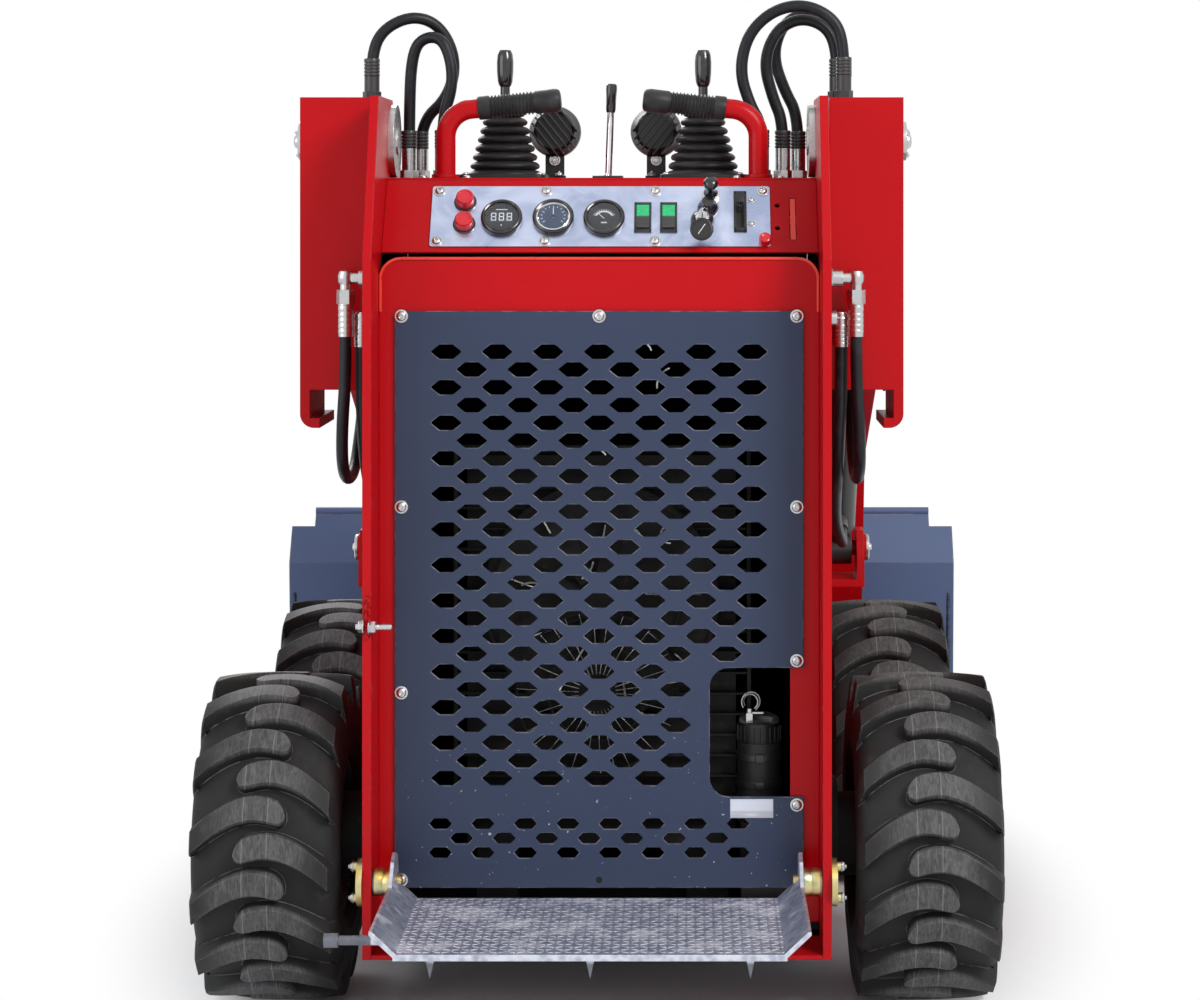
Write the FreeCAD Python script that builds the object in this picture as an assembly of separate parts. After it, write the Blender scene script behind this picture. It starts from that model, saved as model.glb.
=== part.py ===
"""Mini wheel loader: a stand-on loader with four driven wheels, lift arms and a bucket.

X points to the machine's right, Y forward and Z up, in millimetres, with the ground at Z = 0.
Lengths along Y are laid out from the lower rear corner of the chassis side plates, and the
whole machine is moved at the end so that the middle of its length is at Y = 0.
"""
import FreeCAD
import Part
import math
import os

V = FreeCAD.Vector

# ---------------------------------------------------------------- driving dimensions
# Chassis side plates
PLATE_X = 315.0          # outer face of a side plate
PLATE_T = 12.0
PLATE_BOTTOM = 101.0
REAR_EDGE_TOP = 1040.0   # where the rear edge starts to lean forward
TOWER_Y = 87.0           # rear edge of the tower's top
TOWER_TOP = 1264.0
TOWER_CHAMFER = 28.0
TOWER_DEPTH = 196.0
DECK_Z = 1152.0
DECK_FRONT = 380.0
HOOD_KNEE = (640.0, 760.0)
HOOD_TOE = (860.0, 560.0)
NOSE = (1030.0, 380.0)
NOSE_CUT = 60.0
TIE_DOWN, TIE_DOWN_R = (850.0, 490.0), 14.0   # lashing hole in each side plate
FLOOR_T = 6.0
SHEET = 4.0
FIT = 0.3                # gap between pieces that seat on each other
SEAT = 0.1               # gap round a pin that doesn't turn in its hole
TOUCH = 0.05             # gap between a bolted piece and what it sits on
NEAR = 0.1               # how closely an edge is looked for when it is rounded
RIB_HALF, RIB_TOP, RIB_FROM_AXLE = 30.0, 40.0, 120.0    # cross members on the belly pan
GUARD_RISE = 40.0        # upright run of the guard below the nose
HOOD_LAP, DECK_LIP = 8.0, 30.0

# Rear cover, grille and console
COVER_Y = TOWER_Y
COVER_TOP = 1042.0
COVER_BOTTOM = 128.0
COVER_CORNER = 30.0
COVER_RIM = 18.0
COVER_SILL = 150.0       # lower edge of the cover's window, below the grille
CORNER_STEPS = 6         # chords in a rounded corner of the cover or the grille
GRILLE_INSET = 34.5      # from a side plate's outer face to the grille's edge
GRILLE_HALF = PLATE_X - GRILLE_INSET
GRILLE_TOP = 968.0
GRILLE_BOTTOM = 176.0
GRILLE_CORNER = 4.0
HEX_W, HEX_H, HEX_SIDE = 41.0, 20.0, 9.0
HEX_FLAT, HEX_SHORT = 0.45, 0.2     # shares of a hole's half width and half side
HEX_PITCH_X, HEX_PITCH_Z = 70.0, 24.4
HEX_ROWS, HEX_TOP_ROW, HEX_MARGIN = 25, 912.0, 30.0
HEX_COLUMNS = 2 * int((GRILLE_HALF - HEX_MARGIN - HEX_W / 2) / HEX_PITCH_X) + 1
VENT_W, VENT_H, VENT_FLAT = 31.5, 14.7, 18.0
VENT_PITCH_X, VENT_PITCH_Z = 58.4, 19.9
VENT_ROWS, VENT_TOP_ROW, VENT_MARGIN = 3, 264.0, 62.5
VENT_LEFT = VENT_MARGIN - GRILLE_HALF
VENT_COLUMNS = int((GRILLE_HALF - VENT_MARGIN - VENT_LEFT) / VENT_PITCH_X) + 1
NOTCH_W, NOTCH_TOP, NOTCH_BOTTOM, NOTCH_R = 128.5, 478.0, 301.0, 26.0
NOTCH_LEFT = GRILLE_HALF - NOTCH_W
NOTCH_PAST, NOTCH_CLEAR = 10.0, 8.0     # its cutter past the grille's edge, and the sheet left round it
LABEL_AT, LABEL_W, LABEL_LOW, LABEL_HIGH, LABEL_T = 28.0, 59.0, 281.0, 298.0, 0.55
BOLT_INSET = 9.0         # from the grille's edge to its bolts
BOLT_SIDE_ROWS = ((-1, 961.0), (1, 961.0), (-1, 699.0), (1, 699.0), (-1, 444.0), (1, 488.0),
                  (-1, 187.0), (1, 290.0))
GRILLE_BOLTS = [(0.0, 961.0)] + [(s * (GRILLE_HALF - BOLT_INSET), z) for s, z in BOLT_SIDE_ROWS]
BOLT_R, BOLT_H = 7.0, 4.5
CONSOLE_BOTTOM = (115.0, 1048.0)
CONSOLE_LEAN = 34.0      # degrees from upright
WINDOW_SIDE, WINDOW_EDGE = 20.0, 14.0     # panel past the console's window behind it
PANEL_HALF, PANEL_LOW, PANEL_HIGH, PANEL_T = 237.0, -54.5, 46.5, 2.5
PANEL_CORNER = 4.0
GAUGE_R, GAUGE_H = 29.0, 9.0
GAUGE_LAP, GAUGE_ROUND = 4.0, 2.5         # bezel over its hole's edge, and the rounding of its rim
GLASS_DEPTH, GLASS_IN, BODY_DEPTH, BODY_IN = 2.5, 4.5, 26.0, 5.0
GAUGES = ((-138.0, -9.0), (-66.0, -8.0), (5.0, -9.0))
BUTTON_R = 12.5
BUTTONS = ((-190.0, 19.0), (-190.0, -18.0))
BUTTON_H, BUTTON_ROUND, COLLAR_RIM, COLLAR_T = 14.0, 3.0, 3.0, 3.0
ROCKER_W, ROCKER_H = 24.0, 48.0
ROCKER_CUT = (10.0, 20.0)                 # halves of a rocker's window in the panel
ROCKER_FRAME_T, ROCKER_SIDE, ROCKER_END, ROCKER_BODY_END, ROCKER_DEPTH = 2.2, 3.0, 4.0, 5.0, 18.0
ROCKER_HIGH, ROCKER_MIDDLE, ROCKER_LOW = 6.0, 2.0, 2.5    # over its frame: pressed-out end, middle, other end
ROCKERS = ((59.0, -7.0), (95.0, -7.0))
KEY_AT, THROTTLE_AT, SLIDE_AT = (142.0, -13.0), (154.0, 30.0), (195.0, 3.0)
KEY_RING_R, KEY_RING_T, KEY_BARREL_R, KEY_BARREL_T = 15.0, 9.0, 10.5, 13.0
KEY_T, KEY_W, KEY_REACH = 2.4, 9.0, 30.0
FOB_R, FOB_T, FOB_DROP = 16.0, 4.0, 31.0    # round fob that hangs from the key
PULL_COLLAR_R, PULL_COLLAR_T, PULL_STEM_R = 11.0, 8.0, 4.5
PULL_KNOB_R, PULL_KNOB_LOW, PULL_KNOB_TOP, PULL_KNOB_ROUND = 12.0, 23.0, 37.0, 4.0
# Slide lever: halves across and up the panel, then heights over the panel
SLIDE_CUT, SLIDE_FRAME, SLIDE_SLOT = (5.0, 28.0), (9.0, 33.0), (3.0, 26.0)
SLIDE_BRIDGE, SLIDE_BLADE, SLIDE_GRIP = (4.0, 5.0), (2.6, 6.0), (6.0, 9.0)
SLIDE_FRAME_T, SLIDE_BLADE_TOP, SLIDE_GRIP_LOW, SLIDE_GRIP_TOP = 4.0, 24.0, 20.0, 27.0
SLIDE_UP = 8.0                            # lever above the middle of its frame
STOP_X, STOP_V, STOP_T, STOP_R = 14.0, 20.0, 3.5, 4.0
# Beside the panel, in the console sheet: two mounting holes and an upright slot
SIDE_HOLE_X, SIDE_HOLES_V, SIDE_HOLE_R = 247.0, (-22.5, 15.5), 3.5
SLOT_LEFT, SLOT_RIGHT, SLOT_LOW, SLOT_HIGH = 264.0, 273.0, -42.5, 27.7

# Hand controls on the deck
HANDLE_INSET = 93.0      # from a side plate's outer face
HANDLE_X, HANDLE_Y, HANDLE_R, HANDLE_FOOT_R = PLATE_X - HANDLE_INSET, 206.0, 14.0, 20.0
HANDLE_TOP, HANDLE_BEND, HANDLE_RISE = 1246.0, 40.0, 16.0
HANDLE_END = 66.0
HANDLE_FOOT_T = 5.0
GRIP_R, GRIP_LENGTH, GRIP_PAST = 17.0, 118.0, 8.0         # the last is past the tube's end
STICK_X, STICK_Y, STICK_TOP = 144.0, 296.0, 1340.0
BOOT_BASE_R, BOOT_TOP_R, BOOT_TOP, BOOT_FLANGE = 54.0, 30.0, 1247.0, 62.0
BOOT_FOLDS, BOOT_FOLD_DEPTH, BOOT_FLANGE_T, BOOT_FLANGE_CORNER = 7, 9.0, 6.0, 14.0
STICK_R, STICK_L, STICK_KNOB_R, STICK_KNOB_AT, STICK_KNOB_ROUND = 7.0, 45.0, 12.0, 40.0, 5.0
LAMP_X, LAMP_Y, LAMP_Z, LAMP_R, LAMP_L = 75.0, 366.0, 1222.0, 38.0, 46.0
LAMP_ROUND = 4.0
LAMP_FOOT_HALF, LAMP_FOOT_REAR, LAMP_FOOT_FRONT, LAMP_FOOT_T = 16.0, 6.0, 10.0, 5.0
LAMP_POST_HALF, LAMP_POST_REAR, LAMP_POST_FRONT, LAMP_POST_IN = 14.0, 3.0, 2.0, 6.0
LEVER_AT, LEVER_TOP, LEVER_R = (6.0, 300.0), 1290.0, 6.0
LEVER_PLATE, LEVER_PLATE_T, LEVER_LEAN = (22.0, 34.0), 4.0, 4.0
LEVER_KNOB_R, LEVER_KNOB_L, LEVER_KNOB_IN, LEVER_KNOB_ROUND = 11.0, 34.0, 4.0, 4.0

# Wheels
AXLE_REAR, AXLE_FRONT, AXLE_Z = 192.0, 872.0, 225.0
TYRE_R, TYRE_W, TYRE_OUTER_X = 225.0, 200.0, 550.0
RIM_R, RIM_DISC_T, HUB_R, HUB_FLANGE_R = 106.0, 8.0, 45.0, 80.0
STUB_R, RUNNING = 25.0, 0.4
HUB_FLANGE_T, MOTOR_CASE_R, MOTOR_REACH, STUB_INSET = 16.0, 58.0, 40.0, 62.0
# Tyre section: in from its side and out from its bead, then in from its side and down from its tread
TYRE_SIDE = ((26.0, 0.0), (24.0, 14.0), (4.0, 34.0), (0.0, 62.0))
TYRE_SHOULDER = ((3.0, 30.0), (13.0, 13.0), (42.0, 4.0))
# Rim section: its inset in the tyre, its wall, how far its lips rise and its well sinks, and its dish
RIM_INSET, RIM_T, RIM_LIP = 14.0, 5.0, 12.0
LIP_RISES, LIP_ENDS, LIP_FOOT = 3.0, 8.0, 11.0            # in from the rim's edge
WELL_TOP, WELL_FLOOR, WELL_WALL = 40.0, 28.0, 2.0         # halves of the well's width
DISH_INSET, DISH_R, DISH_SLOPE, DISH_BACK = 62.0, 62.0, (4.0, 34.0), (6.0, 36.0)
HUB_HALF, HUB_CONE = 20.0, 2.0

# Lift arms
ARM_IN, ARM_OUT, ARM_T = 322.0, 427.0, 8.0
PIVOT = (240.0, 1205.0)
PIVOT_R, PIVOT_HUB_R = 20.0, 36.0
PIVOT_DISC_R, PIVOT_DISC_T, PIN_PROUD = 52.0, 9.0, 2.0   # disc inside the tower, and the pin's end over it
PIN_HEAD_R, PIN_HEAD_T = 28.0, 6.0
ARM_BACK, ARM_BACK_LOW, ARM_TOP, ARM_TOP_FRONT = 192.0, 852.0, 1266.0, 330.0
HOOP_BOTTOM, HOOP_DEPTH, HOOP_T, HOOP_IN = 798.0, 150.0, 14.0, 399.0
ARM_BELLY_FRONT = 660.0
ARM_BELLY_START = 590.0     # the arm is open below behind this, for the lift cylinder
HINGE = (1214.0, 150.0)  # bucket hinge
HINGE_R, LEG_R, LEG_STEPS = 15.0, 42.0, 12
HINGE_WALL, HINGE_PIN_IN, PIN_PAST, LIFT_BOSS_R = 12.0, 26.0, 8.0, 24.0
ARM_FRONT_LINE = [(1060.0, 790.0), (1128.0, 712.0), (1130.0, 520.0), (1200.0, 300.0)]
ARM_BELLY_LINE = [(1118.0, 260.0), (1040.0, 520.0), (1000.0, 680.0)]
HOOP_CORNER = 20.0
CROSS_TUBE, CROSS_R = (905.0, 797.0), 50.0
KNEE_TUBE, KNEE_R = (1072.0, 705.0), 32.0
TUBE_WALL = 7.0
TILT_EAR_ROOT, TILT_EAR_FROM, TILT_EAR_TO = 6.0, 20.0, 175.0     # inside the tube, and degrees round it
TILT_EAR_HALF, TILT_EAR_NOSE, TILT_EAR_TIP, TILT_PIN_PAST = 24.0, 22.0, 10.0, 4.0

# Lift cylinders
CYL_X, LIFT_LOW, LIFT_HIGH = 364.0, (697.0, 563.0), (430.0, 955.0)
LIFT_BARREL_R, LIFT_BORE_R, LIFT_ROD_R = 25.0, 20.0, 14.0
LIFT_BARREL_L = 424.0
EYE_R, EYE_W, EYE_PIN_R, PIN_GAP, NECK = 27.0, 40.0, 12.5, 0.3, 20.0
NECK_IN, NECK_THIN = 8.0, 3.0             # neck into its eye, and inside the eye's sides
GLAND_BACK, GLAND_FRONT, GLAND_RIM = 30.0, 8.0, 4.0
BORE_START, BORE_STOP, BORE_LAP, ROD_IN_EYE = 18.0, 34.0, 2.0, 6.0
CLEVIS_IN, CLEVIS_OUT = 391.0, 403.0
BRACKET_HALF, BRACKET_LOW, BRACKET_KNEE = 44.0, 58.0, 10.0
BRACKET_CROWN, BRACKET_TOP, BRACKET_SHELF = 22.0, 30.0, 12.0
PAD_RIM, FOOT_PIN_IN, FOOT_HEAD_RIM, FOOT_HEAD_T = 6.0, 10.0, 9.0, 5.0

# Tilt cylinder and bucket
TILT_BASE = (886.0, 670.0)
TILT_LEVER, TILT_LEVER_ANGLE = 105.0, 90.0
TILT_BARREL_R, TILT_BORE_R, TILT_ROD_R, TILT_BARREL_L = 27.0, 22.0, 14.0, 424.0
TILT_EYE_R, TILT_EYE_W, ROD_START = 20.0, 36.0, 62.0
EAR_T = 12.0
ATTACH_HALF, ATTACH_T, ATTACH_SHORT = 300.0, 12.0, 40.0   # the last is below the bucket's bend
HINGE_EAR_GAP, HINGE_EAR_T = 8.0, 18.0
HINGE_EAR_FROM, HINGE_EAR_TO = 4.0, 190.0                 # up the attach plate
HINGE_EAR_LINE = [(10.0, 26.0), (-22.0, 14.0), (-22.0, -16.0), (0.0, -28.0)]
ROD_EAR_FROM, ROD_EAR_TO, ROD_PIN_RIM, ROD_PIN_PAST = 100.0, 222.0, 2.0, 6.0
ROD_EAR_LINE = [(14.0, 20.0), (-12.0, 20.0), (-21.0, 0.0), (-12.0, -20.0)]
BUCKET_HALF, BUCKET_LIP_HALF, BUCKET_T, BUCKET_END_T = 610.0, 568.0, 6.0, 8.0
BUCKET_BACK_LOW, BUCKET_BEND, BUCKET_LIP = (92.0, -46.0), (72.0, 307.0), (128.0, 402.0)
BUCKET_FLOOR_Z, BUCKET_HEEL_R, BUCKET_TIP = 4.0, 100.0, 1720.0
EDGE_T, EDGE_L = 16.0, 120.0
EDGE_STEP, EDGE_BEVEL, EDGE_OVER = 40.0, 34.0, 4.0
HEEL_STEPS, SHOULDER_DROP, LIP_BAR_R = 10, 72.0, 7.0
# End plate's front corners: behind the tip and over the floor, then behind the tip and the height,
# then behind the tip and below the lip
CHEEK_TOE, CHEEK_KNEE, CHEEK_TOP = (26.0, 14.0), (60.0, 120.0), (250.0, 60.0)

# Footboard
BOARD_PIVOT, BOARD_PIN_R = (22.0, 200.0), 10.0
BOARD_INSET = 39.0       # from a side plate's outer face to the footboard's ear
BOARD_HALF, BOARD_TOP, BOARD_T = PLATE_X - BOARD_INSET, 180.0, 4.0
BOARD_WING_W, BOARD_WING_H = 30.0, 28.0     # the upturned sides
BOARD_LIP = 8.0                             # height of the rear lip
FIN_W, FIN_H, FIN_X = 12.0, 28.0, 200.0     # pointed ribs below the tread plate
BOARD_PIN_REACH, BUSH_WALL, BUSH_REACH = 12.0, 8.0, 20.0
BOARD_PIN_PAST, BOARD_FLANGE_R, BOARD_FLANGE_T = 4.0, 32.0, 8.0
FLANGE_NUT_AT, FLANGE_NUT_R, FLANGE_NUT_TOP = 21.0, 6.5, 14.0
BOARD_FRONT, BOARD_REAR = 16.0, -250.0
FOLD_AT, FOLD_R, FOLD_CAP_R = (-200.0, 184.0), 6.0, 9.0    # handle at the left side, to fold the board by
FOLD_REACH, FOLD_CAP_L = 62.0, 18.0
BOARD_EAR_T = 5.0
EAR_REACH, EAR_BACK, EAR_CROWN, EAR_NOSE, EAR_FRONT = 60.0, 30.0, 8.0, 14.0, 24.0
EAR_RISE, EAR_TOP, EAR_DROP = 34.0, 42.0, 24.0

# Engine and filler behind the grille
ENGINE = (-190.0, 190.0, 190.0, 560.0, 210.0, 760.0)
FAN_R, FAN_CENTRE_Z, FAN_T = 165.0, 560.0, 40.0
FOOT_X, FOOT_HALF, FOOT_INSET = 150.0, 30.0, 40.0
FILLER_INSET = 93.0
FILLER_X, FILLER_Y, FILLER_R = PLATE_X - FILLER_INSET, 165.0, 31.0
FILLER_LOW, FILLER_HIGH = 250.0, 390.0
FILLER_CAP_L, FILLER_CAP_IN = 28.0, 6.0
TANK_LEFT, TANK_REAR, TANK_FRONT = 26.0, 40.0, 105.0

HOSE_R, ARM_HOSE_R = 8.5, 8.5
FERRULE_R, ARM_FERRULE_R = 10.5, 11.0
UNION_R, UNION_H = 13.5, 12.0     # hexagonal nut at a hose's end, to its corners and its height
BEND_SHARE = 0.45        # part of the shorter run beside a bend that its arc may use

MIDDLE_Y = (BUCKET_TIP + BOARD_REAR) / 2


# ---------------------------------------------------------------- shape helpers
def box(x0, x1, y0, y1, z0, z1):
    return Part.makeBox(x1 - x0, y1 - y0, z1 - z0, V(x0, y0, z0))


def bar(start, end, radius):
    """A round bar between two points."""
    a, b = V(*start), V(*end)
    return Part.makeCylinder(radius, (b - a).Length, a, b - a)


def across(yz, radius, x0, x1):
    """A round bar along X through a point given as (y, z)."""
    return bar((x0, yz[0], yz[1]), (x1, yz[0], yz[1]), radius)


def pipe_across(yz, radius, bore, half):
    return across(yz, radius, -half, half).cut(across(yz, bore, -half - 1, half + 1))


def outline(points, x=0.0):
    """A flat face at one X from (y, z) points."""
    loop = [V(x, y, z) for y, z in points]
    return Part.Face(Part.makePolygon(loop + loop[:1]))


def slab(points, x0, x1):
    """A plate of (y, z) outline between two X values."""
    return outline(points, x0).extrude(V(x1 - x0, 0, 0))


def mirrored(shape):
    return shape.mirror(V(0, 0, 0), V(1, 0, 0))


def pair(shape):
    """The piece and its mirror image, as solids that don't touch."""
    return Part.makeCompound([shape, mirrored(shape)])


def fuse(first, *others):
    return first.multiFuse(list(others)).removeSplitter()


def round_edges(shape, radius, wanted):
    """Rounds the edges whose middle point passes the test."""
    edges = [e for e in shape.Edges if wanted(e.CenterOfMass)]
    return shape.makeFillet(radius, edges) if edges else shape


def arc_points(centre, radius, start, end, steps):
    """Points of an arc in the YZ plane, angles in degrees from +Y towards +Z."""
    angles = [math.radians(start + (end - start) * i / steps) for i in range(steps + 1)]
    return [(centre[0] + radius * math.cos(a), centre[1] + radius * math.sin(a)) for a in angles]


def polar(centre, radius, degrees):
    a = math.radians(degrees)
    return (centre[0] + radius * math.cos(a), centre[1] + radius * math.sin(a))


def along(a, b, distance, aside=0.0):
    """The (y, z) point at a distance from a towards b, moved aside to the right of the line."""
    length = math.dist(a, b)
    dy, dz = (b[0] - a[0]) / length, (b[1] - a[1]) / length
    return (a[0] + dy * distance + dz * aside, a[1] + dz * distance - dy * aside)


# ---------------------------------------------------------------- hoses
HOSE_REPORT = []


def hose(name, points, radius):
    """A round hose whose route is straight runs joined by tangent arcs."""
    p = [V(*q) for q in points]
    edges, here, radii = [], p[0], []
    for before, corner, after in zip(p, p[1:], p[2:]):
        back, ahead = (before - corner), (after - corner)
        shorter = min(back.Length, ahead.Length)
        back.normalize()
        ahead.normalize()
        half_turn = (math.pi - back.getAngle(ahead)) / 2
        bend = BEND_SHARE * shorter / math.tan(half_turn)
        reach = bend * math.tan(half_turn)
        middle = back + ahead
        middle.normalize()
        sagitta = bend / math.cos(half_turn) - bend
        start, end = corner + back * reach, corner + ahead * reach
        edges.append(Part.LineSegment(here, start).toShape())
        edges.append(Part.Arc(start, corner + middle * sagitta, end).toShape())
        here = end
        radii.append(bend)
    edges.append(Part.LineSegment(here, p[-1]).toShape())
    path = Part.Wire(edges)
    ring = Part.Wire(Part.makeCircle(radius, p[0], p[1] - p[0]))
    solid = path.makePipeShell([ring], True, False)
    ratio = solid.Volume / (math.pi * radius ** 2 * path.Length)
    HOSE_REPORT.append((name, path.Length, radius, radii, ratio))
    return solid


# ---------------------------------------------------------------- chassis
def side_outline():
    tower_front = TOWER_Y + TOWER_DEPTH
    return [(0, PLATE_BOTTOM), (0, REAR_EDGE_TOP), (TOWER_Y, TOWER_TOP),
            (tower_front - TOWER_CHAMFER, TOWER_TOP), (tower_front, TOWER_TOP - TOWER_CHAMFER),
            (DECK_FRONT, DECK_Z), HOOD_KNEE, HOOD_TOE, NOSE,
            (NOSE[0], PLATE_BOTTOM + NOSE_CUT), (NOSE[0] - NOSE_CUT, PLATE_BOTTOM)]


def side_plate():
    plate = slab(side_outline(), PLATE_X - PLATE_T, PLATE_X)
    holes = ((TIE_DOWN, TIE_DOWN_R), (PIVOT, PIVOT_R + SEAT), (BOARD_PIVOT, BOARD_PIN_R + SEAT))
    return plate.cut(Part.makeCompound([across(at, radius, PLATE_X - 2 * PLATE_T, PLATE_X + PLATE_T)
                                        for at, radius in holes]))


INNER_X = PLATE_X - PLATE_T - FIT


def sheet_strip(points, thickness, half):
    """A bent sheet between the side plates: (y, z) points along its outer face, inside to the left."""
    inner = []
    for i, q in enumerate(points):
        before = points[max(i - 1, 0)]
        after = points[min(i + 1, len(points) - 1)]
        turns = [t for t in ((before, q), (q, after)) if t[0] != t[1]]
        normals = []
        for a, b in turns:
            length = math.dist(a, b)
            normals.append((-(b[1] - a[1]) / length, (b[0] - a[0]) / length))
        ny, nz = sum(n[0] for n in normals), sum(n[1] for n in normals)
        size = math.hypot(ny, nz)
        ny, nz = ny / size, nz / size
        stretch = thickness / (ny * normals[0][0] + nz * normals[0][1])
        inner.append((q[0] + ny * stretch, q[1] + nz * stretch))
    return slab(list(points) + inner[::-1], -half, half)


def chassis_floor():
    """Belly pan with its cross members and the bent guard below the nose."""
    y0 = NOSE[0] - NOSE_CUT
    pan = box(-INNER_X, INNER_X, FIT, y0, PLATE_BOTTOM, PLATE_BOTTOM + FLOOR_T)
    ribs = [box(-INNER_X, INNER_X, y - RIB_HALF, y + RIB_HALF, PLATE_BOTTOM + FLOOR_T,
                PLATE_BOTTOM + RIB_TOP) for y in (AXLE_REAR + RIB_FROM_AXLE, AXLE_FRONT - RIB_FROM_AXLE)]
    corner = (NOSE[0] - 1, PLATE_BOTTOM + NOSE_CUT)
    guard = sheet_strip([(y0, PLATE_BOTTOM), corner, (corner[0], corner[1] + GUARD_RISE - FIT)],
                        FLOOR_T, INNER_X)
    return fuse(pan, guard, *ribs)


def front_hood():
    """Bent front cover from the deck's front edge down to the nose."""
    top = (DECK_FRONT + HOOD_LAP, DECK_Z)
    foot = (NOSE[0] - 1, PLATE_BOTTOM + NOSE_CUT + GUARD_RISE)
    return sheet_strip([foot, (NOSE[0] - 1, NOSE[1]), HOOD_TOE, HOOD_KNEE, top], SHEET, INNER_X)


def deck_plate():
    rear = CONSOLE_TOP[0]
    plate = box(-INNER_X, INNER_X, rear, DECK_FRONT, DECK_Z - SHEET, DECK_Z)
    lip = box(-INNER_X, INNER_X, DECK_FRONT - SHEET, DECK_FRONT, DECK_Z - DECK_LIP, DECK_Z - SHEET)
    return fuse(plate, lip)


CONSOLE_RUN = math.tan(math.radians(CONSOLE_LEAN)) * (DECK_Z - CONSOLE_BOTTOM[1])
CONSOLE_TOP = (CONSOLE_BOTTOM[0] + CONSOLE_RUN, DECK_Z)
CONSOLE_LENGTH = math.dist(CONSOLE_BOTTOM, CONSOLE_TOP)
CONSOLE_MID = ((CONSOLE_BOTTOM[0] + CONSOLE_TOP[0]) / 2, (CONSOLE_BOTTOM[1] + CONSOLE_TOP[1]) / 2)


def on_console(shape):
    """Places a shape drawn flat (x across, y up the console, z out of it) on the console."""
    placed = shape.copy()
    placed.rotate(V(0, 0, 0), V(1, 0, 0), 90 - CONSOLE_LEAN)
    placed.translate(V(0, *CONSOLE_MID))
    return placed


def console():
    """Sloping control console, with the windows behind the panel and the slot beside it."""
    half_length = CONSOLE_LENGTH / 2
    sheet = box(-INNER_X, INNER_X, -half_length, half_length - SHEET, -SHEET, 0)
    slot = box(SLOT_LEFT, SLOT_RIGHT, SLOT_LOW, SLOT_HIGH, -2 * SHEET, SHEET)
    holes = [bar((SIDE_HOLE_X, v, -2 * SHEET), (SIDE_HOLE_X, v, SHEET), SIDE_HOLE_R)
             for v in SIDE_HOLES_V]
    behind_panel = box(-PANEL_HALF + WINDOW_SIDE, PANEL_HALF - WINDOW_SIDE, PANEL_LOW + WINDOW_EDGE,
                       PANEL_HIGH - WINDOW_EDGE, -2 * SHEET, SHEET)
    return on_console(sheet.cut(Part.makeCompound([slot, behind_panel] + holes)))


def xz_face(loops, y):
    wires = [Part.makePolygon([V(x, y, z) for x, z in loop + loop[:1]]) for loop in loops]
    return Part.Face(wires)


def rounded_loop(x0, x1, z0, z1, radii):
    """A rectangle in XZ with corner radii given as lower left, lower right, upper right, upper left."""
    corners = ((x0, z0, 1, 1, 180), (x1, z0, -1, 1, -90), (x1, z1, -1, -1, 0), (x0, z1, 1, -1, 90))
    loop = []
    for (x, z, sx, sz, start), r in zip(corners, radii):
        if r == 0:
            loop.append((x, z))
            continue
        for i in range(CORNER_STEPS + 1):
            a = math.radians(start + 90 * i / CORNER_STEPS)
            loop.append((x + sx * r + r * math.cos(a), z + sz * r + r * math.sin(a)))
    return loop


def rear_cover():
    """Red rear cover: a face with the grille's window, its top folded forward to the console."""
    face = rounded_loop(-INNER_X, INNER_X, COVER_BOTTOM, COVER_TOP,
                        (0, 0, COVER_CORNER, COVER_CORNER))
    window = rounded_loop(-GRILLE_HALF + COVER_RIM, GRILLE_HALF - COVER_RIM,
                          COVER_SILL, GRILLE_TOP - COVER_RIM, (0, 0, 0, 0))
    plate = xz_face([face, window[::-1]], COVER_Y).extrude(V(0, SHEET, 0))
    fold = box(-INNER_X + COVER_CORNER, INNER_X - COVER_CORNER, COVER_Y + SHEET,
               CONSOLE_BOTTOM[0] - SHEET, COVER_TOP - SHEET, COVER_TOP)
    return fuse(plate, fold)


def hexagon_wide(x, z):
    """A hole with short upright sides and a point above and below."""
    w, h, s = HEX_W / 2, HEX_H / 2, HEX_SIDE / 2
    flat, short = w * HEX_FLAT, s * HEX_SHORT
    return [(x - w, z - short), (x - flat, z - h), (x + flat, z - h), (x + w, z - short),
            (x + w, z + short), (x + flat, z + h), (x - flat, z + h), (x - w, z + short)]


def vent_hexagon(x, z):
    w, h, f = VENT_W / 2, VENT_H / 2, VENT_FLAT / 2
    return [(x - w, z), (x - f, z - h), (x + f, z - h), (x + w, z), (x + f, z + h), (x - f, z + h)]


def near_notch(x, z):
    above, below = NOTCH_TOP + HEX_H / 2 + NOTCH_CLEAR, NOTCH_BOTTOM - HEX_H / 2 - NOTCH_CLEAR
    return x + HEX_W / 2 > NOTCH_LEFT - NOTCH_CLEAR and below < z < above


def grille_holes():
    loops = []
    for row in range(HEX_ROWS):
        count = HEX_COLUMNS - row % 2
        z = HEX_TOP_ROW - row * HEX_PITCH_Z
        for column in range(count):
            x = (column - (count - 1) / 2) * HEX_PITCH_X
            if not near_notch(x, z):
                loops.append(hexagon_wide(x, z))
    for row in range(VENT_ROWS):
        for column in range(VENT_COLUMNS - row % 2):
            x = VENT_LEFT + VENT_PITCH_X * (column + row % 2 / 2)
            loops.append(vent_hexagon(x, VENT_TOP_ROW - row * VENT_PITCH_Z))
    return loops


def grille():
    outer = rounded_loop(-GRILLE_HALF, GRILLE_HALF, GRILLE_BOTTOM, GRILLE_TOP, (GRILLE_CORNER,) * 4)
    notch = rounded_loop(NOTCH_LEFT, GRILLE_HALF + NOTCH_PAST, NOTCH_BOTTOM, NOTCH_TOP,
                         (NOTCH_R, 0, 0, NOTCH_R))
    y0 = COVER_Y - SHEET - FIT
    holes = [h[::-1] for h in grille_holes()]
    plate = xz_face([outer] + holes, y0).extrude(V(0, SHEET, 0))
    return plate.cut(xz_face([notch], y0 - 1).extrude(V(0, SHEET + 2, 0)))


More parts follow.
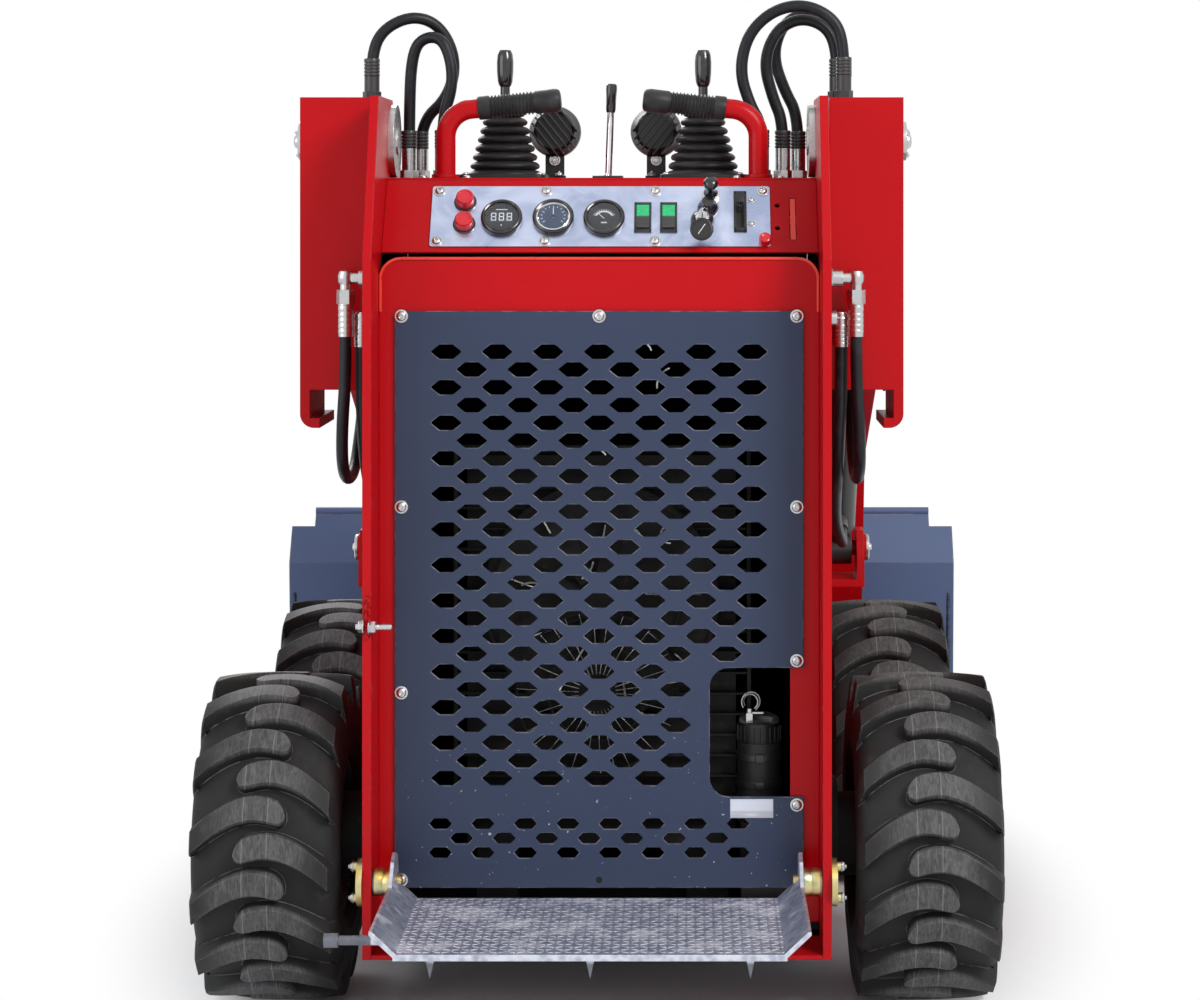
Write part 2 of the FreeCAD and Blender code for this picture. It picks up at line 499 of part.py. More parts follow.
def grille_bolts():
    """Button heads that hold the grille."""
    face = COVER_Y - SHEET - FIT
    heads = []
    for x, z in GRILLE_BOLTS:
        head = bar((x, face - BOLT_H, z), (x, face - TOUCH, z), BOLT_R)
        heads.append(round_edges(head, BOLT_H / 2, lambda c: c.y < face - BOLT_H + NEAR))
    return Part.makeCompound(heads)


def blank_label():
    x0, face = NOTCH_LEFT + LABEL_AT, COVER_Y - SHEET - FIT - TOUCH
    return box(x0, x0 + LABEL_W, face - LABEL_T, face, LABEL_LOW, LABEL_HIGH)


# ---------------------------------------------------------------- instruments
def centred(x, v, halves, z0, z1):
    """A block about a point, from its halves across and up."""
    return box(x - halves[0], x + halves[0], v - halves[1], v + halves[1], z0, z1)


def instrument_panel():
    plate = box(-PANEL_HALF, PANEL_HALF, PANEL_LOW, PANEL_HIGH, TOUCH, PANEL_T)
    plate = round_edges(plate, PANEL_CORNER, lambda c: abs(c.x) > PANEL_HALF - 1
                        and abs(c.z - PANEL_T / 2) < PANEL_T / 4)
    cuts = [bar((x, v, -1), (x, v, PANEL_T + 1), GAUGE_R - GAUGE_LAP) for x, v in GAUGES]
    cuts += [centred(x, v, ROCKER_CUT, -1, PANEL_T + 1) for x, v in ROCKERS]
    cuts.append(centred(*SLIDE_AT, SLIDE_CUT, -1, PANEL_T + 1))
    return on_console(plate.cut(Part.makeCompound(cuts)))


def gauges():
    """Round gauges: a bezel over the panel and a body through it."""
    pieces = []
    for x, v in GAUGES:
        face = PANEL_T + GAUGE_H
        bezel = bar((x, v, PANEL_T + TOUCH), (x, v, face), GAUGE_R)
        bezel = round_edges(bezel, GAUGE_ROUND, lambda c: c.z > face - NEAR)
        glass = bar((x, v, face - GLASS_DEPTH), (x, v, face + 1), GAUGE_R - GLASS_IN)
        body = bar((x, v, -BODY_DEPTH), (x, v, PANEL_T + 2 * TOUCH), GAUGE_R - BODY_IN)
        pieces.append(fuse(bezel.cut(glass), body))
    return on_console(Part.makeCompound(pieces))


def push_buttons():
    pieces = []
    for x, v in BUTTONS:
        collar = bar((x, v, PANEL_T + TOUCH), (x, v, PANEL_T + COLLAR_T), BUTTON_R + COLLAR_RIM)
        cap = bar((x, v, PANEL_T + COLLAR_T - 2 * TOUCH), (x, v, PANEL_T + BUTTON_H), BUTTON_R)
        cap = round_edges(cap, BUTTON_ROUND, lambda c: c.z > PANEL_T + BUTTON_H - NEAR)
        pieces.append(fuse(collar, cap))
    return on_console(Part.makeCompound(pieces))


def rocker_switches():
    pieces = []
    for x, v in ROCKERS:
        w, h, top = ROCKER_W / 2, ROCKER_H / 2, PANEL_T + ROCKER_FRAME_T
        frame = centred(x, v, (w, h), PANEL_T + TOUCH, top)
        body = centred(x, v, (w - ROCKER_SIDE, h - ROCKER_BODY_END), -ROCKER_DEPTH, top)
        left, low, high = x - w + ROCKER_SIDE, v - h + ROCKER_END, v + h - ROCKER_END
        loop = [V(left, low, top), V(left, low, top + ROCKER_HIGH), V(left, v, top + ROCKER_MIDDLE),
                V(left, high, top + ROCKER_LOW), V(left, high, top)]
        rocker = Part.Face(Part.makePolygon(loop + loop[:1])).extrude(V(ROCKER_W - 2 * ROCKER_SIDE, 0, 0))
        pieces.append(fuse(frame, body, rocker))
    return on_console(Part.makeCompound(pieces))


def key_switch():
    """Key switch with its key turned in, and the fob that hangs from it."""
    x, v = KEY_AT
    ring = bar((x, v, PANEL_T + TOUCH), (x, v, PANEL_T + KEY_RING_T), KEY_RING_R)
    barrel = bar((x, v, PANEL_T + TOUCH), (x, v, PANEL_T + KEY_BARREL_T), KEY_BARREL_R)
    top = PANEL_T + KEY_REACH
    key = box(x - KEY_T / 2, x + KEY_T / 2, v - KEY_W / 2, v + KEY_W / 2, PANEL_T + KEY_RING_T, top)
    link = bar((x, v, top - KEY_T), (x, v - FOB_DROP, top - KEY_T), KEY_T / 2)
    fob = bar((x, v - FOB_DROP, top - FOB_T), (x, v - FOB_DROP, top), FOB_R)
    return on_console(fuse(ring, barrel, key, link, fob))


def throttle():
    """Choke and throttle pull: a threaded collar, a stem and a round black knob."""
    x, v = THROTTLE_AT
    collar = bar((x, v, PANEL_T + TOUCH), (x, v, PANEL_T + PULL_COLLAR_T), PULL_COLLAR_R)
    stem = bar((x, v, PANEL_T + PULL_COLLAR_T - 1), (x, v, PANEL_T + PULL_KNOB_LOW + 1), PULL_STEM_R)
    knob = bar((x, v, PANEL_T + PULL_KNOB_LOW), (x, v, PANEL_T + PULL_KNOB_TOP), PULL_KNOB_R)
    knob = round_edges(knob, PULL_KNOB_ROUND, lambda c: c.z > PANEL_T + PULL_KNOB_TOP - NEAR)
    return on_console(fuse(collar, stem, knob))


def slide_lever():
    """Flat lever in its black slotted frame."""
    x, v = SLIDE_AT
    low, frame_top, up = PANEL_T + TOUCH, PANEL_T + SLIDE_FRAME_T, v + SLIDE_UP
    frame = centred(x, v, SLIDE_FRAME, low, frame_top).cut(centred(x, v, SLIDE_SLOT, 0, frame_top + 1))
    bridge = centred(x, up, SLIDE_BRIDGE, low + TOUCH, frame_top)
    blade = centred(x, up, SLIDE_BLADE, low + TOUCH, PANEL_T + SLIDE_BLADE_TOP)
    grip = centred(x, up, SLIDE_GRIP, PANEL_T + SLIDE_GRIP_LOW, PANEL_T + SLIDE_GRIP_TOP)
    stops = [bar((x + STOP_X, v + s, low), (x + STOP_X, v + s, PANEL_T + STOP_T), STOP_R)
             for s in (-STOP_V, STOP_V)]
    return on_console(Part.makeCompound([fuse(frame, bridge, blade, grip)] + stops))


# ---------------------------------------------------------------- hand controls
def handle_path():
    """Centre line of a grab handle in the XZ plane: foot, start and end of the bend, tip."""
    foot = V(HANDLE_X, HANDLE_Y, DECK_Z + TOUCH)
    tip = V(HANDLE_END, HANDLE_Y, HANDLE_TOP + HANDLE_RISE)
    corner = V(HANDLE_X, HANDLE_Y, HANDLE_TOP)
    down, inward = foot - corner, tip - corner
    down.normalize()
    inward.normalize()
    half_turn = (math.pi - down.getAngle(inward)) / 2
    reach = HANDLE_BEND * math.tan(half_turn)
    middle = down + inward
    middle.normalize()
    crown = corner + middle * (HANDLE_BEND / math.cos(half_turn) - HANDLE_BEND)
    return foot, corner + down * reach, crown, corner + inward * reach, tip


def grab_handle():
    foot, start, crown, end, tip = handle_path()
    path = Part.Wire([Part.LineSegment(foot, start).toShape(), Part.Arc(start, crown, end).toShape(),
                      Part.LineSegment(end, tip).toShape()])
    ring = Part.Wire(Part.makeCircle(HANDLE_R, foot, start - foot))
    tube = path.makePipeShell([ring], True, False)
    base = bar(tuple(foot), (foot.x, foot.y, foot.z + HANDLE_FOOT_T), HANDLE_FOOT_R)
    return fuse(tube, base)


def handle_grip():
    _, _, _, end, tip = handle_path()
    inward = tip - end
    inward.normalize()
    outer_end = tip + inward * GRIP_PAST
    start = outer_end - inward * GRIP_LENGTH
    grip = bar(tuple(start), tuple(outer_end), GRIP_R)
    bore = bar(tuple(start - inward), tuple(tip + inward * FIT), HANDLE_R + FIT)
    return grip.cut(bore)


def joystick_boot():
    """Bellows boot on a square flange."""
    z0 = DECK_Z + BOOT_FLANGE_T
    step = (BOOT_TOP - z0) / (2 * BOOT_FOLDS)
    profile = [V(0, 0, z0)]
    for i in range(BOOT_FOLDS + 1):
        share = i / BOOT_FOLDS
        radius = BOOT_BASE_R + (BOOT_TOP_R - BOOT_BASE_R) * share
        profile.append(V(radius, 0, z0 + 2 * i * step))
        if i < BOOT_FOLDS:
            profile.append(V(radius - BOOT_FOLD_DEPTH, 0, z0 + (2 * i + 1) * step))
    profile.append(V(0, 0, BOOT_TOP))
    cone = Part.Face(Part.makePolygon(profile + profile[:1])).revolve(V(0, 0, 0), V(0, 0, 1), 360)
    cone.translate(V(STICK_X, STICK_Y, 0))
    f = BOOT_FLANGE
    flange = centred(STICK_X, STICK_Y, (f, f), DECK_Z + TOUCH, z0 + 2 * TOUCH)
    flange = round_edges(flange, BOOT_FLANGE_CORNER, lambda c: abs(c.z - DECK_Z - BOOT_FLANGE_T / 2) < 1
                         and abs(c.x - STICK_X) > f - 1 and abs(c.y - STICK_Y) > f - 1)
    return fuse(cone, flange)


def joystick_knob():
    z = BOOT_TOP + TOUCH
    stem = bar((STICK_X, STICK_Y, z), (STICK_X, STICK_Y, z + STICK_L), STICK_R)
    knob = bar((STICK_X, STICK_Y, z + STICK_KNOB_AT), (STICK_X, STICK_Y, STICK_TOP), STICK_KNOB_R)
    return fuse(stem, round_edges(knob, STICK_KNOB_ROUND, lambda c: abs(c.x - STICK_X) < 1))


def work_lamp():
    body = bar((LAMP_X, LAMP_Y - LAMP_L / 2, LAMP_Z), (LAMP_X, LAMP_Y + LAMP_L / 2, LAMP_Z), LAMP_R)
    body = round_edges(body, LAMP_ROUND, lambda c: abs(abs(c.y - LAMP_Y) - LAMP_L / 2) < NEAR)
    foot = box(LAMP_X - LAMP_FOOT_HALF, LAMP_X + LAMP_FOOT_HALF, LAMP_Y - LAMP_FOOT_REAR,
               LAMP_Y + LAMP_FOOT_FRONT, DECK_Z + TOUCH, DECK_Z + LAMP_FOOT_T)
    post = box(LAMP_X - LAMP_POST_HALF, LAMP_X + LAMP_POST_HALF, LAMP_Y - LAMP_POST_REAR,
               LAMP_Y + LAMP_POST_FRONT, DECK_Z + LAMP_FOOT_T - 1, LAMP_Z - LAMP_R + LAMP_POST_IN)
    return fuse(body, foot, post)


def centre_lever():
    x, y = LEVER_AT
    lean, knob_low = x + LEVER_LEAN, LEVER_TOP - LEVER_KNOB_L
    plate = centred(x, y, LEVER_PLATE, DECK_Z + TOUCH, DECK_Z + LEVER_PLATE_T)
    rod = bar((x, y, DECK_Z + LEVER_PLATE_T - 1), (lean, y, knob_low + LEVER_KNOB_IN), LEVER_R)
    knob = bar((lean, y, knob_low), (lean + 1, y, LEVER_TOP), LEVER_KNOB_R)
    return fuse(plate, rod, round_edges(knob, LEVER_KNOB_ROUND, lambda c: abs(c.x - lean - 1 / 2) < 2))


# ---------------------------------------------------------------- inside the rear
def engine_block():
    x0, x1, y0, y1, z0, z1 = ENGINE
    block = box(x0, x1, y0, y1, z0, z1)
    fan = bar((0, y0 - FAN_T, FAN_CENTRE_Z), (0, y0 + 1, FAN_CENTRE_Z), FAN_R)
    feet = [box(x - FOOT_HALF, x + FOOT_HALF, y0 + FOOT_INSET, y1 - FOOT_INSET, PLATE_BOTTOM + FLOOR_T, z0)
            for x in (-FOOT_X, FOOT_X)]
    rib_y = AXLE_REAR + RIB_FROM_AXLE
    over_rib = box(-INNER_X, INNER_X, rib_y - RIB_HALF - 1, rib_y + RIB_HALF + 1, PLATE_BOTTOM,
                   PLATE_BOTTOM + RIB_TOP)
    return fuse(block, fan, *feet).cut(over_rib)


def fuel_filler():
    """Filler neck of the fuel tank with its screw cap and strap."""
    cap_low = FILLER_HIGH - FILLER_CAP_L
    neck = bar((FILLER_X, FILLER_Y, FILLER_LOW), (FILLER_X, FILLER_Y, cap_low), FILLER_R)
    cap = bar((FILLER_X, FILLER_Y, cap_low - 1), (FILLER_X, FILLER_Y, FILLER_HIGH), FILLER_R - FILLER_CAP_IN)
    tank = box(FILLER_X - TANK_LEFT, INNER_X - FIT, FILLER_Y - TANK_REAR, FILLER_Y + TANK_FRONT,
               PLATE_BOTTOM + FLOOR_T + TOUCH, FILLER_LOW + 1)
    return fuse(neck, cap, tank)


# ---------------------------------------------------------------- running gear
def wheel_motor(axle_y):
    """Wheel motor flange on the side plate with its output stub."""
    inner = TYRE_OUTER_X - TYRE_W
    case_end, flange_end = inner + MOTOR_REACH, PLATE_X + HUB_FLANGE_T
    flange = across((axle_y, AXLE_Z), HUB_FLANGE_R, PLATE_X + TOUCH, flange_end)
    case = across((axle_y, AXLE_Z), MOTOR_CASE_R, flange_end - 1, case_end)
    stub = across((axle_y, AXLE_Z), STUB_R, case_end - 1, TYRE_OUTER_X - STUB_INSET)
    return fuse(flange, case, stub)


def wheel_motors():
    pieces = [wheel_motor(y) for y in (AXLE_REAR, AXLE_FRONT)]
    return Part.makeCompound(pieces + [mirrored(p) for p in pieces])


def revolve_about_axle(points, axle_y):
    """Turns an (x, radius) outline about a wheel's axle."""
    loop = [V(x, axle_y, AXLE_Z + r) for x, r in points]
    return Part.Face(Part.makePolygon(loop + loop[:1])).revolve(V(0, axle_y, AXLE_Z), V(1, 0, 0), 360)


def rim(axle_y):
    """Drop-centre rim with its dished disc and hub."""
    outer, inner = TYRE_OUTER_X - RIM_INSET, TYRE_OUTER_X - TYRE_W + RIM_INSET
    middle, disc = (outer + inner) / 2, outer - DISH_INSET
    r, wall = RIM_R, RIM_R - RIM_T
    lip, drop, bore = r + RIM_LIP, r - RIM_LIP, STUB_R + RUNNING
    barrel_line = [(inner, wall), (inner + LIP_RISES, lip), (inner + LIP_ENDS, lip), (inner + LIP_FOOT, r),
                   (middle - WELL_TOP, r), (middle - WELL_FLOOR, drop), (middle + WELL_FLOOR, drop),
                   (middle + WELL_TOP, r), (outer - LIP_FOOT, r), (outer - LIP_ENDS, lip),
                   (outer - LIP_RISES, lip), (outer, wall), (outer - RIM_INSET, wall)]
    front = [(middle + WELL_TOP + WELL_WALL, wall - DISH_SLOPE[0]),
             (disc + RIM_DISC_T + DISH_SLOPE[0], r - DISH_SLOPE[1]), (disc + RIM_DISC_T, DISH_R),
             (disc + HUB_HALF, HUB_R), (disc + HUB_HALF + HUB_CONE, bore)]
    back = [(disc - HUB_HALF, bore), (disc - HUB_HALF, HUB_R), (disc, HUB_R), (disc, DISH_R),
            (disc - DISH_BACK[0], r - DISH_BACK[1]), (middle - WELL_TOP + WELL_WALL, wall - DISH_BACK[0]),
            (inner + RIM_LIP, wall - WELL_WALL)]
    return revolve_about_axle(barrel_line + front + back, axle_y)


def tyre(axle_y):
    outer, inner = TYRE_OUTER_X, TYRE_OUTER_X - TYRE_W
    bead = RIM_R + FIT
    half = [(a, bead + b) for a, b in TYRE_SIDE] + [(a, TYRE_R - b) for a, b in TYRE_SHOULDER]
    profile = [(outer - a, r) for a, r in half] + [(outer - TYRE_W / 2, TYRE_R)]
    profile += [(inner + a, r) for a, r in half[::-1]]
    return revolve_about_axle(profile, axle_y)


# ---------------------------------------------------------------- lift arms
def arm_outline():
    leg = arc_points(HINGE, LEG_R, 0, -180, LEG_STEPS)
    return ([(ARM_BACK, ARM_BACK_LOW), (ARM_BACK, ARM_TOP), (ARM_TOP_FRONT, ARM_TOP)] + ARM_FRONT_LINE
            + leg + ARM_BELLY_LINE + [(ARM_BELLY_FRONT, ARM_BACK_LOW)])


def arm():
    """Right lift arm: a welded box open below for the lift cylinder, with its hubs and pin."""
    shape = arm_outline()
    body = slab(shape, ARM_IN, ARM_OUT)
    core = outline(shape, ARM_IN + ARM_T).makeOffset2D(-ARM_T)
    body = body.cut(core.extrude(V(ARM_OUT - ARM_IN - 2 * ARM_T, 0, 0)))
    body = body.cut(box(ARM_IN + ARM_T, ARM_OUT - ARM_T, ARM_BACK + ARM_T, ARM_BELLY_START,
                        ARM_BACK_LOW - 1, ARM_BACK_LOW + ARM_T + 1))
    hub = across(PIVOT, PIVOT_HUB_R, ARM_IN, ARM_OUT)
    hinge_hub = across(HINGE, LEG_R - HINGE_WALL, ARM_IN, ARM_OUT)
    pin = across(HINGE, HINGE_R, ARM_IN - HINGE_PIN_IN, ARM_OUT + PIN_PAST)
    boss = across(LIFT_HIGH, LIFT_BOSS_R, ARM_OUT - 1, ARM_OUT + PIN_PAST)
    body = fuse(body, hub, hinge_hub, pin, boss, hoop())
    return body.cut(across(PIVOT, PIVOT_R + RUNNING, ARM_IN - 1, ARM_OUT + 1))


def hoop():
    """Bent flange below the rear end of the arm's outer side."""
    block = box(HOOP_IN, ARM_OUT, ARM_BACK, ARM_BACK + HOOP_DEPTH, HOOP_BOTTOM, ARM_BACK_LOW + 1)
    block = round_edges(block, HOOP_CORNER,
                        lambda c: abs(c.z - HOOP_BOTTOM) < NEAR and abs(c.x - ARM_OUT) < NEAR)
    return block.cut(box(HOOP_IN - 1, ARM_OUT - HOOP_T, ARM_BACK - 1, ARM_BACK + HOOP_DEPTH + 1,
                         HOOP_BOTTOM + HOOP_T, ARM_BACK_LOW + 2))


def cross_tubes():
    """Tubes that tie the two arms, with the ears of the tilt cylinder."""
    half = ARM_IN - TOUCH
    tube = pipe_across(CROSS_TUBE, CROSS_R, CROSS_R - TUBE_WALL, half)
    ear_x = TILT_EYE_W / 2 + 1
    reach = math.dist(CROSS_TUBE, TILT_BASE)
    root, nose = CROSS_R - TILT_EAR_ROOT, reach + TILT_EAR_NOSE
    edge = [along(CROSS_TUBE, TILT_BASE, far, aside)
            for far, aside in ((reach, -TILT_EAR_HALF), (nose, -TILT_EAR_TIP), (nose, TILT_EAR_TIP),
                               (reach, TILT_EAR_HALF))]
    start, finish = polar(CROSS_TUBE, root, TILT_EAR_FROM), polar(CROSS_TUBE, root, TILT_EAR_TO)
    ear = slab([start] + edge + [finish], ear_x, ear_x + EAR_T)
    pin_end = ear_x + EAR_T + TILT_PIN_PAST
    pin = across(TILT_BASE, EYE_PIN_R, -pin_end, pin_end)
    knee = pipe_across(KNEE_TUBE, KNEE_R, KNEE_R - TUBE_WALL, half)
    return Part.makeCompound([fuse(tube, ear, mirrored(ear), pin), knee])


def pivot_pins():
    """Pins of the lift arms, each with its disc inside the tower and its head outside the arm."""
    inner = PLATE_X - PLATE_T
    pin = across(PIVOT, PIVOT_R, inner - PIVOT_DISC_T - PIN_PROUD, ARM_OUT + PIN_PROUD)
    disc = across(PIVOT, PIVOT_DISC_R, inner - PIVOT_DISC_T, inner - TOUCH)
    head = across(PIVOT, PIN_HEAD_R, ARM_OUT + PIN_PROUD / 2, ARM_OUT + PIN_PROUD / 2 + PIN_HEAD_T)
    return pair(fuse(pin, disc, head))


# ---------------------------------------------------------------- cylinders
def barrel(low, high, length, radius, bore, rod_radius, x, eye_r, eye_w):
    """Cylinder barrel: base eye, neck, tube and gland, bored for its rod."""
    def at(distance, aside=0.0):
        y, z = along(low, high, distance, aside)
        return (x, y, z)
    tube = bar(at(eye_r + NECK), at(length), radius)
    eye = across(low, eye_r, x - eye_w / 2, x + eye_w / 2)
    neck = bar(at(eye_r - NECK_IN), at(eye_r + NECK + 1), eye_w / 2 - NECK_THIN)
    gland = bar(at(length - GLAND_BACK), at(length + GLAND_FRONT), radius + GLAND_RIM)
    body = fuse(tube, eye, neck, gland)
    body = body.cut(bar(at(eye_r + NECK + BORE_START), at(length - BORE_STOP), bore))
    rod_way = bar(at(length - BORE_STOP - BORE_LAP), at(length + GLAND_FRONT + 1), rod_radius + PIN_GAP)
    body = body.cut(rod_way)
    return body.cut(across(low, EYE_PIN_R + PIN_GAP, x - eye_w, x + eye_w))


def rod(low, high, radius, x, eye_r, eye_w):
    """Piston rod with its eye."""
    def at(distance):
        y, z = along(low, high, distance)
        return (x, y, z)
    reach = math.dist(low, high)
    inner_end = eye_r + NECK + ROD_START
    stem = bar(at(inner_end), at(reach - eye_r + ROD_IN_EYE), radius)
    eye = across(high, eye_r, x - eye_w / 2, x + eye_w / 2)
    return fuse(stem, eye)


def lift_barrel():
    return barrel(LIFT_LOW, LIFT_HIGH, LIFT_BARREL_L, LIFT_BARREL_R, LIFT_BORE_R, LIFT_ROD_R,
                  CYL_X, EYE_R, EYE_W)


def lift_rod():
    body = rod(LIFT_LOW, LIFT_HIGH, LIFT_ROD_R, CYL_X, EYE_R, EYE_W)
    pin = across(LIFT_HIGH, EYE_PIN_R, ARM_IN + ARM_T + 1, ARM_OUT - ARM_T - 1)
    return fuse(body, pin)


def lift_bracket():
    """Clevis on the side plate that carries the foot of the lift cylinder."""
    y, z = LIFT_LOW
    back, front, low, knee = y - BRACKET_HALF, y + BRACKET_HALF, z - BRACKET_LOW, z - BRACKET_KNEE
    outer = slab([(back, low), (back, knee), (y - BRACKET_CROWN, z + BRACKET_TOP),
                  (y + BRACKET_CROWN, z + BRACKET_TOP), (front, knee), (front, low)], CLEVIS_IN, CLEVIS_OUT)
    shelf = box(PLATE_X + TOUCH, CLEVIS_OUT, back, front, low, low + BRACKET_SHELF)
    pad = across(LIFT_LOW, EYE_R + PAD_RIM, PLATE_X + TOUCH, CYL_X - EYE_W / 2 - 1)
    pin = across(LIFT_LOW, EYE_PIN_R, PLATE_X + FOOT_PIN_IN, CLEVIS_OUT + PIN_PAST)
    head = across(LIFT_LOW, EYE_PIN_R + FOOT_HEAD_RIM, CLEVIS_OUT - 1 / 2, CLEVIS_OUT + FOOT_HEAD_T)
    return fuse(outer, shelf, pad, pin, head)


TILT_EYE = polar(HINGE, TILT_LEVER, TILT_LEVER_ANGLE)


def tilt_barrel():
    return barrel(TILT_BASE, TILT_EYE, TILT_BARREL_L, TILT_BARREL_R, TILT_BORE_R, TILT_ROD_R,
                  0.0, TILT_EYE_R, TILT_EYE_W)


def tilt_rod():
    return rod(TILT_BASE, TILT_EYE, TILT_ROD_R, 0.0, TILT_EYE_R, TILT_EYE_W)


# ---------------------------------------------------------------- bucket
def from_hinge(offset):
    return (HINGE[0] + offset[0], HINGE[1] + offset[1])


def attach_plate():
    """Quick-attach plate: hinge ears at its sides, and ears for the tilt cylinder's rod."""
    low, high = from_hinge(BUCKET_BACK_LOW), from_hinge(BUCKET_BEND)
    length = math.dist(low, high)
    top = length - ATTACH_SHORT
    plate = slab([along(low, high, 0, -FIT), along(low, high, top, -FIT), along(low, high, top, -ATTACH_T),
                  along(low, high, 0, -ATTACH_T)], -ATTACH_HALF, ATTACH_HALF)
    x0, x1 = ARM_IN - HINGE_EAR_GAP - HINGE_EAR_T, ARM_IN - HINGE_EAR_GAP
    inside = 2 - ATTACH_T
    ear = slab([along(low, high, HINGE_EAR_FROM, inside), along(low, high, HINGE_EAR_TO, inside)]
               + [from_hinge(offset) for offset in HINGE_EAR_LINE], x0, x1)
    ear = ear.cut(across(HINGE, HINGE_R + PIN_GAP, x0 - 1, x1 + 1))
    ear_x = TILT_EYE_W / 2 + 1
    y, z = TILT_EYE
    rod_ear = slab([along(low, high, ROD_EAR_FROM, inside), along(low, high, ROD_EAR_TO, inside)]
                   + [(y + dy, z + dz) for dy, dz in ROD_EAR_LINE], ear_x, ear_x + EAR_T)
    rod_pin = across(TILT_EYE, EYE_PIN_R + ROD_PIN_RIM, ear_x + EAR_T - 1, ear_x + EAR_T + ROD_PIN_PAST)
    rod_ear = fuse(rod_ear, rod_pin)
    return fuse(plate, ear, mirrored(ear), rod_ear, mirrored(rod_ear))


def bucket_back_points():
    """Outer line of the bucket from the lip down the back, round the heel and along the floor."""
    low = from_hinge(BUCKET_BACK_LOW)
    heel = (low[0] + BUCKET_HEEL_R, BUCKET_FLOOR_Z + BUCKET_HEEL_R)
    turn = arc_points(heel, BUCKET_HEEL_R, 180, 180 + 90, HEEL_STEPS)
    floor_end = (BUCKET_TIP - EDGE_L + EDGE_STEP, BUCKET_FLOOR_Z)
    return [from_hinge(BUCKET_LIP), from_hinge(BUCKET_BEND)] + turn + [floor_end]


def bucket():
    """Bucket shell with its end plates, open to the front and above."""
    line = bucket_back_points()
    shell = sheet_strip(line[1:], BUCKET_T, BUCKET_HALF - BUCKET_END_T)
    upper = sheet_strip(line[:2], BUCKET_T, BUCKET_LIP_HALF)
    bend, lip = line[1], line[0]
    shoulder_top = along(bend, lip, SHOULDER_DROP)
    shoulder = sheet_strip([shoulder_top, bend], BUCKET_T, BUCKET_HALF - BUCKET_END_T)
    cheek = [(BUCKET_TIP - CHEEK_TOE[0], BUCKET_FLOOR_Z + CHEEK_TOE[1]),
             (BUCKET_TIP - CHEEK_KNEE[0], CHEEK_KNEE[1]), (BUCKET_TIP - CHEEK_TOP[0], lip[1] - CHEEK_TOP[1])]
    end = slab([shoulder_top] + line[1:] + cheek, BUCKET_HALF - BUCKET_END_T, BUCKET_HALF)
    lip_bar = across((lip[0] - 2, lip[1] - LIP_BAR_R), LIP_BAR_R, -BUCKET_LIP_HALF, BUCKET_LIP_HALF)
    return fuse(shell, upper, shoulder, end, mirrored(end), lip_bar)


def cutting_edge():
    z0 = BUCKET_FLOOR_Z + BUCKET_T + TOUCH
    half, top = BUCKET_HALF - BUCKET_END_T - FIT, z0 + EDGE_T - BUCKET_T + EDGE_OVER
    back = BUCKET_TIP - EDGE_L
    step = back + EDGE_STEP + FIT
    points = [(back, z0), (step, z0), (step, BUCKET_FLOOR_Z), (BUCKET_TIP, BUCKET_FLOOR_Z),
              (BUCKET_TIP - EDGE_BEVEL, top), (back, top)]
    return slab(points, -half, half)


# ---------------------------------------------------------------- footboard
def footboard_wing():
    """Upturned side of the tread plate, leaning outward to the ear."""
    foot, top = BOARD_HALF - BOARD_WING_W, BOARD_TOP + BOARD_WING_H
    loop = [(foot - BOARD_T, BOARD_TOP - BOARD_T), (foot, BOARD_TOP - BOARD_T), (BOARD_HALF, top - BOARD_T),
            (BOARD_HALF, top), (BOARD_HALF - BOARD_T, top), (foot - BOARD_T, BOARD_TOP)]
    return xz_face([loop], BOARD_REAR).extrude(V(0, BOARD_FRONT - BOARD_REAR, 0))


def footboard_fin(x):
    """Pointed rib below the tread plate."""
    low, top = BOARD_TOP - BOARD_T, BOARD_TOP - BOARD_T / 2
    loop = [(x, low - FIN_H), (x + FIN_W / 2, low), (x + FIN_W / 2, top), (x - FIN_W / 2, top),
            (x - FIN_W / 2, low)]
    return xz_face([loop], BOARD_REAR + BOARD_T).extrude(V(0, BOARD_FRONT - BOARD_REAR - 2 * FIN_H, 0))


def fold_handle():
    """Capped handle that stands out of the left wing."""
    end = -BOARD_HALF - FOLD_REACH
    stem = across(FOLD_AT, FOLD_R, end + FOLD_CAP_L / 2, FOLD_R - BOARD_HALF + BOARD_WING_W / 2)
    return fuse(stem, across(FOLD_AT, FOLD_CAP_R, end, end + FOLD_CAP_L))


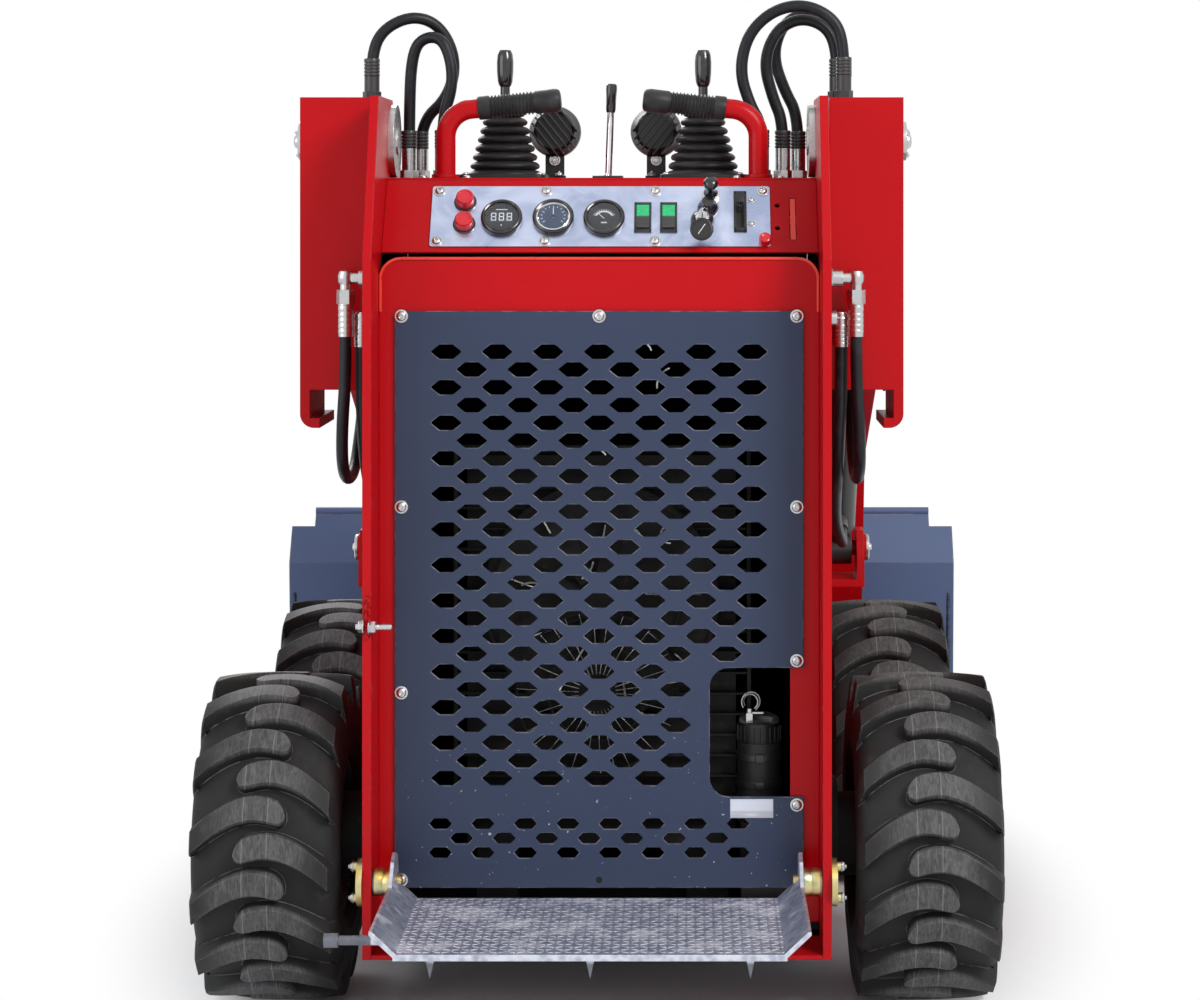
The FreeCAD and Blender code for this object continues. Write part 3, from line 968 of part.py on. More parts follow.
def footboard():
    """Folding platform of tread plate with its wings, ears, ribs and pivot bushes."""
    half = BOARD_HALF - BOARD_WING_W
    plate = box(-half, half, BOARD_REAR, BOARD_FRONT, BOARD_TOP - BOARD_T, BOARD_TOP)
    lip = box(-half, half, BOARD_REAR, BOARD_REAR + BOARD_T, BOARD_TOP - BOARD_LIP, BOARD_TOP)
    y, z = BOARD_PIVOT
    wing_top = BOARD_TOP + BOARD_WING_H
    ear = slab([(y - EAR_REACH, wing_top - BOARD_T), (y - EAR_REACH, wing_top), (y - EAR_BACK, z + EAR_RISE),
                (y - EAR_CROWN, z + EAR_TOP), (y + EAR_NOSE, z + EAR_RISE), (y + EAR_FRONT, z),
                (y + EAR_NOSE, z - EAR_DROP), (y - EAR_BACK, z - EAR_DROP)],
               BOARD_HALF - BOARD_EAR_T, BOARD_HALF)
    tab = box(half - BOARD_T, BOARD_HALF, y - EAR_BACK, BOARD_FRONT, BOARD_TOP - BOARD_T, BOARD_TOP)
    bush = across(BOARD_PIVOT, BOARD_PIN_R + BUSH_WALL, BOARD_HALF - BOARD_T / 2, PLATE_X - PLATE_T - 1)
    bore = across(BOARD_PIVOT, BOARD_PIN_R + PIN_GAP, BOARD_HALF - BUSH_REACH, PLATE_X)
    fins = [footboard_fin(x) for x in (-FIN_X, 0.0, FIN_X)]
    side = [footboard_wing(), ear, tab, bush]
    body = fuse(plate, lip, *side, *[mirrored(piece) for piece in side], *fins, fold_handle())
    return body.cut(pair(bore))


def board_pivots():
    """Pivot pins of the footboard, each with its bolted flange outside the side plate."""
    y, z = BOARD_PIVOT
    pin = across(BOARD_PIVOT, BOARD_PIN_R, BOARD_HALF - BOARD_PIN_REACH, PLATE_X + BOARD_PIN_PAST)
    flange = across(BOARD_PIVOT, BOARD_FLANGE_R, PLATE_X + TOUCH, PLATE_X + BOARD_FLANGE_T)
    nuts = [across((y, z + s * FLANGE_NUT_AT), FLANGE_NUT_R, PLATE_X + BOARD_FLANGE_T - 1,
                   PLATE_X + FLANGE_NUT_TOP) for s in (-1, 1)]
    return pair(fuse(pin, flange, *nuts))


# ---------------------------------------------------------------- hose fittings
ELBOW_X, ELBOW_Y, ELBOW_Z = 358.0, 158.0, 1011.0
SECOND_X, SECOND_Z, SECOND_ASIDE = 338.0, 954.0, 15.0
FITTING_NUT_R, FIRST_NUT_T, SECOND_NUT_T = 12.0, 24.0, 16.0
PIPE_R, PIPE_IN, COLLAR_R, COLLAR_AT, ELBOW_DROP = 8.0, 4.0, 11.0, 18.0, 38.0
SECOND_PAST, SECOND_DROP, CRIMP_L = 7.0, 40.0, 45.0


def side_fittings():
    """Bulkhead elbow with its crimped ferrule, and the second union below it."""
    y = ELBOW_Y
    low, nut_end = ELBOW_Z - ELBOW_DROP, PLATE_X + FIRST_NUT_T
    nut = across((y, ELBOW_Z), FITTING_NUT_R, PLATE_X + TOUCH, nut_end)
    neck = across((y, ELBOW_Z), PIPE_R, nut_end - PIPE_IN, ELBOW_X + PIPE_R)
    drop = bar((ELBOW_X, y, ELBOW_Z + PIPE_R), (ELBOW_X, y, low), PIPE_R)
    collar = bar((ELBOW_X, y, ELBOW_Z - COLLAR_AT), (ELBOW_X, y, low), COLLAR_R)
    crimp = bar((ELBOW_X, y, low + 1), (ELBOW_X, y, low + 1 - CRIMP_L), FERRULE_R)
    upper = fuse(nut, neck, drop, collar, crimp)
    y2 = y + SECOND_ASIDE
    nut2_end = PLATE_X + SECOND_NUT_T
    nut2 = across((y2, SECOND_Z), FITTING_NUT_R, PLATE_X + TOUCH, nut2_end)
    elbow = across((y2, SECOND_Z), PIPE_R, nut2_end - PIPE_IN, SECOND_X + SECOND_PAST)
    drop2 = bar((SECOND_X, y2, SECOND_Z + SECOND_PAST), (SECOND_X, y2, SECOND_Z - SECOND_DROP), FERRULE_R)
    return Part.makeCompound([upper, fuse(nut2, elbow, drop2)])


UPPER_HOSE_START = (ELBOW_X, ELBOW_Y, ELBOW_Z - ELBOW_DROP + 1 - CRIMP_L - TOUCH)
LOWER_HOSE_START = (SECOND_X, ELBOW_Y + SECOND_ASIDE, SECOND_Z - SECOND_DROP - TOUCH)
UPPER_PORT_AT, LOWER_PORT_AT, PORT_L = 376.0, 78.0, 20.0
UPPER_PORT_RUN, LOWER_PORT_RUN = 38.0, 34.0     # straight run of a hose into its port
UPPER_LIFT_POINTS = [(358, 158, 872), (362, 150, 800), (364, 168, 744), (364, 232, 718), (364, 310, 728),
                     (364, 368, 778)]
LOWER_LIFT_POINTS = [(338, 173, 856), (335, 166, 798), (334, 192, 744), (335, 262, 694), (340, 358, 650),
                     (350, 452, 618), (360, 534, 594)]


def lift_ports():
    """Port unions on the rear face of the lift cylinder's barrel."""
    pieces = []
    for at in (UPPER_PORT_AT, LOWER_PORT_AT):
        a = along(LIFT_LOW, LIFT_HIGH, at, -LIFT_BARREL_R + 1)
        b = along(LIFT_LOW, LIFT_HIGH, at, -LIFT_BARREL_R - PORT_L)
        pieces.append(bar((CYL_X, *a), (CYL_X, *b), FERRULE_R))
    return pieces


def port_tip(at):
    return (CYL_X, *along(LIFT_LOW, LIFT_HIGH, at, -LIFT_BARREL_R - PORT_L - TOUCH))


def port_run(at, distance):
    return (CYL_X, *along(LIFT_LOW, LIFT_HIGH, at, -LIFT_BARREL_R - PORT_L - distance))


def upper_lift_hose():
    """From the elbow down behind the arm, under its hoop and up to the barrel's upper port."""
    points = [UPPER_HOSE_START] + UPPER_LIFT_POINTS
    points += [port_run(UPPER_PORT_AT, UPPER_PORT_RUN), port_tip(UPPER_PORT_AT)]
    return hose("hose_upper_lift", points, HOSE_R)


def lower_lift_hose():
    """From the second union down behind the arm and forward to the barrel's lower port."""
    points = [LOWER_HOSE_START] + LOWER_LIFT_POINTS
    points += [port_run(LOWER_PORT_AT, LOWER_PORT_RUN), port_tip(LOWER_PORT_AT)]
    return hose("hose_lower_lift", points, HOSE_R)


# Hoses over the deck: first end (x, y), the points between, and the end on the deck (x, y)
ARM_UNION_TOP, DECK_UNION_TOP = ARM_TOP + 34.0, DECK_Z + 44.0
ARM_HOSES = {
    "hose_arm_right_a": ((346, 252), [(346, 252, 1346), (332, 253, 1382), (290, 255, 1403),
                                      (244, 257, 1394), (208, 258, 1360), (196, 259, 1306),
                                      (212, 261, 1256), (228, 262, 1230)], (228, 262)),
    "hose_arm_right_b": ((338, 284), [(338, 284, 1340), (322, 285, 1374), (284, 288, 1386),
                                      (248, 292, 1366), (232, 296, 1320), (246, 301, 1268),
                                      (260, 302, 1236)], (260, 302)),
    "hose_arm_right_c": ((350, 315), [(350, 315, 1344), (336, 317, 1382), (300, 322, 1398),
                                      (262, 328, 1382), (246, 334, 1334), (264, 341, 1282),
                                      (284, 342, 1246)], (284, 342)),
    "hose_arm_left": ((-337, 290), [(-337, 290, 1338), (-318, 291, 1372), (-276, 299, 1390),
                                    (-238, 312, 1374), (-217, 322, 1324), (-230, 332, 1272),
                                    (-272, 350, 1236)], (-272, 350)),
}
DECK_HOSES = {
    "hose_deck_left": ((-285, 312), [(-285, 312, 1256), (-281, 303, 1326), (-268, 298, 1356),
                                     (-236, 289, 1358), (-221, 285, 1322), (-220, 284, 1282),
                                     (-234, 284, 1240)], (-234, 284)),
}


def union(x, y, base, top):
    """Hexagonal union nut with the crimped sleeve of a hose standing on it."""
    corners = [V(x + UNION_R * math.cos(math.radians(a)), y + UNION_R * math.sin(math.radians(a)),
                 base + TOUCH) for a in range(0, 360, 60)]
    nut = Part.Face(Part.makePolygon(corners + corners[:1])).extrude(V(0, 0, UNION_H))
    return fuse(nut, bar((x, y, base + UNION_H / 2), (x, y, top), ARM_FERRULE_R))


def arm_unions():
    return Part.makeCompound([union(x, y, ARM_TOP, ARM_UNION_TOP) for (x, y), _, _ in ARM_HOSES.values()])


def chassis_unions():
    """All the hose ends on the chassis: on the deck, and on the side plates."""
    spots = [end for _, _, end in ARM_HOSES.values()]
    for start, _, end in DECK_HOSES.values():
        spots += [start, end]
    deck = [union(x, y, DECK_Z, DECK_UNION_TOP) for x, y in spots]
    return Part.makeCompound(deck + [pair(side_fittings())])


def over_deck(name, route, first_top):
    """A hose that stands up from its first union and comes down to its union on the deck."""
    (x0, y0), middle, (x1, y1) = route
    points = [(x0, y0, first_top + TOUCH)] + middle + [(x1, y1, DECK_UNION_TOP + TOUCH)]
    return hose(name, points, ARM_HOSE_R)


# ---------------------------------------------------------------- the whole machine
def build():
    parts = {
        "side_plate_right": side_plate(),
        "side_plate_left": mirrored(side_plate()),
        "chassis_floor": chassis_floor(),
        "front_hood": front_hood(),
        "deck_plate": deck_plate(),
        "console": console(),
        "rear_cover": rear_cover(),
        "grille": grille(),
        "grille_bolts": grille_bolts(),
        "blank_label": blank_label(),
        "instrument_panel": instrument_panel(),
        "gauges": gauges(),
        "panel_switches": Part.makeCompound([push_buttons(), rocker_switches()]),
        "panel_controls": Part.makeCompound([key_switch(), throttle(), slide_lever()]),
        "grab_handles": pair(grab_handle()),
        "handle_grips": pair(handle_grip()),
        "joystick_boots": pair(joystick_boot()),
        "control_levers": Part.makeCompound([pair(joystick_knob()), centre_lever()]),
        "work_lamps": pair(work_lamp()),
        "engine_block": engine_block(),
        "fuel_filler": fuel_filler(),
        "wheel_motors": wheel_motors(),
        "pivot_pins": pivot_pins(),
        "lift_brackets": pair(lift_bracket()),
        "board_pivots": board_pivots(),
        "chassis_unions": chassis_unions(),
        "arm_right": arm(),
        "arm_left": mirrored(arm()),
        "arm_unions": arm_unions(),
        "arm_cross_tubes": cross_tubes(),
        "tilt_barrel": tilt_barrel(),
        "tilt_rod": tilt_rod(),
        "attach_plate": attach_plate(),
        "bucket": bucket(),
        "cutting_edge": cutting_edge(),
        "footboard": footboard(),
    }
    for corner, axle_y in (("rear", AXLE_REAR), ("front", AXLE_FRONT)):
        for kind, shape in (("rim", rim(axle_y)), ("tyre", tyre(axle_y))):
            parts[f"{kind}_{corner}_right"] = shape
            parts[f"{kind}_{corner}_left"] = mirrored(shape)
    lift = fuse(lift_barrel(), *lift_ports())
    upper, lower = upper_lift_hose(), lower_lift_hose()
    for side, turn in (("right", lambda s: s), ("left", mirrored)):
        parts[f"lift_barrel_{side}"] = turn(lift)
        parts[f"lift_rod_{side}"] = turn(lift_rod())
        parts[f"hose_upper_lift_{side}"] = turn(upper)
        parts[f"hose_lower_lift_{side}"] = turn(lower)
    for name, route in ARM_HOSES.items():
        parts[name] = over_deck(name, route, ARM_UNION_TOP)
    for name, route in DECK_HOSES.items():
        parts[name] = over_deck(name, route, DECK_UNION_TOP)
    return parts


def main():
    os.makedirs("parts", exist_ok=True)
    for name, shape in build().items():
        placed = shape.copy()
        placed.translate(V(0, -MIDDLE_Y, 0))
        if not placed.isValid():
            print("not valid:", name)
        placed.exportStep(f"parts/{name}.step")
        print(f"{name}: {len(placed.Solids)} solids, {placed.Volume / 1e3:.0f} cm3")
    for name, length, radius, radii, ratio in HOSE_REPORT:
        bends = ", ".join(f"{r:.0f}" for r in radii)
        print(f"{name}: length {length:.0f}, diameter {2 * radius:.0f}, radii {bends}, "
              f"volume ratio {ratio:.4f}")


if __name__ == "__main__":
    main()
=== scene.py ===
import bmesh
import bpy
import math
import random
from mathutils import Matrix, Vector


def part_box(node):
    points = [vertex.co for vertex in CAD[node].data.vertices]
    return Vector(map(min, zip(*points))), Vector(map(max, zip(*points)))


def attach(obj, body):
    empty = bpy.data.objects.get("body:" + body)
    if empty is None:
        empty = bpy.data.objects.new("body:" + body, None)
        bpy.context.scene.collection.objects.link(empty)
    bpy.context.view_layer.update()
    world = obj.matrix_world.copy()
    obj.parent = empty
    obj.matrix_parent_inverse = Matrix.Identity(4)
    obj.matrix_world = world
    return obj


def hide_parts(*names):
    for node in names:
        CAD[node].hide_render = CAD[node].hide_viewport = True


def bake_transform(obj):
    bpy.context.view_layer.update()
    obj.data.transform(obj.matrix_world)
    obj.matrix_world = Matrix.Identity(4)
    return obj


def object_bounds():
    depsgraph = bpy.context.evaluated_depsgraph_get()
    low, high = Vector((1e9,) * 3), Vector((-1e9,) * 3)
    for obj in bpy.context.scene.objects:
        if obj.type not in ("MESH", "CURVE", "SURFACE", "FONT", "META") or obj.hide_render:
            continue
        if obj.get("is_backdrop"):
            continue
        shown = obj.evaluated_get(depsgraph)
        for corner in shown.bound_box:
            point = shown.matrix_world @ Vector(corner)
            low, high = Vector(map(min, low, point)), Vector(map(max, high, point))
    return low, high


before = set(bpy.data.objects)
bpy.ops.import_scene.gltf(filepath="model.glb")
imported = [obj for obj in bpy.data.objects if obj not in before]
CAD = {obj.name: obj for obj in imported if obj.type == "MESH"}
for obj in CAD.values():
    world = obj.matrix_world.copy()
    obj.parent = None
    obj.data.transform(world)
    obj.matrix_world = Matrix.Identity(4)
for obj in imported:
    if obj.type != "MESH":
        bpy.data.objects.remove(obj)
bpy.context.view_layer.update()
rng = random.Random(7)


# ---- camera, floor and light
VIEW_POINT = Vector((0.122, -4.222, 1.115))  # level with the top of the grille
LENS, SENSOR = 78.0, 36.0
SHIFT_X, SHIFT_Y = -0.0733, -0.2467  # the machine stands low and left of the view line
# Lamps: place, what it is aimed at, size, power and colour
LAMPS = {"key": ((2.6, -3.6, 3.6), (0.0, -0.4, 0.7), 1.6, 150, (1.0, 0.97, 0.93)),
         "fill": ((-3.2, -3.0, 1.8), (0.0, -0.3, 0.6), 2.6, 45, (0.92, 0.96, 1.0)),
         "far": ((-1.5, 3.6, 3.2), (0.0, 0.4, 0.6), 2.4, 90, (1.0, 1.0, 1.0))}
SKY_COLOUR, SKY_STRENGTH = (0.93, 0.96, 1.0, 1), 0.55
FLOOR_COLOUR, FLOOR_SIZE, FLOOR_GAP = (0.88, 0.88, 0.89), 14.0, 0.0005
FLOOR_REACH = (0.58, 0.92)  # half width and half length of the ground that the machine shades
FLOOR_NEAR, FLOOR_FAR = 0.92, 1.4  # times that reach, between which the floor fades to white


def camera():
    """A level camera behind the machine."""
    data = bpy.data.cameras.new("camera")
    data.lens = LENS
    data.sensor_width = SENSOR
    data.shift_x = SHIFT_X
    data.shift_y = SHIFT_Y
    made = bpy.data.objects.new("camera", data)
    made.location = VIEW_POINT
    made.rotation_euler = (math.radians(90), 0, 0)
    bpy.context.collection.objects.link(made)
    bpy.context.scene.camera = made


def lamp(name, place, aim, size, power, colour):
    """A square soft light, aimed at a point."""
    data = bpy.data.lights.new(name, "AREA")
    data.shape = "RECTANGLE"
    data.size = data.size_y = size
    data.energy = power
    data.color = colour
    made = bpy.data.objects.new(name, data)
    made.location = place
    made.rotation_euler = (Vector(aim) - Vector(place)).to_track_quat("-Z", "Y").to_euler()
    bpy.context.collection.objects.link(made)


# ---- shader sums
class Value:
    """A shader socket that can be written in sums."""
    def __init__(self, nodes, socket):
        self.nodes = nodes
        self.socket = socket

    def sum(self, operation, *terms, clamp=False):
        settings = {"operation": operation, "use_clamp": clamp}
        return self.nodes.node("ShaderNodeMath", settings, dict(enumerate(terms)))

    def __add__(self, other):
        return self.sum("ADD", self, other)

    __radd__ = __add__

    def __sub__(self, other):
        return self.sum("SUBTRACT", self, other)

    def __rsub__(self, other):
        return self.sum("SUBTRACT", other, self)

    def __mul__(self, other):
        return self.sum("MULTIPLY", self, other)

    __rmul__ = __mul__

    def __truediv__(self, other):
        return self.sum("DIVIDE", self, other)

    def __pow__(self, other):
        return self.sum("POWER", self, other)

    def __abs__(self):
        return self.sum("ABSOLUTE", self)

    def clamp(self):
        return self.sum("ADD", self, 0, clamp=True)

    def larger(self, other):
        return self.sum("MAXIMUM", self, other)

    def ramp(self, low, high):
        """0 below low, 1 above high, smooth between; falls instead where low is above high."""
        limits = {0: self, 1: low, 2: high, 3: 0.0, 4: 1.0}
        return self.nodes.node("ShaderNodeMapRange", {"interpolation_type": "SMOOTHSTEP"}, limits)


class Nodes:
    """A tree of shader nodes."""
    def __init__(self, tree):
        self.tree = tree

    def node(self, kind, settings=None, inputs=None, output=0):
        """A node of a kind, with its settings and the values or links of its inputs."""
        made = self.tree.nodes.new(kind)
        for name, value in (settings or {}).items():
            setattr(made, name, value)
        for key, value in (inputs or {}).items():
            self.feed(made.inputs[key], value)
        return Value(self, made.outputs[output])

    def feed(self, socket, value):
        if isinstance(value, Value):
            self.tree.links.new(value.socket, socket)
        elif isinstance(value, tuple) and len(value) == 3 and socket.type == "RGBA":
            socket.default_value = (*value, 1)
        else:
            socket.default_value = value


class Finish(Nodes):
    """One material: a shader and the nodes that vary it."""
    def __init__(self, name, **shader):
        self.material = bpy.data.materials.new(name)
        self.material.use_nodes = True
        super().__init__(self.material.node_tree)
        self.shader = self.tree.nodes["Principled BSDF"]
        for socket, value in shader.items():
            self.shader.inputs[socket.replace("_", " ")].default_value = value

    def place(self):
        """Place on the piece, in metres."""
        return self.node("ShaderNodeTexCoord", output="Object")

    def axes(self):
        """The three coordinates of that place."""
        split = self.node("ShaderNodeSeparateXYZ", inputs={0: self.place()})
        sockets = split.socket.node.outputs
        return [Value(self, socket) for socket in sockets]

    def noise(self, scale, detail=4.0, roughness=0.55, stretch=(1, 1, 1), distortion=0.0):
        """Cloudy patches, finer with a larger scale and squeezed along an axis by its stretch."""
        spot = self.place()
        if stretch != (1, 1, 1):
            spot = self.node("ShaderNodeVectorMath", {"operation": "MULTIPLY"}, {0: spot, 1: stretch})
        values = {"Vector": spot, "Scale": scale, "Detail": detail, "Roughness": roughness,
                  "Distortion": distortion}
        return self.node("ShaderNodeTexNoise", inputs=values)

    def cells(self, scale):
        """Distance to the nearest seed of a field of cells."""
        return self.node("ShaderNodeTexVoronoi", inputs={"Vector": self.place(), "Scale": scale},
                         output="Distance")

    def mix(self, factor, first, second):
        """Two colours, by a factor."""
        return self.node("ShaderNodeMix", {"data_type": "RGBA"}, {0: factor, 6: first, 7: second}, output=2)

    def facing_up(self):
        """1 on faces that look up, 0 on upright ones."""
        normal = self.node("ShaderNodeNewGeometry", output="Normal")
        return self.node("ShaderNodeSeparateXYZ", inputs={0: normal}, output=2)

    def rounded(self, radius):
        """Surface direction, as if the edges were rounded off."""
        return self.node("ShaderNodeBevel", {"samples": 4}, {"Radius": radius})

    def edge(self, width, low=0.02, high=0.22):
        """1 along sharp outer edges, 0 on flats."""
        sharp = self.node("ShaderNodeNewGeometry", output="Normal")
        likeness = self.node("ShaderNodeVectorMath", {"operation": "DOT_PRODUCT"},
                             {0: self.rounded(width), 1: sharp}, output="Value")
        return (1 - likeness).ramp(low, high)

    def worn_edge(self, width, scale, low, high, detail=5.0, sharp=(0.02, 0.22)):
        """Sharp edges in patches, where they are rubbed or chipped."""
        return self.edge(width, *sharp) * self.noise(scale, detail=detail).ramp(low, high)

    def dusty(self, body, amount):
        """A body colour under dust that lies on its upward faces, in patches."""
        lies = self.facing_up().ramp(0.35, 0.95)
        patches = self.noise(9.0, detail=6.0).ramp(0.42, 0.72)
        return self.mix(lies * patches * amount, body, DUST)

    def relief(self, height, strength, distance=0.001, round_edge=0.0):
        """Small relief of a height pattern, over edges rounded off by round_edge."""
        inputs = {"Height": height, "Strength": strength, "Distance": distance}
        if round_edge:
            inputs["Normal"] = self.rounded(round_edge)
        self.feed(self.shader.inputs["Normal"], self.node("ShaderNodeBump", inputs=inputs))

    def out(self, **sockets):
        """Feeds the shader's named sockets and gives the material."""
        for name, value in sockets.items():
            self.feed(self.shader.inputs[name.replace("_", " ")], value)
        return self.material


# ---- finishes
# Colours in linear light; most finishes drift between a deep and a pale one
# The second colour here is painted shade: the near black given to the faces closed in round the engine.
DUST, INSIDE_SHADE_BLACK = (0.23, 0.19, 0.15), (0.008, 0.007, 0.008)
RED_DEEP, RED_PALE = (0.44, 0.0022, 0.0060), (0.51, 0.0040, 0.0075)
RED_MUDDY, RED_CHIPPED = (0.16, 0.035, 0.025), (0.11, 0.075, 0.06)
SLATE_DEEP, SLATE_PALE = (0.020, 0.032, 0.070), (0.034, 0.050, 0.102)
SLATE_SCRATCH, SLATE_SPECK, SLATE_RUBBED = (0.30, 0.31, 0.34), (0.55, 0.56, 0.60), (0.36, 0.36, 0.38)
BUCKET_DEEP, BUCKET_PALE = (0.052, 0.088, 0.195), (0.088, 0.140, 0.275)
STEEL_DARK, STEEL_BRIGHT, BUCKET_RUST = (0.15, 0.145, 0.14), (0.34, 0.33, 0.32), (0.17, 0.065, 0.025)
EDGE_DARK, EDGE_BRIGHT, EDGE_RUST = (0.22, 0.215, 0.21), (0.50, 0.49, 0.48), (0.14, 0.06, 0.028)
SPANGLE_DARK, SPANGLE_BRIGHT = (0.44, 0.47, 0.58), (0.72, 0.75, 0.86)
ZINC_BLOOM, ZINC_DIRT = (0.58, 0.60, 0.66), (0.19, 0.18, 0.19)
ZINC_RUBBED, ZINC_DARKER = (0.78, 0.79, 0.84), (0.085, 0.090, 0.105)
PLATED, PLATED_HAZE, PLATED_STAIN = (0.62, 0.63, 0.62), (0.50, 0.50, 0.52), (0.16, 0.14, 0.12)
YELLOW_DEEP, YELLOW_PALE, YELLOW_GREEN = (0.62, 0.43, 0.10), (0.66, 0.58, 0.30), (0.36, 0.46, 0.30)
# The panel's blue tones are a painted reflection of the sky on the aluminium.
PANEL_SKY_DEEP, PANEL_SKY_PALE, PANEL_SMEAR = (0.36, 0.42, 0.60), (0.62, 0.68, 0.86), (0.42, 0.44, 0.48)
CHROME, CHROME_OILY = (0.78, 0.78, 0.80), (0.42, 0.39, 0.34)
POLISHED_DEEP, POLISHED_MARKED = (0.008, 0.008, 0.010), (0.020, 0.021, 0.024)
HOSE_DEEP, HOSE_RUBBED = (0.007, 0.008, 0.011), (0.026, 0.028, 0.035)
TYRE_DEEP, TYRE_PALE, TYRE_WORN = (0.007, 0.007, 0.008), (0.020, 0.020, 0.020), (0.24, 0.235, 0.23)
LUG_DEEP, LUG_PALE, MOULD_GREY = (0.045, 0.045, 0.047), (0.120, 0.120, 0.120), (0.30, 0.30, 0.30)
TYRE_SOIL = (0.09, 0.078, 0.065)
ENAMEL_DEEP, ENAMEL_PALE, ENAMEL_CHIPPED = (0.012, 0.012, 0.013), (0.030, 0.030, 0.031), (0.20, 0.19, 0.18)
IRON_DEEP, IRON_PALE, IRON_RUST = (0.008, 0.008, 0.009), (0.030, 0.029, 0.028), (0.08, 0.055, 0.035)
FILM_CLEAN, FILM_AGED, FILM_DIRT = (0.68, 0.73, 0.84), (0.60, 0.65, 0.74), (0.30, 0.30, 0.31)
PLASTIC_DEEP, PLASTIC_PALE, PLASTIC_DULL = (0.52, 0.004, 0.014), (0.72, 0.012, 0.03), (0.2, 0.01, 0.012)
# Brighter reds that paint light: the patch seen through the console's slot and the cover's top bead.
PAINTED_LIGHT_DEEP, PAINTED_LIGHT_PALE = (0.74, 0.026, 0.008), (0.84, 0.046, 0.014)
GREEN_DEEP, GREEN_PALE = (0.003, 0.24, 0.075), (0.015, 0.48, 0.17)
GLASS_CLEAR, GLASS_SMEARED = (0.97, 0.98, 1.0), (0.90, 0.92, 0.94)
DIAL_DARK, DIAL_BLUE, DIAL_PRINT = (0.018, 0.019, 0.023), (0.030, 0.050, 0.095), (0.80, 0.83, 0.86)
# The white for the key fob is a painted glint.
COUNTER_GREY, FOB_GLINT_WHITE, LENS_GREY = (0.055, 0.060, 0.070), (0.80, 0.80, 0.82), (0.55, 0.58, 0.62)


# The tower's inner faces lie within these: half width, behind the cover, below the deck, behind the nose
INSIDE_X, INSIDE_REAR, INSIDE_TOP, INSIDE_NOSE = 0.3062, -0.6405, 1.147, 0.2915
CONSOLE_FOOT, CONSOLE_SLOPE = (-0.617, 1.048), 0.6745  # the console's inner face: foot, and Y for each Z
FLOOR_LOW, FLOOR_HIGH = 0.18, 0.20  # upward faces above this height show
INSIDE_SHADE_FADE = 0.001


def inside_tower(finish, x, y, z):
    """1 on the faces that close in the engine, which are darkened as painted shade; 0 on those that show."""
    walls = abs(x).ramp(INSIDE_X, INSIDE_X - INSIDE_SHADE_FADE)
    console = (z - CONSOLE_FOOT[1]) * CONSOLE_SLOPE + CONSOLE_FOOT[0]
    ahead = (y - console.larger(INSIDE_REAR)).ramp(0.0, INSIDE_SHADE_FADE)
    behind = y.ramp(INSIDE_NOSE, INSIDE_NOSE - INSIDE_SHADE_FADE)
    below = z.ramp(INSIDE_TOP, INSIDE_TOP - INSIDE_SHADE_FADE)
    outer = finish.facing_up().ramp(0.05, 0.3) * z.ramp(FLOOR_LOW, FLOOR_HIGH)
    return (walls * ahead * behind * below * (1 - outer)).clamp()


def red_paint(name="red_paint", tower=False):
    """Gloss enamel: soft orange peel, faded patches, dust, small chips; near black inside the tower as
    painted shade.
    """
    finish = Finish(name, Coat_Roughness=0.10, Specular_IOR_Level=0.14, Coat_Weight=0.05)
    fade = finish.noise(2.3, detail=3.0)
    body = finish.mix(fade, RED_DEEP, RED_PALE)
    grime = finish.noise(14.0, detail=8.0, stretch=(1, 1, 0.35)).ramp(0.56, 0.74)
    x, y, z = finish.axes()
    low = z.ramp(0.45, 0.12)
    soiled = (grime * (low * 0.40 + 0.03)).clamp()
    body = finish.dusty(finish.mix(soiled, body, RED_MUDDY), 0.07)
    worn = finish.worn_edge(0.0025, 70.0, 0.56, 0.62)
    body = finish.mix(worn, body, RED_CHIPPED)
    roughness = 0.24 + 0.12 * finish.noise(30.0, detail=5.0) + 0.25 * soiled + 0.3 * worn
    # Inside the tower the red turns near black as painted shade.
    if tower:
        inside_shade = inside_tower(finish, x, y, z)
        body = finish.mix(inside_shade, body, INSIDE_SHADE_BLACK)
        roughness = roughness + 0.35 * inside_shade
    peel = finish.noise(260.0, detail=2.0) * 0.25 + finish.noise(22.0, detail=2.0)
    finish.relief(peel, 0.18, 0.0006, round_edge=0.0022)
    return finish.out(Base_Color=body, Roughness=roughness.clamp())


def slate_paint():
    """Satin blue-grey powder coat with rubbed edges, fine scratches, pale specks low down and dust."""
    finish = Finish("slate_paint", Coat_Weight=0.04, Coat_Roughness=0.3, Specular_IOR_Level=0.34)
    body = finish.mix(finish.noise(3.0, detail=4.0), SLATE_DEEP, SLATE_PALE)
    scratches = finish.noise(60.0, detail=3.0, stretch=(1.0, 1.0, 14.0), distortion=0.6).ramp(0.66, 0.72)
    scuffs = finish.noise(11.0, detail=8.0).ramp(0.55, 0.75)
    body = finish.mix((scratches * scuffs * 0.175).clamp(), body, SLATE_SCRATCH)
    low = finish.axes()[2].ramp(0.50, 0.18)
    specks = finish.noise(150.0, detail=2.0).ramp(0.715, 0.74) * low
    body = finish.mix((specks * 0.8).clamp(), body, SLATE_SPECK)
    rubbed = (finish.worn_edge(0.003, 45.0, 0.44, 0.60, detail=6.0) * 0.7).clamp()
    body = finish.dusty(finish.mix(rubbed, body, SLATE_RUBBED), 0.6)
    grain = finish.noise(420.0, detail=2.0) * 0.4 + finish.noise(35.0, detail=3.0) * 0.6
    finish.relief(grain, 0.16, 0.0006, round_edge=0.0018)
    return finish.out(Base_Color=body, Roughness=0.42 + 0.16 * scuffs, Metallic=rubbed * 0.8)


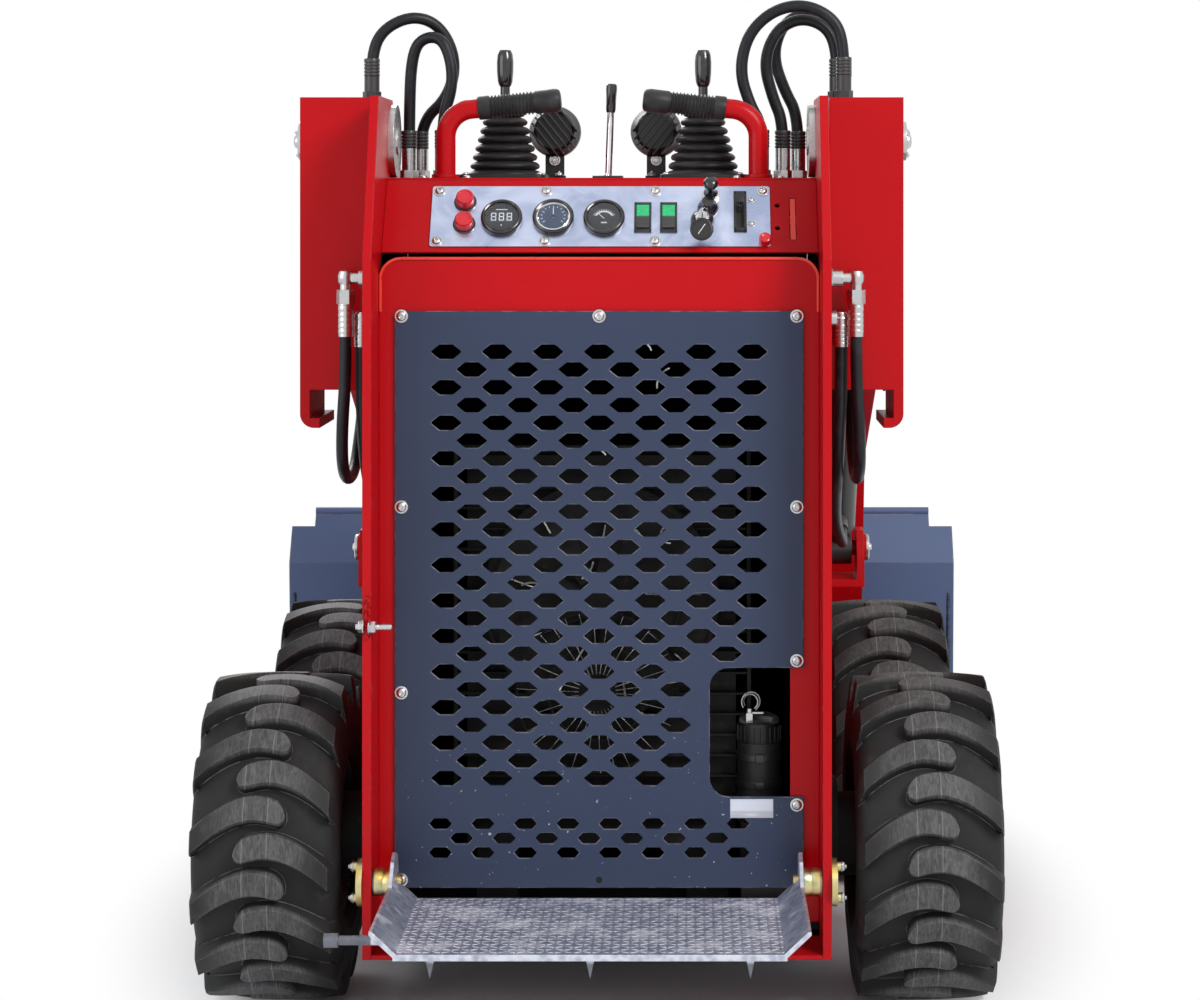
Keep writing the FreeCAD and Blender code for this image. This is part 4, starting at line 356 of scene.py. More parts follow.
def earth_worn_steel():
    """Bucket steel: paint that is scoured off low down and where earth slides over it."""
    finish = Finish("earth_worn_steel")
    tone = finish.noise(4.0, detail=5.0)
    paint = finish.mix(tone, BUCKET_DEEP, BUCKET_PALE)
    low = finish.axes()[2].ramp(0.20, 0.0)
    scoured = (finish.noise(34.0, detail=10.0, stretch=(0.8, 1.4, 1.0)) + low * 0.36).ramp(0.70, 0.92)
    bare = scoured.larger(finish.worn_edge(0.005, 38.0, 0.38, 0.56, detail=6.0))
    steel = finish.mix(finish.noise(30.0, detail=6.0), STEEL_DARK, STEEL_BRIGHT)
    rust = finish.noise(24.0, detail=8.0).ramp(0.60, 0.72)
    steel = finish.mix(rust * 0.6, steel, BUCKET_RUST)
    body = finish.dusty(finish.mix(bare, paint, steel), 0.25)
    lines = finish.noise(50.0, detail=4.0, stretch=(12.0, 1.0, 1.0))
    finish.relief(lines * 0.5 + finish.noise(120.0, detail=4.0), 0.22, 0.0008, round_edge=0.0025)
    return finish.out(Base_Color=body, Roughness=0.40 + 0.2 * tone, Metallic=bare * 0.85)


def worn_edge_steel():
    """The bare steel of the cutting edge, ground bright along its lip."""
    finish = Finish("worn_edge_steel", Metallic=0.95)
    brushed = finish.noise(40.0, detail=6.0, stretch=(0.6, 9.0, 9.0))
    rust = finish.noise(21.0, detail=8.0).ramp(0.58, 0.70)
    body = finish.mix(rust * 0.7, finish.mix(brushed, EDGE_DARK, EDGE_BRIGHT), EDGE_RUST)
    finish.relief(brushed, 0.3, 0.0008, round_edge=0.002)
    return finish.out(Base_Color=body, Roughness=0.30 + 0.35 * rust + 0.1 * brushed)


BOARD_UNDERSIDE, HANDLE_ROOT = (0.172, 0.166), (-0.2775, -0.2795)  # where the footboard's zinc turns darker


def galvanised():
    """Hot-dip zinc: pale spangle, white bloom and shoe scuffs; darker on the ribs and on the fold handle."""
    finish = Finish("galvanised")
    body = finish.mix(finish.cells(90.0).ramp(0.1, 0.8), SPANGLE_DARK, SPANGLE_BRIGHT)
    bloom = finish.noise(13.0, detail=8.0).ramp(0.48, 0.70)
    body = finish.mix(bloom * 0.5, body, ZINC_BLOOM)
    dirt = finish.noise(26.0, detail=9.0).ramp(0.54, 0.70)
    body = finish.mix(dirt * 0.5, body, ZINC_DIRT)
    body = finish.mix(finish.worn_edge(0.002, 80.0, 0.40, 0.60) * 0.8, body, ZINC_RUBBED)
    across, _, up = finish.axes()
    darker_zinc = up.ramp(*BOARD_UNDERSIDE).larger(across.ramp(*HANDLE_ROOT))
    body = finish.mix(darker_zinc * 0.85, body, ZINC_DARKER)
    finish.relief(finish.noise(150.0, detail=5.0), 0.2, 0.0008, round_edge=0.0015)
    return finish.out(Base_Color=body, Roughness=0.34 + 0.24 * bloom + 0.2 * dirt,
                      Metallic=0.8 - 0.5 * dirt)


def zinc_plate(name="zinc_plate"):
    """Bright zinc plating, hazed and fingered."""
    finish = Finish(name, Metallic=1.0)
    haze = finish.noise(55.0, detail=6.0)
    stain = finish.noise(120.0, detail=6.0).ramp(0.60, 0.72)
    body = finish.mix(stain * 0.5, finish.mix(haze, PLATED, PLATED_HAZE), PLATED_STAIN)
    finish.relief(finish.noise(500.0, detail=3.0), 0.12, 0.0004, round_edge=0.0008)
    return finish.out(Base_Color=body, Roughness=0.2 + 0.16 * haze + 0.3 * stain)


def yellow_zinc():
    """Yellow passivated zinc with an uneven rainbow film."""
    finish = Finish("yellow_zinc", Metallic=1.0)
    film = finish.noise(38.0, detail=4.0)
    body = finish.mix(film.ramp(0.35, 0.6), YELLOW_DEEP, YELLOW_PALE)
    body = finish.mix(film.ramp(0.58, 0.72), body, YELLOW_GREEN)
    finish.relief(finish.noise(400.0, detail=3.0), 0.12, 0.0004, round_edge=0.0008)
    return finish.out(Base_Color=body, Roughness=0.24 + 0.2 * finish.noise(90.0))


def panel_aluminium():
    """Milled aluminium sheet, tinted blue in cloudy patches as a painted reflection of the sky, with wiped
    marks and fine brushing.
    """
    finish = Finish("panel_aluminium", Metallic=1.0)
    sheen_cloud = finish.noise(11.0, detail=5.0, distortion=1.2)
    smear = finish.noise(34.0, detail=6.0, stretch=(0.6, 3.0, 3.0)).ramp(0.55, 0.75)
    body = finish.mix(sheen_cloud.ramp(0.3, 0.7), PANEL_SKY_DEEP, PANEL_SKY_PALE)
    body = finish.mix(smear * 0.35, body, PANEL_SMEAR)
    brushed = finish.noise(240.0, detail=2.0, stretch=(0.05, 1.0, 1.0))
    finish.relief(brushed, 0.10, 0.0004, round_edge=0.0008)
    return finish.out(Base_Color=body, Roughness=0.22 + 0.14 * sheen_cloud + 0.14 * smear)


def chrome_rod():
    """Hard chrome with an oil film."""
    finish = Finish("chrome_rod", Metallic=1.0)
    oil = finish.noise(30.0, detail=5.0).ramp(0.5, 0.72)
    finish.relief(finish.noise(600.0, detail=2.0), 0.05, 0.0003)
    return finish.out(Base_Color=finish.mix(oil * 0.5, CHROME, CHROME_OILY), Roughness=0.07 + 0.16 * oil)


def grey_pair(tone, deep, pale, blue):
    """A deep and a pale grey around a tone, both a little blue."""
    return (tone * deep, tone * deep, tone * (deep + blue)), (tone * pale, tone * pale, tone * (pale + 0.1))


def moulded_black(name="moulded_black", tone=0.014, gloss=0.38):
    """Black moulded plastic with a fine spark texture and dust in its corners."""
    finish = Finish(name, Specular_IOR_Level=0.35)
    patch = finish.noise(18.0, detail=5.0)
    body = finish.dusty(finish.mix(patch, *grey_pair(tone, 1.0, 2.2, 0.05)), 0.18)
    finish.relief(finish.noise(900.0, detail=2.0), 0.12, 0.0004, round_edge=0.0008)
    return finish.out(Base_Color=body, Roughness=gloss + 0.16 * patch)


def gloss_black():
    """Polished black knobs and bezels with fingermarks."""
    finish = Finish("gloss_black", Coat_Weight=0.5, Coat_Roughness=0.06)
    marks = finish.noise(80.0, detail=5.0).ramp(0.45, 0.75)
    finish.relief(finish.noise(300.0, detail=2.0), 0.04, 0.0003)
    return finish.out(Base_Color=finish.mix(marks, POLISHED_DEEP, POLISHED_MARKED),
                      Roughness=0.16 + 0.22 * marks)


def soft_rubber(name, tone):
    """Black rubber of grips and bellows, with a faint grey bloom."""
    finish = Finish(name, Sheen_Weight=0.06, Sheen_Roughness=0.5, Specular_IOR_Level=0.30)
    bloom = finish.noise(32.0, detail=7.0).ramp(0.42, 0.78)
    body = finish.dusty(finish.mix(bloom, *grey_pair(tone, 0.7, 2.0, 0.1)), 0.2)
    finish.relief(finish.noise(380.0, detail=3.0), 0.16, 0.0005)
    return finish.out(Base_Color=body, Roughness=0.44 + 0.2 * bloom)


def hose_cover():
    """Hydraulic hose cover: wrapped rubber with the faint weave of its curing tape."""
    finish = Finish("hose_cover", Specular_IOR_Level=0.28)
    rubbed = finish.noise(26.0, detail=7.0).ramp(0.52, 0.78)
    body = finish.dusty(finish.mix(rubbed, HOSE_DEEP, HOSE_RUBBED), 0.15)
    finish.relief(finish.noise(700.0, detail=2.0) * 0.6 + finish.cells(520.0) * 0.4, 0.22, 0.0006)
    return finish.out(Base_Color=body, Roughness=0.40 + 0.2 * rubbed)


LUG_TOP_EDGE, LUG_TOP = 0.214, 0.222  # radius over which the lug tops begin
LUG_PALE_FULL_X, LUG_PALE_NONE_X = 0.04, 0.085  # half widths between which the pale tops, part scuffs and part painted light, fade out
MOULD_LINES, MOULD_LINE_EDGE, MOULD_LINE_HALF = (-0.022, 0.011), 0.0003, 0.0012
SOIL_FROM, SOIL_FULL = 0.17, 0.2  # radius of the sidewall where soil begins, and where it is full


def tyre_rubber():
    """Tyre rubber: grey lug tops, part scuffs and part painted light, with mould lines; dark dusty grooves,
    duller sidewalls.
    """
    finish = Finish("tyre_rubber", Specular_IOR_Level=0.35)
    x, y, z = finish.axes()
    radius = (y * y + z * z) ** 0.5
    top = radius.ramp(LUG_TOP_EDGE, LUG_TOP)
    patches = finish.noise(17.0, detail=8.0)
    streaks = finish.noise(55.0, detail=5.0, stretch=(4.0, 1.0, 1.0), distortion=1.5)
    # The pale lug tops are partly scuffs and partly painted light that falls on them.
    scuff_and_light = finish.mix(streaks.ramp(0.3, 0.75), LUG_DEEP, LUG_PALE)
    scuffed_lit_top = top * abs(x).ramp(LUG_PALE_NONE_X, LUG_PALE_FULL_X) * (0.55 + 0.45 * patches.ramp(0.3, 0.65))
    body = finish.mix(scuffed_lit_top, finish.mix(patches, TYRE_DEEP, TYRE_PALE), scuff_and_light)
    worn = finish.worn_edge(0.003, 60.0, 0.38, 0.55, sharp=(0.03, 0.3))
    body = finish.mix(worn * 0.6, body, TYRE_WORN)
    soil = finish.noise(30.0, detail=8.0).ramp(0.58, 0.75) * radius.ramp(SOIL_FROM, SOIL_FULL)
    body = finish.mix(soil * 0.25, body, TYRE_SOIL)
    lines = 0.0
    for place in MOULD_LINES:
        lines = abs(x - place).ramp(MOULD_LINE_HALF, MOULD_LINE_EDGE) + lines
    grain = finish.noise(260.0, detail=4.0) * 0.5 + streaks * 0.5
    finish.relief(grain + lines * 1.4, 0.35, 0.0009, round_edge=0.002)
    body = finish.mix((lines * top * 0.35).clamp(), body, MOULD_GREY)
    return finish.out(Base_Color=body, Roughness=0.62 + 0.2 * patches - 0.14 * top)


def cylinder_black():
    """Satin black enamel of the cylinders, with oily dust."""
    finish = Finish("cylinder_black", Coat_Weight=0.2, Coat_Roughness=0.2)
    patch = finish.noise(20.0, detail=6.0)
    body = finish.dusty(finish.mix(patch, ENAMEL_DEEP, ENAMEL_PALE), 0.5)
    chips = finish.worn_edge(0.002, 90.0, 0.56, 0.64)
    finish.relief(finish.noise(240.0, detail=3.0), 0.12, 0.0005, round_edge=0.0015)
    return finish.out(Base_Color=finish.mix(chips, body, ENAMEL_CHIPPED), Roughness=0.28 + 0.25 * patch,
                      Metallic=chips * 0.7)


def cast_iron():
    """Dark cast and sheet parts of the engine, with an oil film and rust."""
    finish = Finish("cast_iron", Specular_IOR_Level=0.25)
    patch = finish.noise(25.0, detail=7.0)
    rust = finish.noise(60.0, detail=6.0).ramp(0.58, 0.7)
    body = finish.mix(rust * 0.3, finish.mix(patch, IRON_DEEP, IRON_PALE), IRON_RUST)
    finish.relief(finish.noise(330.0, detail=4.0), 0.35, 0.0008, round_edge=0.001)
    return finish.out(Base_Color=body, Roughness=0.46 + 0.25 * patch, Metallic=0.35 * patch)


def label_film():
    """Blank white label film, slightly aged, with a grey rim of dirt."""
    finish = Finish("label_film", Coat_Weight=0.25, Coat_Roughness=0.25)
    aged = finish.noise(40.0, detail=4.0)
    dirt = (finish.edge(0.004, 0.01, 0.2) * 0.5).clamp()
    body = finish.mix(dirt, finish.mix(aged, FILM_CLEAN, FILM_AGED), FILM_DIRT)
    finish.relief(finish.noise(200.0, detail=2.0), 0.08, 0.0003)
    return finish.out(Base_Color=body, Roughness=0.36 + 0.1 * aged)


def red_plastic(name="red_plastic", deep=PLASTIC_DEEP, pale=PLASTIC_PALE):
    """Glossy red plastic, or red paint made brighter as painted light, with small dull marks."""
    finish = Finish(name, Coat_Weight=0.4, Coat_Roughness=0.1)
    tone = finish.noise(60.0, detail=4.0)
    marks = finish.noise(150.0, detail=5.0).ramp(0.62, 0.72)
    body = finish.mix(marks * 0.4, finish.mix(tone, deep, pale), PLASTIC_DULL)
    finish.relief(finish.noise(300.0, detail=2.0), 0.06, 0.0003, round_edge=0.0008)
    return finish.out(Base_Color=body, Roughness=0.24 + 0.2 * tone)


def lit_green():
    """The lens of a lit rocker."""
    finish = Finish("lit_green", Coat_Weight=0.4, Coat_Roughness=0.1)
    tone = finish.noise(220.0, detail=4.0)
    body = finish.mix(tone, GREEN_DEEP, GREEN_PALE)
    finish.relief(finish.noise(500.0, detail=2.0), 0.08, 0.0003)
    return finish.out(Base_Color=body, Roughness=0.2 + 0.15 * tone, Emission_Strength=0.35,
                      Emission_Color=body)


def dial_ink(name, colour, glow=0.0):
    """Print or segments on a dial; a glow, where given, is painted light that makes them shine a little."""
    finish = Finish(name)
    tone = finish.noise(300.0, detail=3.0)
    body = finish.mix(tone, colour, tuple(part * 0.8 for part in colour))
    return finish.out(Base_Color=body, Roughness=0.4 + 0.2 * tone, Emission_Color=body,
                      Emission_Strength=glow)


def dial_face(name, colour):
    """A dial's satin sheet, or a lamp's pale lens."""
    finish = Finish(name)
    tone = finish.noise(90.0, detail=4.0)
    body = finish.mix(tone, colour, tuple(part * 1.7 for part in colour))
    return finish.out(Base_Color=body, Roughness=0.35 + 0.2 * tone)


def gauge_glass():
    """Clear glass with wiped smears."""
    finish = Finish("gauge_glass", Transmission_Weight=1.0, IOR=1.3, Specular_IOR_Level=0.6)
    smear = finish.noise(70.0, detail=5.0)
    finish.relief(finish.noise(30.0, detail=1.0), 0.05, 0.0003)
    return finish.out(Base_Color=finish.mix(smear, GLASS_CLEAR, GLASS_SMEARED),
                      Roughness=0.02 + 0.05 * smear)


# ---- mesh makers
CRISP_ANGLE = 35.0  # edges that turn by more degrees than this stay sharp


def add_mesh(name, bm, material, smooth_angle=CRISP_ANGLE):
    """Closes a bmesh into an object; edges sharper than the angle stay crisp."""
    bmesh.ops.recalc_face_normals(bm, faces=bm.faces)
    for face in bm.faces:
        face.smooth = True
    limit = math.radians(smooth_angle)
    for edge in bm.edges:
        if len(edge.link_faces) == 2 and edge.calc_face_angle(0.0) > limit:
            edge.smooth = False
    data = bpy.data.meshes.new(name)
    bm.to_mesh(data)
    bm.free()
    for one in material if isinstance(material, (list, tuple)) else [material]:
        data.materials.append(one)
    made = bpy.data.objects.new(name, data)
    bpy.context.collection.objects.link(made)
    return made


def joined(name, pieces, material, smooth_angle=CRISP_ANGLE):
    """One object from several bmeshes."""
    whole = bmesh.new()
    for piece in pieces:
        data = bpy.data.meshes.new("piece")
        piece.to_mesh(data)
        piece.free()
        whole.from_mesh(data)
        bpy.data.meshes.remove(data)
    return add_mesh(name, whole, material, smooth_angle)


def paint(material, *names):
    """Gives CAD nodes their finish."""
    for name in names:
        CAD[name].data.materials.clear()
        CAD[name].data.materials.append(material)


def shift(place):
    """A move by a vector."""
    return Matrix.Translation(place)


def spin(angle, axis):
    """A turn about an axis of the frame, in radians."""
    return Matrix.Rotation(angle, 4, axis)


def moved(bm, matrix):
    """Moves a mesh by a matrix."""
    bm.transform(matrix)
    return bm


def tinted(bm, slot):
    """Gives all faces one of the object's materials."""
    for face in bm.faces:
        face.material_index = slot
    return bm


def turned_to(axis):
    """A rotation that takes +Z to an axis."""
    return Vector((0, 0, 1)).rotation_difference(Vector(axis).normalized()).to_matrix().to_4x4()


def lathe(profile, place=(0, 0, 0), axis=(0, 0, 1), steps=32, slot=0):
    """Turns a list of (radius, height) about an axis; a list that comes back to its start is a plain ring."""
    bm = bmesh.new()
    rings = []
    loop = profile[0] == profile[-1]
    for radius, height in profile[:-1] if loop else profile:
        if radius < 1e-6:
            rings.append([bm.verts.new((0, 0, height))])
            continue
        ring = []
        for i in range(steps):
            a = 2 * math.pi * i / steps
            ring.append(bm.verts.new((radius * math.cos(a), radius * math.sin(a), height)))
        rings.append(ring)
    for low, high in zip(rings, rings[1:] + rings[:1] if loop else rings[1:]):
        for i in range(steps):
            j = (i + 1) % steps
            corners = [low[i % len(low)], low[j % len(low)], high[j % len(high)], high[i % len(high)]]
            corners = list(dict.fromkeys(corners))
            if len(corners) > 2:
                bm.faces.new(corners)
    for ring in () if loop else (rings[0], rings[-1]):
        if len(ring) > 1:
            bm.faces.new(ring)
    return moved(tinted(bm, slot), shift(place) @ turned_to(axis))


def disc(radius, thick, middle=None):
    """Section of a disc, whose middle may lie at another height than its rim."""
    return [(radius, 0), (radius, thick), (0, thick if middle is None else middle)]


def hoop(inner, outer, low, high):
    """Section of a plain ring."""
    return [(inner, low), (outer, low), (outer, high), (inner, high), (inner, low)]


def prism(outline, depth, place=(0, 0, 0), axis=(0, 0, 1), turn=0.0, chamfer=0.0, slot=0):
    """Extrudes an outline of (x, y) along an axis, with an optional chamfer on its far face."""
    bm = bmesh.new()
    low = [bm.verts.new((x, y, 0)) for x, y in outline]
    top = depth - chamfer
    high = [bm.verts.new((x, y, top)) for x, y in outline]
    count = len(outline)
    layers = [low, high]
    if chamfer:
        cx = sum(p[0] for p in outline) / count
        cy = sum(p[1] for p in outline) / count
        reach = max(math.hypot(x - cx, y - cy) for x, y in outline)
        keep = 1 - chamfer / reach
        layers.append([bm.verts.new((cx + (x - cx) * keep, cy + (y - cy) * keep, depth)) for x, y in outline])
    for a, b in zip(layers, layers[1:]):
        for i in range(count):
            j = (i + 1) % count
            bm.faces.new((a[i], a[j], b[j], b[i]))
    bm.faces.new(low[::-1])
    bm.faces.new(layers[-1])
    stand = shift(place) @ turned_to(axis) @ spin(turn, "Z")
    return moved(tinted(bm, slot), stand)


def ring_of(count, radius, start=0.0):
    """Points spaced evenly round a circle."""
    angles = [start + 2 * math.pi * i / count for i in range(count)]
    return [(radius * math.cos(a), radius * math.sin(a)) for a in angles]


def block(low, high, slot=0, bevel=0.0):
    """A box with broken edges."""
    bm = bmesh.new()
    bmesh.ops.create_cube(bm, size=1.0)
    low, high = Vector(low), Vector(high)
    size = high - low
    bm.transform(shift((low + high) / 2) @ Matrix.Diagonal((*size, 1)))
    if bevel:
        bmesh.ops.bevel(bm, geom=bm.edges[:], offset=bevel, segments=2, affect="EDGES", profile=0.6)
    return tinted(bm, slot)


def pad(size, slot=0, bevel=0.0, middle=(0.0, 0.0), foot=0.0):
    """A block of a width, length and thickness, centred over a point."""
    (wide, long, thick), (x, y) = size, middle
    return block((x - wide / 2, y - long / 2, foot), (x + wide / 2, y + long / 2, foot + thick), slot, bevel)


def surround(half_wide, half_long, side_bar, end_bar, high, slot, bevel):
    """Four bars round an oblong."""
    corners = (((-half_wide, -half_long), (-half_wide + side_bar, half_long)),
               ((half_wide - side_bar, -half_long), (half_wide, half_long)),
               ((-half_wide, -half_long), (half_wide, -half_long + end_bar)),
               ((-half_wide, half_long - end_bar), (half_wide, half_long)))
    return [block((*low, 0), (*far, high), slot, bevel) for low, far in corners]


def band(inner, outer, start, end, height, depth, steps=16, slot=0):
    """A flat ring sector, angles in degrees."""
    angles = [math.radians(start + (end - start) * i / steps) for i in range(steps + 1)]
    loop = [(outer * math.cos(a), outer * math.sin(a)) for a in angles]
    loop += [(inner * math.cos(a), inner * math.sin(a)) for a in reversed(angles)]
    bm = bmesh.new()
    count = len(angles)
    rows = [[bm.verts.new((x, y, z)) for x, y in loop] for z in (height, height + depth)]
    for i in range(count - 1):
        j = 2 * count - 1 - i
        for row in rows:
            bm.faces.new((row[i], row[i + 1], row[j - 1], row[j]))
    for i in range(2 * count):
        j = (i + 1) % (2 * count)
        bm.faces.new((rows[0][i], rows[0][j], rows[1][j], rows[1][i]))
    return tinted(bm, slot)


def spline_path(points):
    """The smooth line that a hose follows through its route."""
    data = bpy.data.curves.new("route", "CURVE")
    data.dimensions = "3D"
    data.resolution_u = 10
    spline = data.splines.new("NURBS")
    spline.points.add(len(points) - 1)
    for point, place in zip(spline.points, points):
        point.co = (*place, 1)
    spline.order_u = 3
    spline.use_endpoint_u = True
    return data


def tube(name, points, radius, material):
    """A hose along a smooth route, and the points that it follows."""
    data = spline_path(points)
    route = bpy.data.objects.new("route", data)
    bpy.context.collection.objects.link(route)
    bpy.context.view_layer.update()
    line = bpy.data.meshes.new_from_object(route)
    path = [vertex.co.copy() for vertex in line.vertices]
    data.bevel_depth = radius
    data.bevel_resolution = 5
    data.use_fill_caps = True
    bpy.context.view_layer.update()
    mesh = bpy.data.meshes.new_from_object(route.evaluated_get(bpy.context.evaluated_depsgraph_get()))
    bpy.data.objects.remove(route)
    mesh.name = name
    mesh.materials.clear()
    mesh.materials.append(material)
    for face in mesh.polygons:
        face.use_smooth = len(face.vertices) == 4
    made = bpy.data.objects.new(name, mesh)
    bpy.context.collection.objects.link(made)
    return made, path


# ---- hoses
REAR_DATUM = 0.735  # places are laid out from the lower rear corner of the side plates
HOSE_R = 0.0085
SIDES = ((1, "right"), (-1, "left"))
UPPER_LIFT_ROUTE = [(0.358, 0.158, 0.92895), (0.358, 0.158, 0.872), (0.362, 0.150, 0.800),
                    (0.364, 0.168, 0.744), (0.364, 0.232, 0.718), (0.364, 0.310, 0.728),
                    (0.364, 0.368, 0.778), (0.364, 0.41673, 0.82704), (0.364, 0.4481, 0.8484)]
LOWER_LIFT_ROUTE = [(0.338, 0.173, 0.91395), (0.338, 0.173, 0.856), (0.335, 0.166, 0.798),
                    (0.334, 0.192, 0.744), (0.335, 0.262, 0.694), (0.340, 0.358, 0.650),
                    (0.350, 0.452, 0.618), (0.360, 0.534, 0.594), (0.364, 0.5878, 0.58299),
                    (0.364, 0.61586, 0.60211)]
ARM_ROUTES = {
    "hose_arm_right_a": [(0.346, 0.252, 1.30005), (0.346, 0.252, 1.346), (0.332, 0.253, 1.382),
                         (0.290, 0.255, 1.403), (0.244, 0.257, 1.394), (0.208, 0.258, 1.360),
                         (0.196, 0.259, 1.306), (0.212, 0.261, 1.256), (0.228, 0.262, 1.230),
                         (0.228, 0.262, 1.19605)],
    "hose_arm_right_b": [(0.338, 0.284, 1.30005), (0.338, 0.284, 1.340), (0.322, 0.285, 1.374),
                         (0.284, 0.288, 1.386), (0.248, 0.292, 1.366), (0.232, 0.296, 1.320),
                         (0.246, 0.301, 1.268), (0.260, 0.302, 1.236), (0.260, 0.302, 1.19605)],
    "hose_arm_right_c": [(0.350, 0.315, 1.30005), (0.350, 0.315, 1.344), (0.336, 0.317, 1.382),
                         (0.300, 0.322, 1.398), (0.262, 0.328, 1.382), (0.246, 0.334, 1.334),
                         (0.264, 0.341, 1.282), (0.284, 0.342, 1.246), (0.284, 0.342, 1.19605)],
    "hose_arm_left": [(-0.337, 0.290, 1.30005), (-0.337, 0.290, 1.338), (-0.318, 0.291, 1.372),
                      (-0.276, 0.299, 1.390), (-0.238, 0.312, 1.374), (-0.217, 0.322, 1.324),
                      (-0.230, 0.332, 1.272), (-0.272, 0.350, 1.236), (-0.272, 0.350, 1.19605)],
}
DECK_ROUTES = {
    "hose_deck_left": [(-0.285, 0.312, 1.19605), (-0.285, 0.312, 1.256), (-0.281, 0.303, 1.326),
                       (-0.268, 0.298, 1.356), (-0.236, 0.289, 1.358), (-0.221, 0.285, 1.322),
                       (-0.220, 0.284, 1.282), (-0.234, 0.284, 1.240), (-0.234, 0.284, 1.19605)],
}


def in_frame(point, side=1):
    """A route's point in the frame, mirrored for the left side."""
    x, y, z = point
    return (side * x, y - REAR_DATUM, z)


def hose(name, node, route, material, far_body=None):
    """A hose on the chassis; if its far end moves with another body, it is left unattached, with its place
    baked into its mesh.
    """
    made, path = tube(name, route, HOSE_R, material)
    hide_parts(node)
    if far_body:
        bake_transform(made)
    else:
        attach(made, "root")


def all_hoses(material):
    """The soft hoses of the lift cylinders, the arms and the deck."""
    for side, word in SIDES:
        for kind, route in (("upper", UPPER_LIFT_ROUTE), ("lower", LOWER_LIFT_ROUTE)):
            points = [in_frame(p, side) for p in route]
            hose(f"{kind}_lift_line_{word}", f"hose_{kind}_lift_{word}", points,
                 material, f"lift_cylinder_{word}")
    for node, route in ARM_ROUTES.items():
        points = [in_frame(p) for p in reversed(route)]
        hose(node.replace("hose_arm", "arm_line"), node, points, material, "lift_arms")
    for node, route in DECK_ROUTES.items():
        points = [in_frame(p) for p in route]
        hose(node.replace("hose_deck", "deck_line"), node, points, material)


# ---- tyres
LUGS_A_SIDE = 14
LUG_HALF_WIDTH, LUG_FLARE, LUG_CHAMFER = 0.0165, 0.0032, 0.0020
LUG_INNER_END, SHOULDER_X = -0.034, 0.0915
LUG_CREST, LUG_SWEEP, LUG_DROOP = 0.34, 0.043, 0.011  # highest place along a lug, and its fall to each end
CROWN_SHARE = 0.80  # share of a lug's length that lies on the crown
TREAD_R, CROWN_FALL = 0.2250, 0.0052  # over the lugs, and their fall to the shoulder
GROOVE_R, GROOVE_FALL = 0.2035, 0.0050
SHOULDER_OUT, SHOULDER_DROP, SHOULDER_TRAIL = 0.0082, 0.052, 0.05
FOOT_R, FOOT_DROP, FOOT_IN, FOOT_OUT = 0.1985, 0.034, 0.004, 0.0095  # the lug's root down the shoulder
BOW, SHOULDER_SPREAD, SHOULDER_BEND = 1.8, 0.7, 1.25  # powers of the lug's curves
LUG_ROOT, LUG_THINNEST, MEAN_R = 0.002, 0.0012, 0.215
ROUND_END = [0.0, 0.012, 0.035, 0.07, 0.115, 0.17]  # shares along a lug where its round end is cut
DOWN_SHOULDER = [0.84, 0.88, 0.92, 0.96, 1.0]
CROWN_CUTS = 10
BEAD_INSIDE, CARCASS_STEPS = [(0.106, -0.076), (0.106, 0.076)], 112
CARCASS = [(0.076, 0.1075), (0.087, 0.1095), (0.0925, 0.1145), (0.0935, 0.1180), (0.0948, 0.1195),
           (0.0960, 0.1270), (0.0972, 0.1285), (0.0985, 0.1300), (0.0990, 0.1420), (0.0994, 0.1440),
           (0.0999, 0.1455), (0.0999, 0.1600), (0.0990, 0.1720), (0.0965, 0.1830), (0.0910, 0.1930),
           (0.0800, 0.1995), (0.0550, 0.2035), (0.0250, 0.2052), (0.0, 0.2056)]


def carcass():
    """The tyre's body without its lugs, turned from its section."""
    half = [(radius, x) for x, radius in CARCASS]
    section = half + [(radius, -x) for radius, x in half[-2::-1]]
    return lathe(section + BEAD_INSIDE + section[:1], axis=(1, 0, 0), steps=CARCASS_STEPS)


def lug_line(share):
    """Place of a lug's middle at a share of its length: across, top radius, floor radius, trail, fullness."""
    reach = SHOULDER_X - LUG_INNER_END
    if share <= CROWN_SHARE:
        x = floor_x = LUG_INNER_END + reach * share / CROWN_SHARE
        top = TREAD_R - CROWN_FALL * (x / SHOULDER_X) ** 2
        floor = GROOVE_R - GROOVE_FALL * (abs(x) / SHOULDER_X) ** 3
    else:
        down = (share - CROWN_SHARE) / (1 - CROWN_SHARE)
        x = SHOULDER_X + SHOULDER_OUT * down ** SHOULDER_SPREAD
        top = TREAD_R - CROWN_FALL - SHOULDER_DROP * down ** SHOULDER_BEND
        floor = FOOT_R - FOOT_DROP * down
        floor_x = SHOULDER_X - FOOT_IN + FOOT_OUT * down
    along = min(1.0, (x - LUG_INNER_END) / reach)
    outward = along > LUG_CREST
    beyond = abs(along - LUG_CREST) / (1 - LUG_CREST if outward else LUG_CREST)
    fall = LUG_SWEEP if outward else LUG_DROOP
    trail = fall * beyond ** BOW + max(0.0, share - CROWN_SHARE) * SHOULDER_TRAIL
    from_end = min(LUG_HALF_WIDTH, max(0.0, x - LUG_INNER_END))
    round_off = math.sqrt(1 - (1 - from_end / LUG_HALF_WIDTH) ** 2)
    slope = (BOW - 1) * fall / reach * beyond
    return x, top, floor_x, floor, trail, round_off * math.sqrt(1 + slope ** 2)


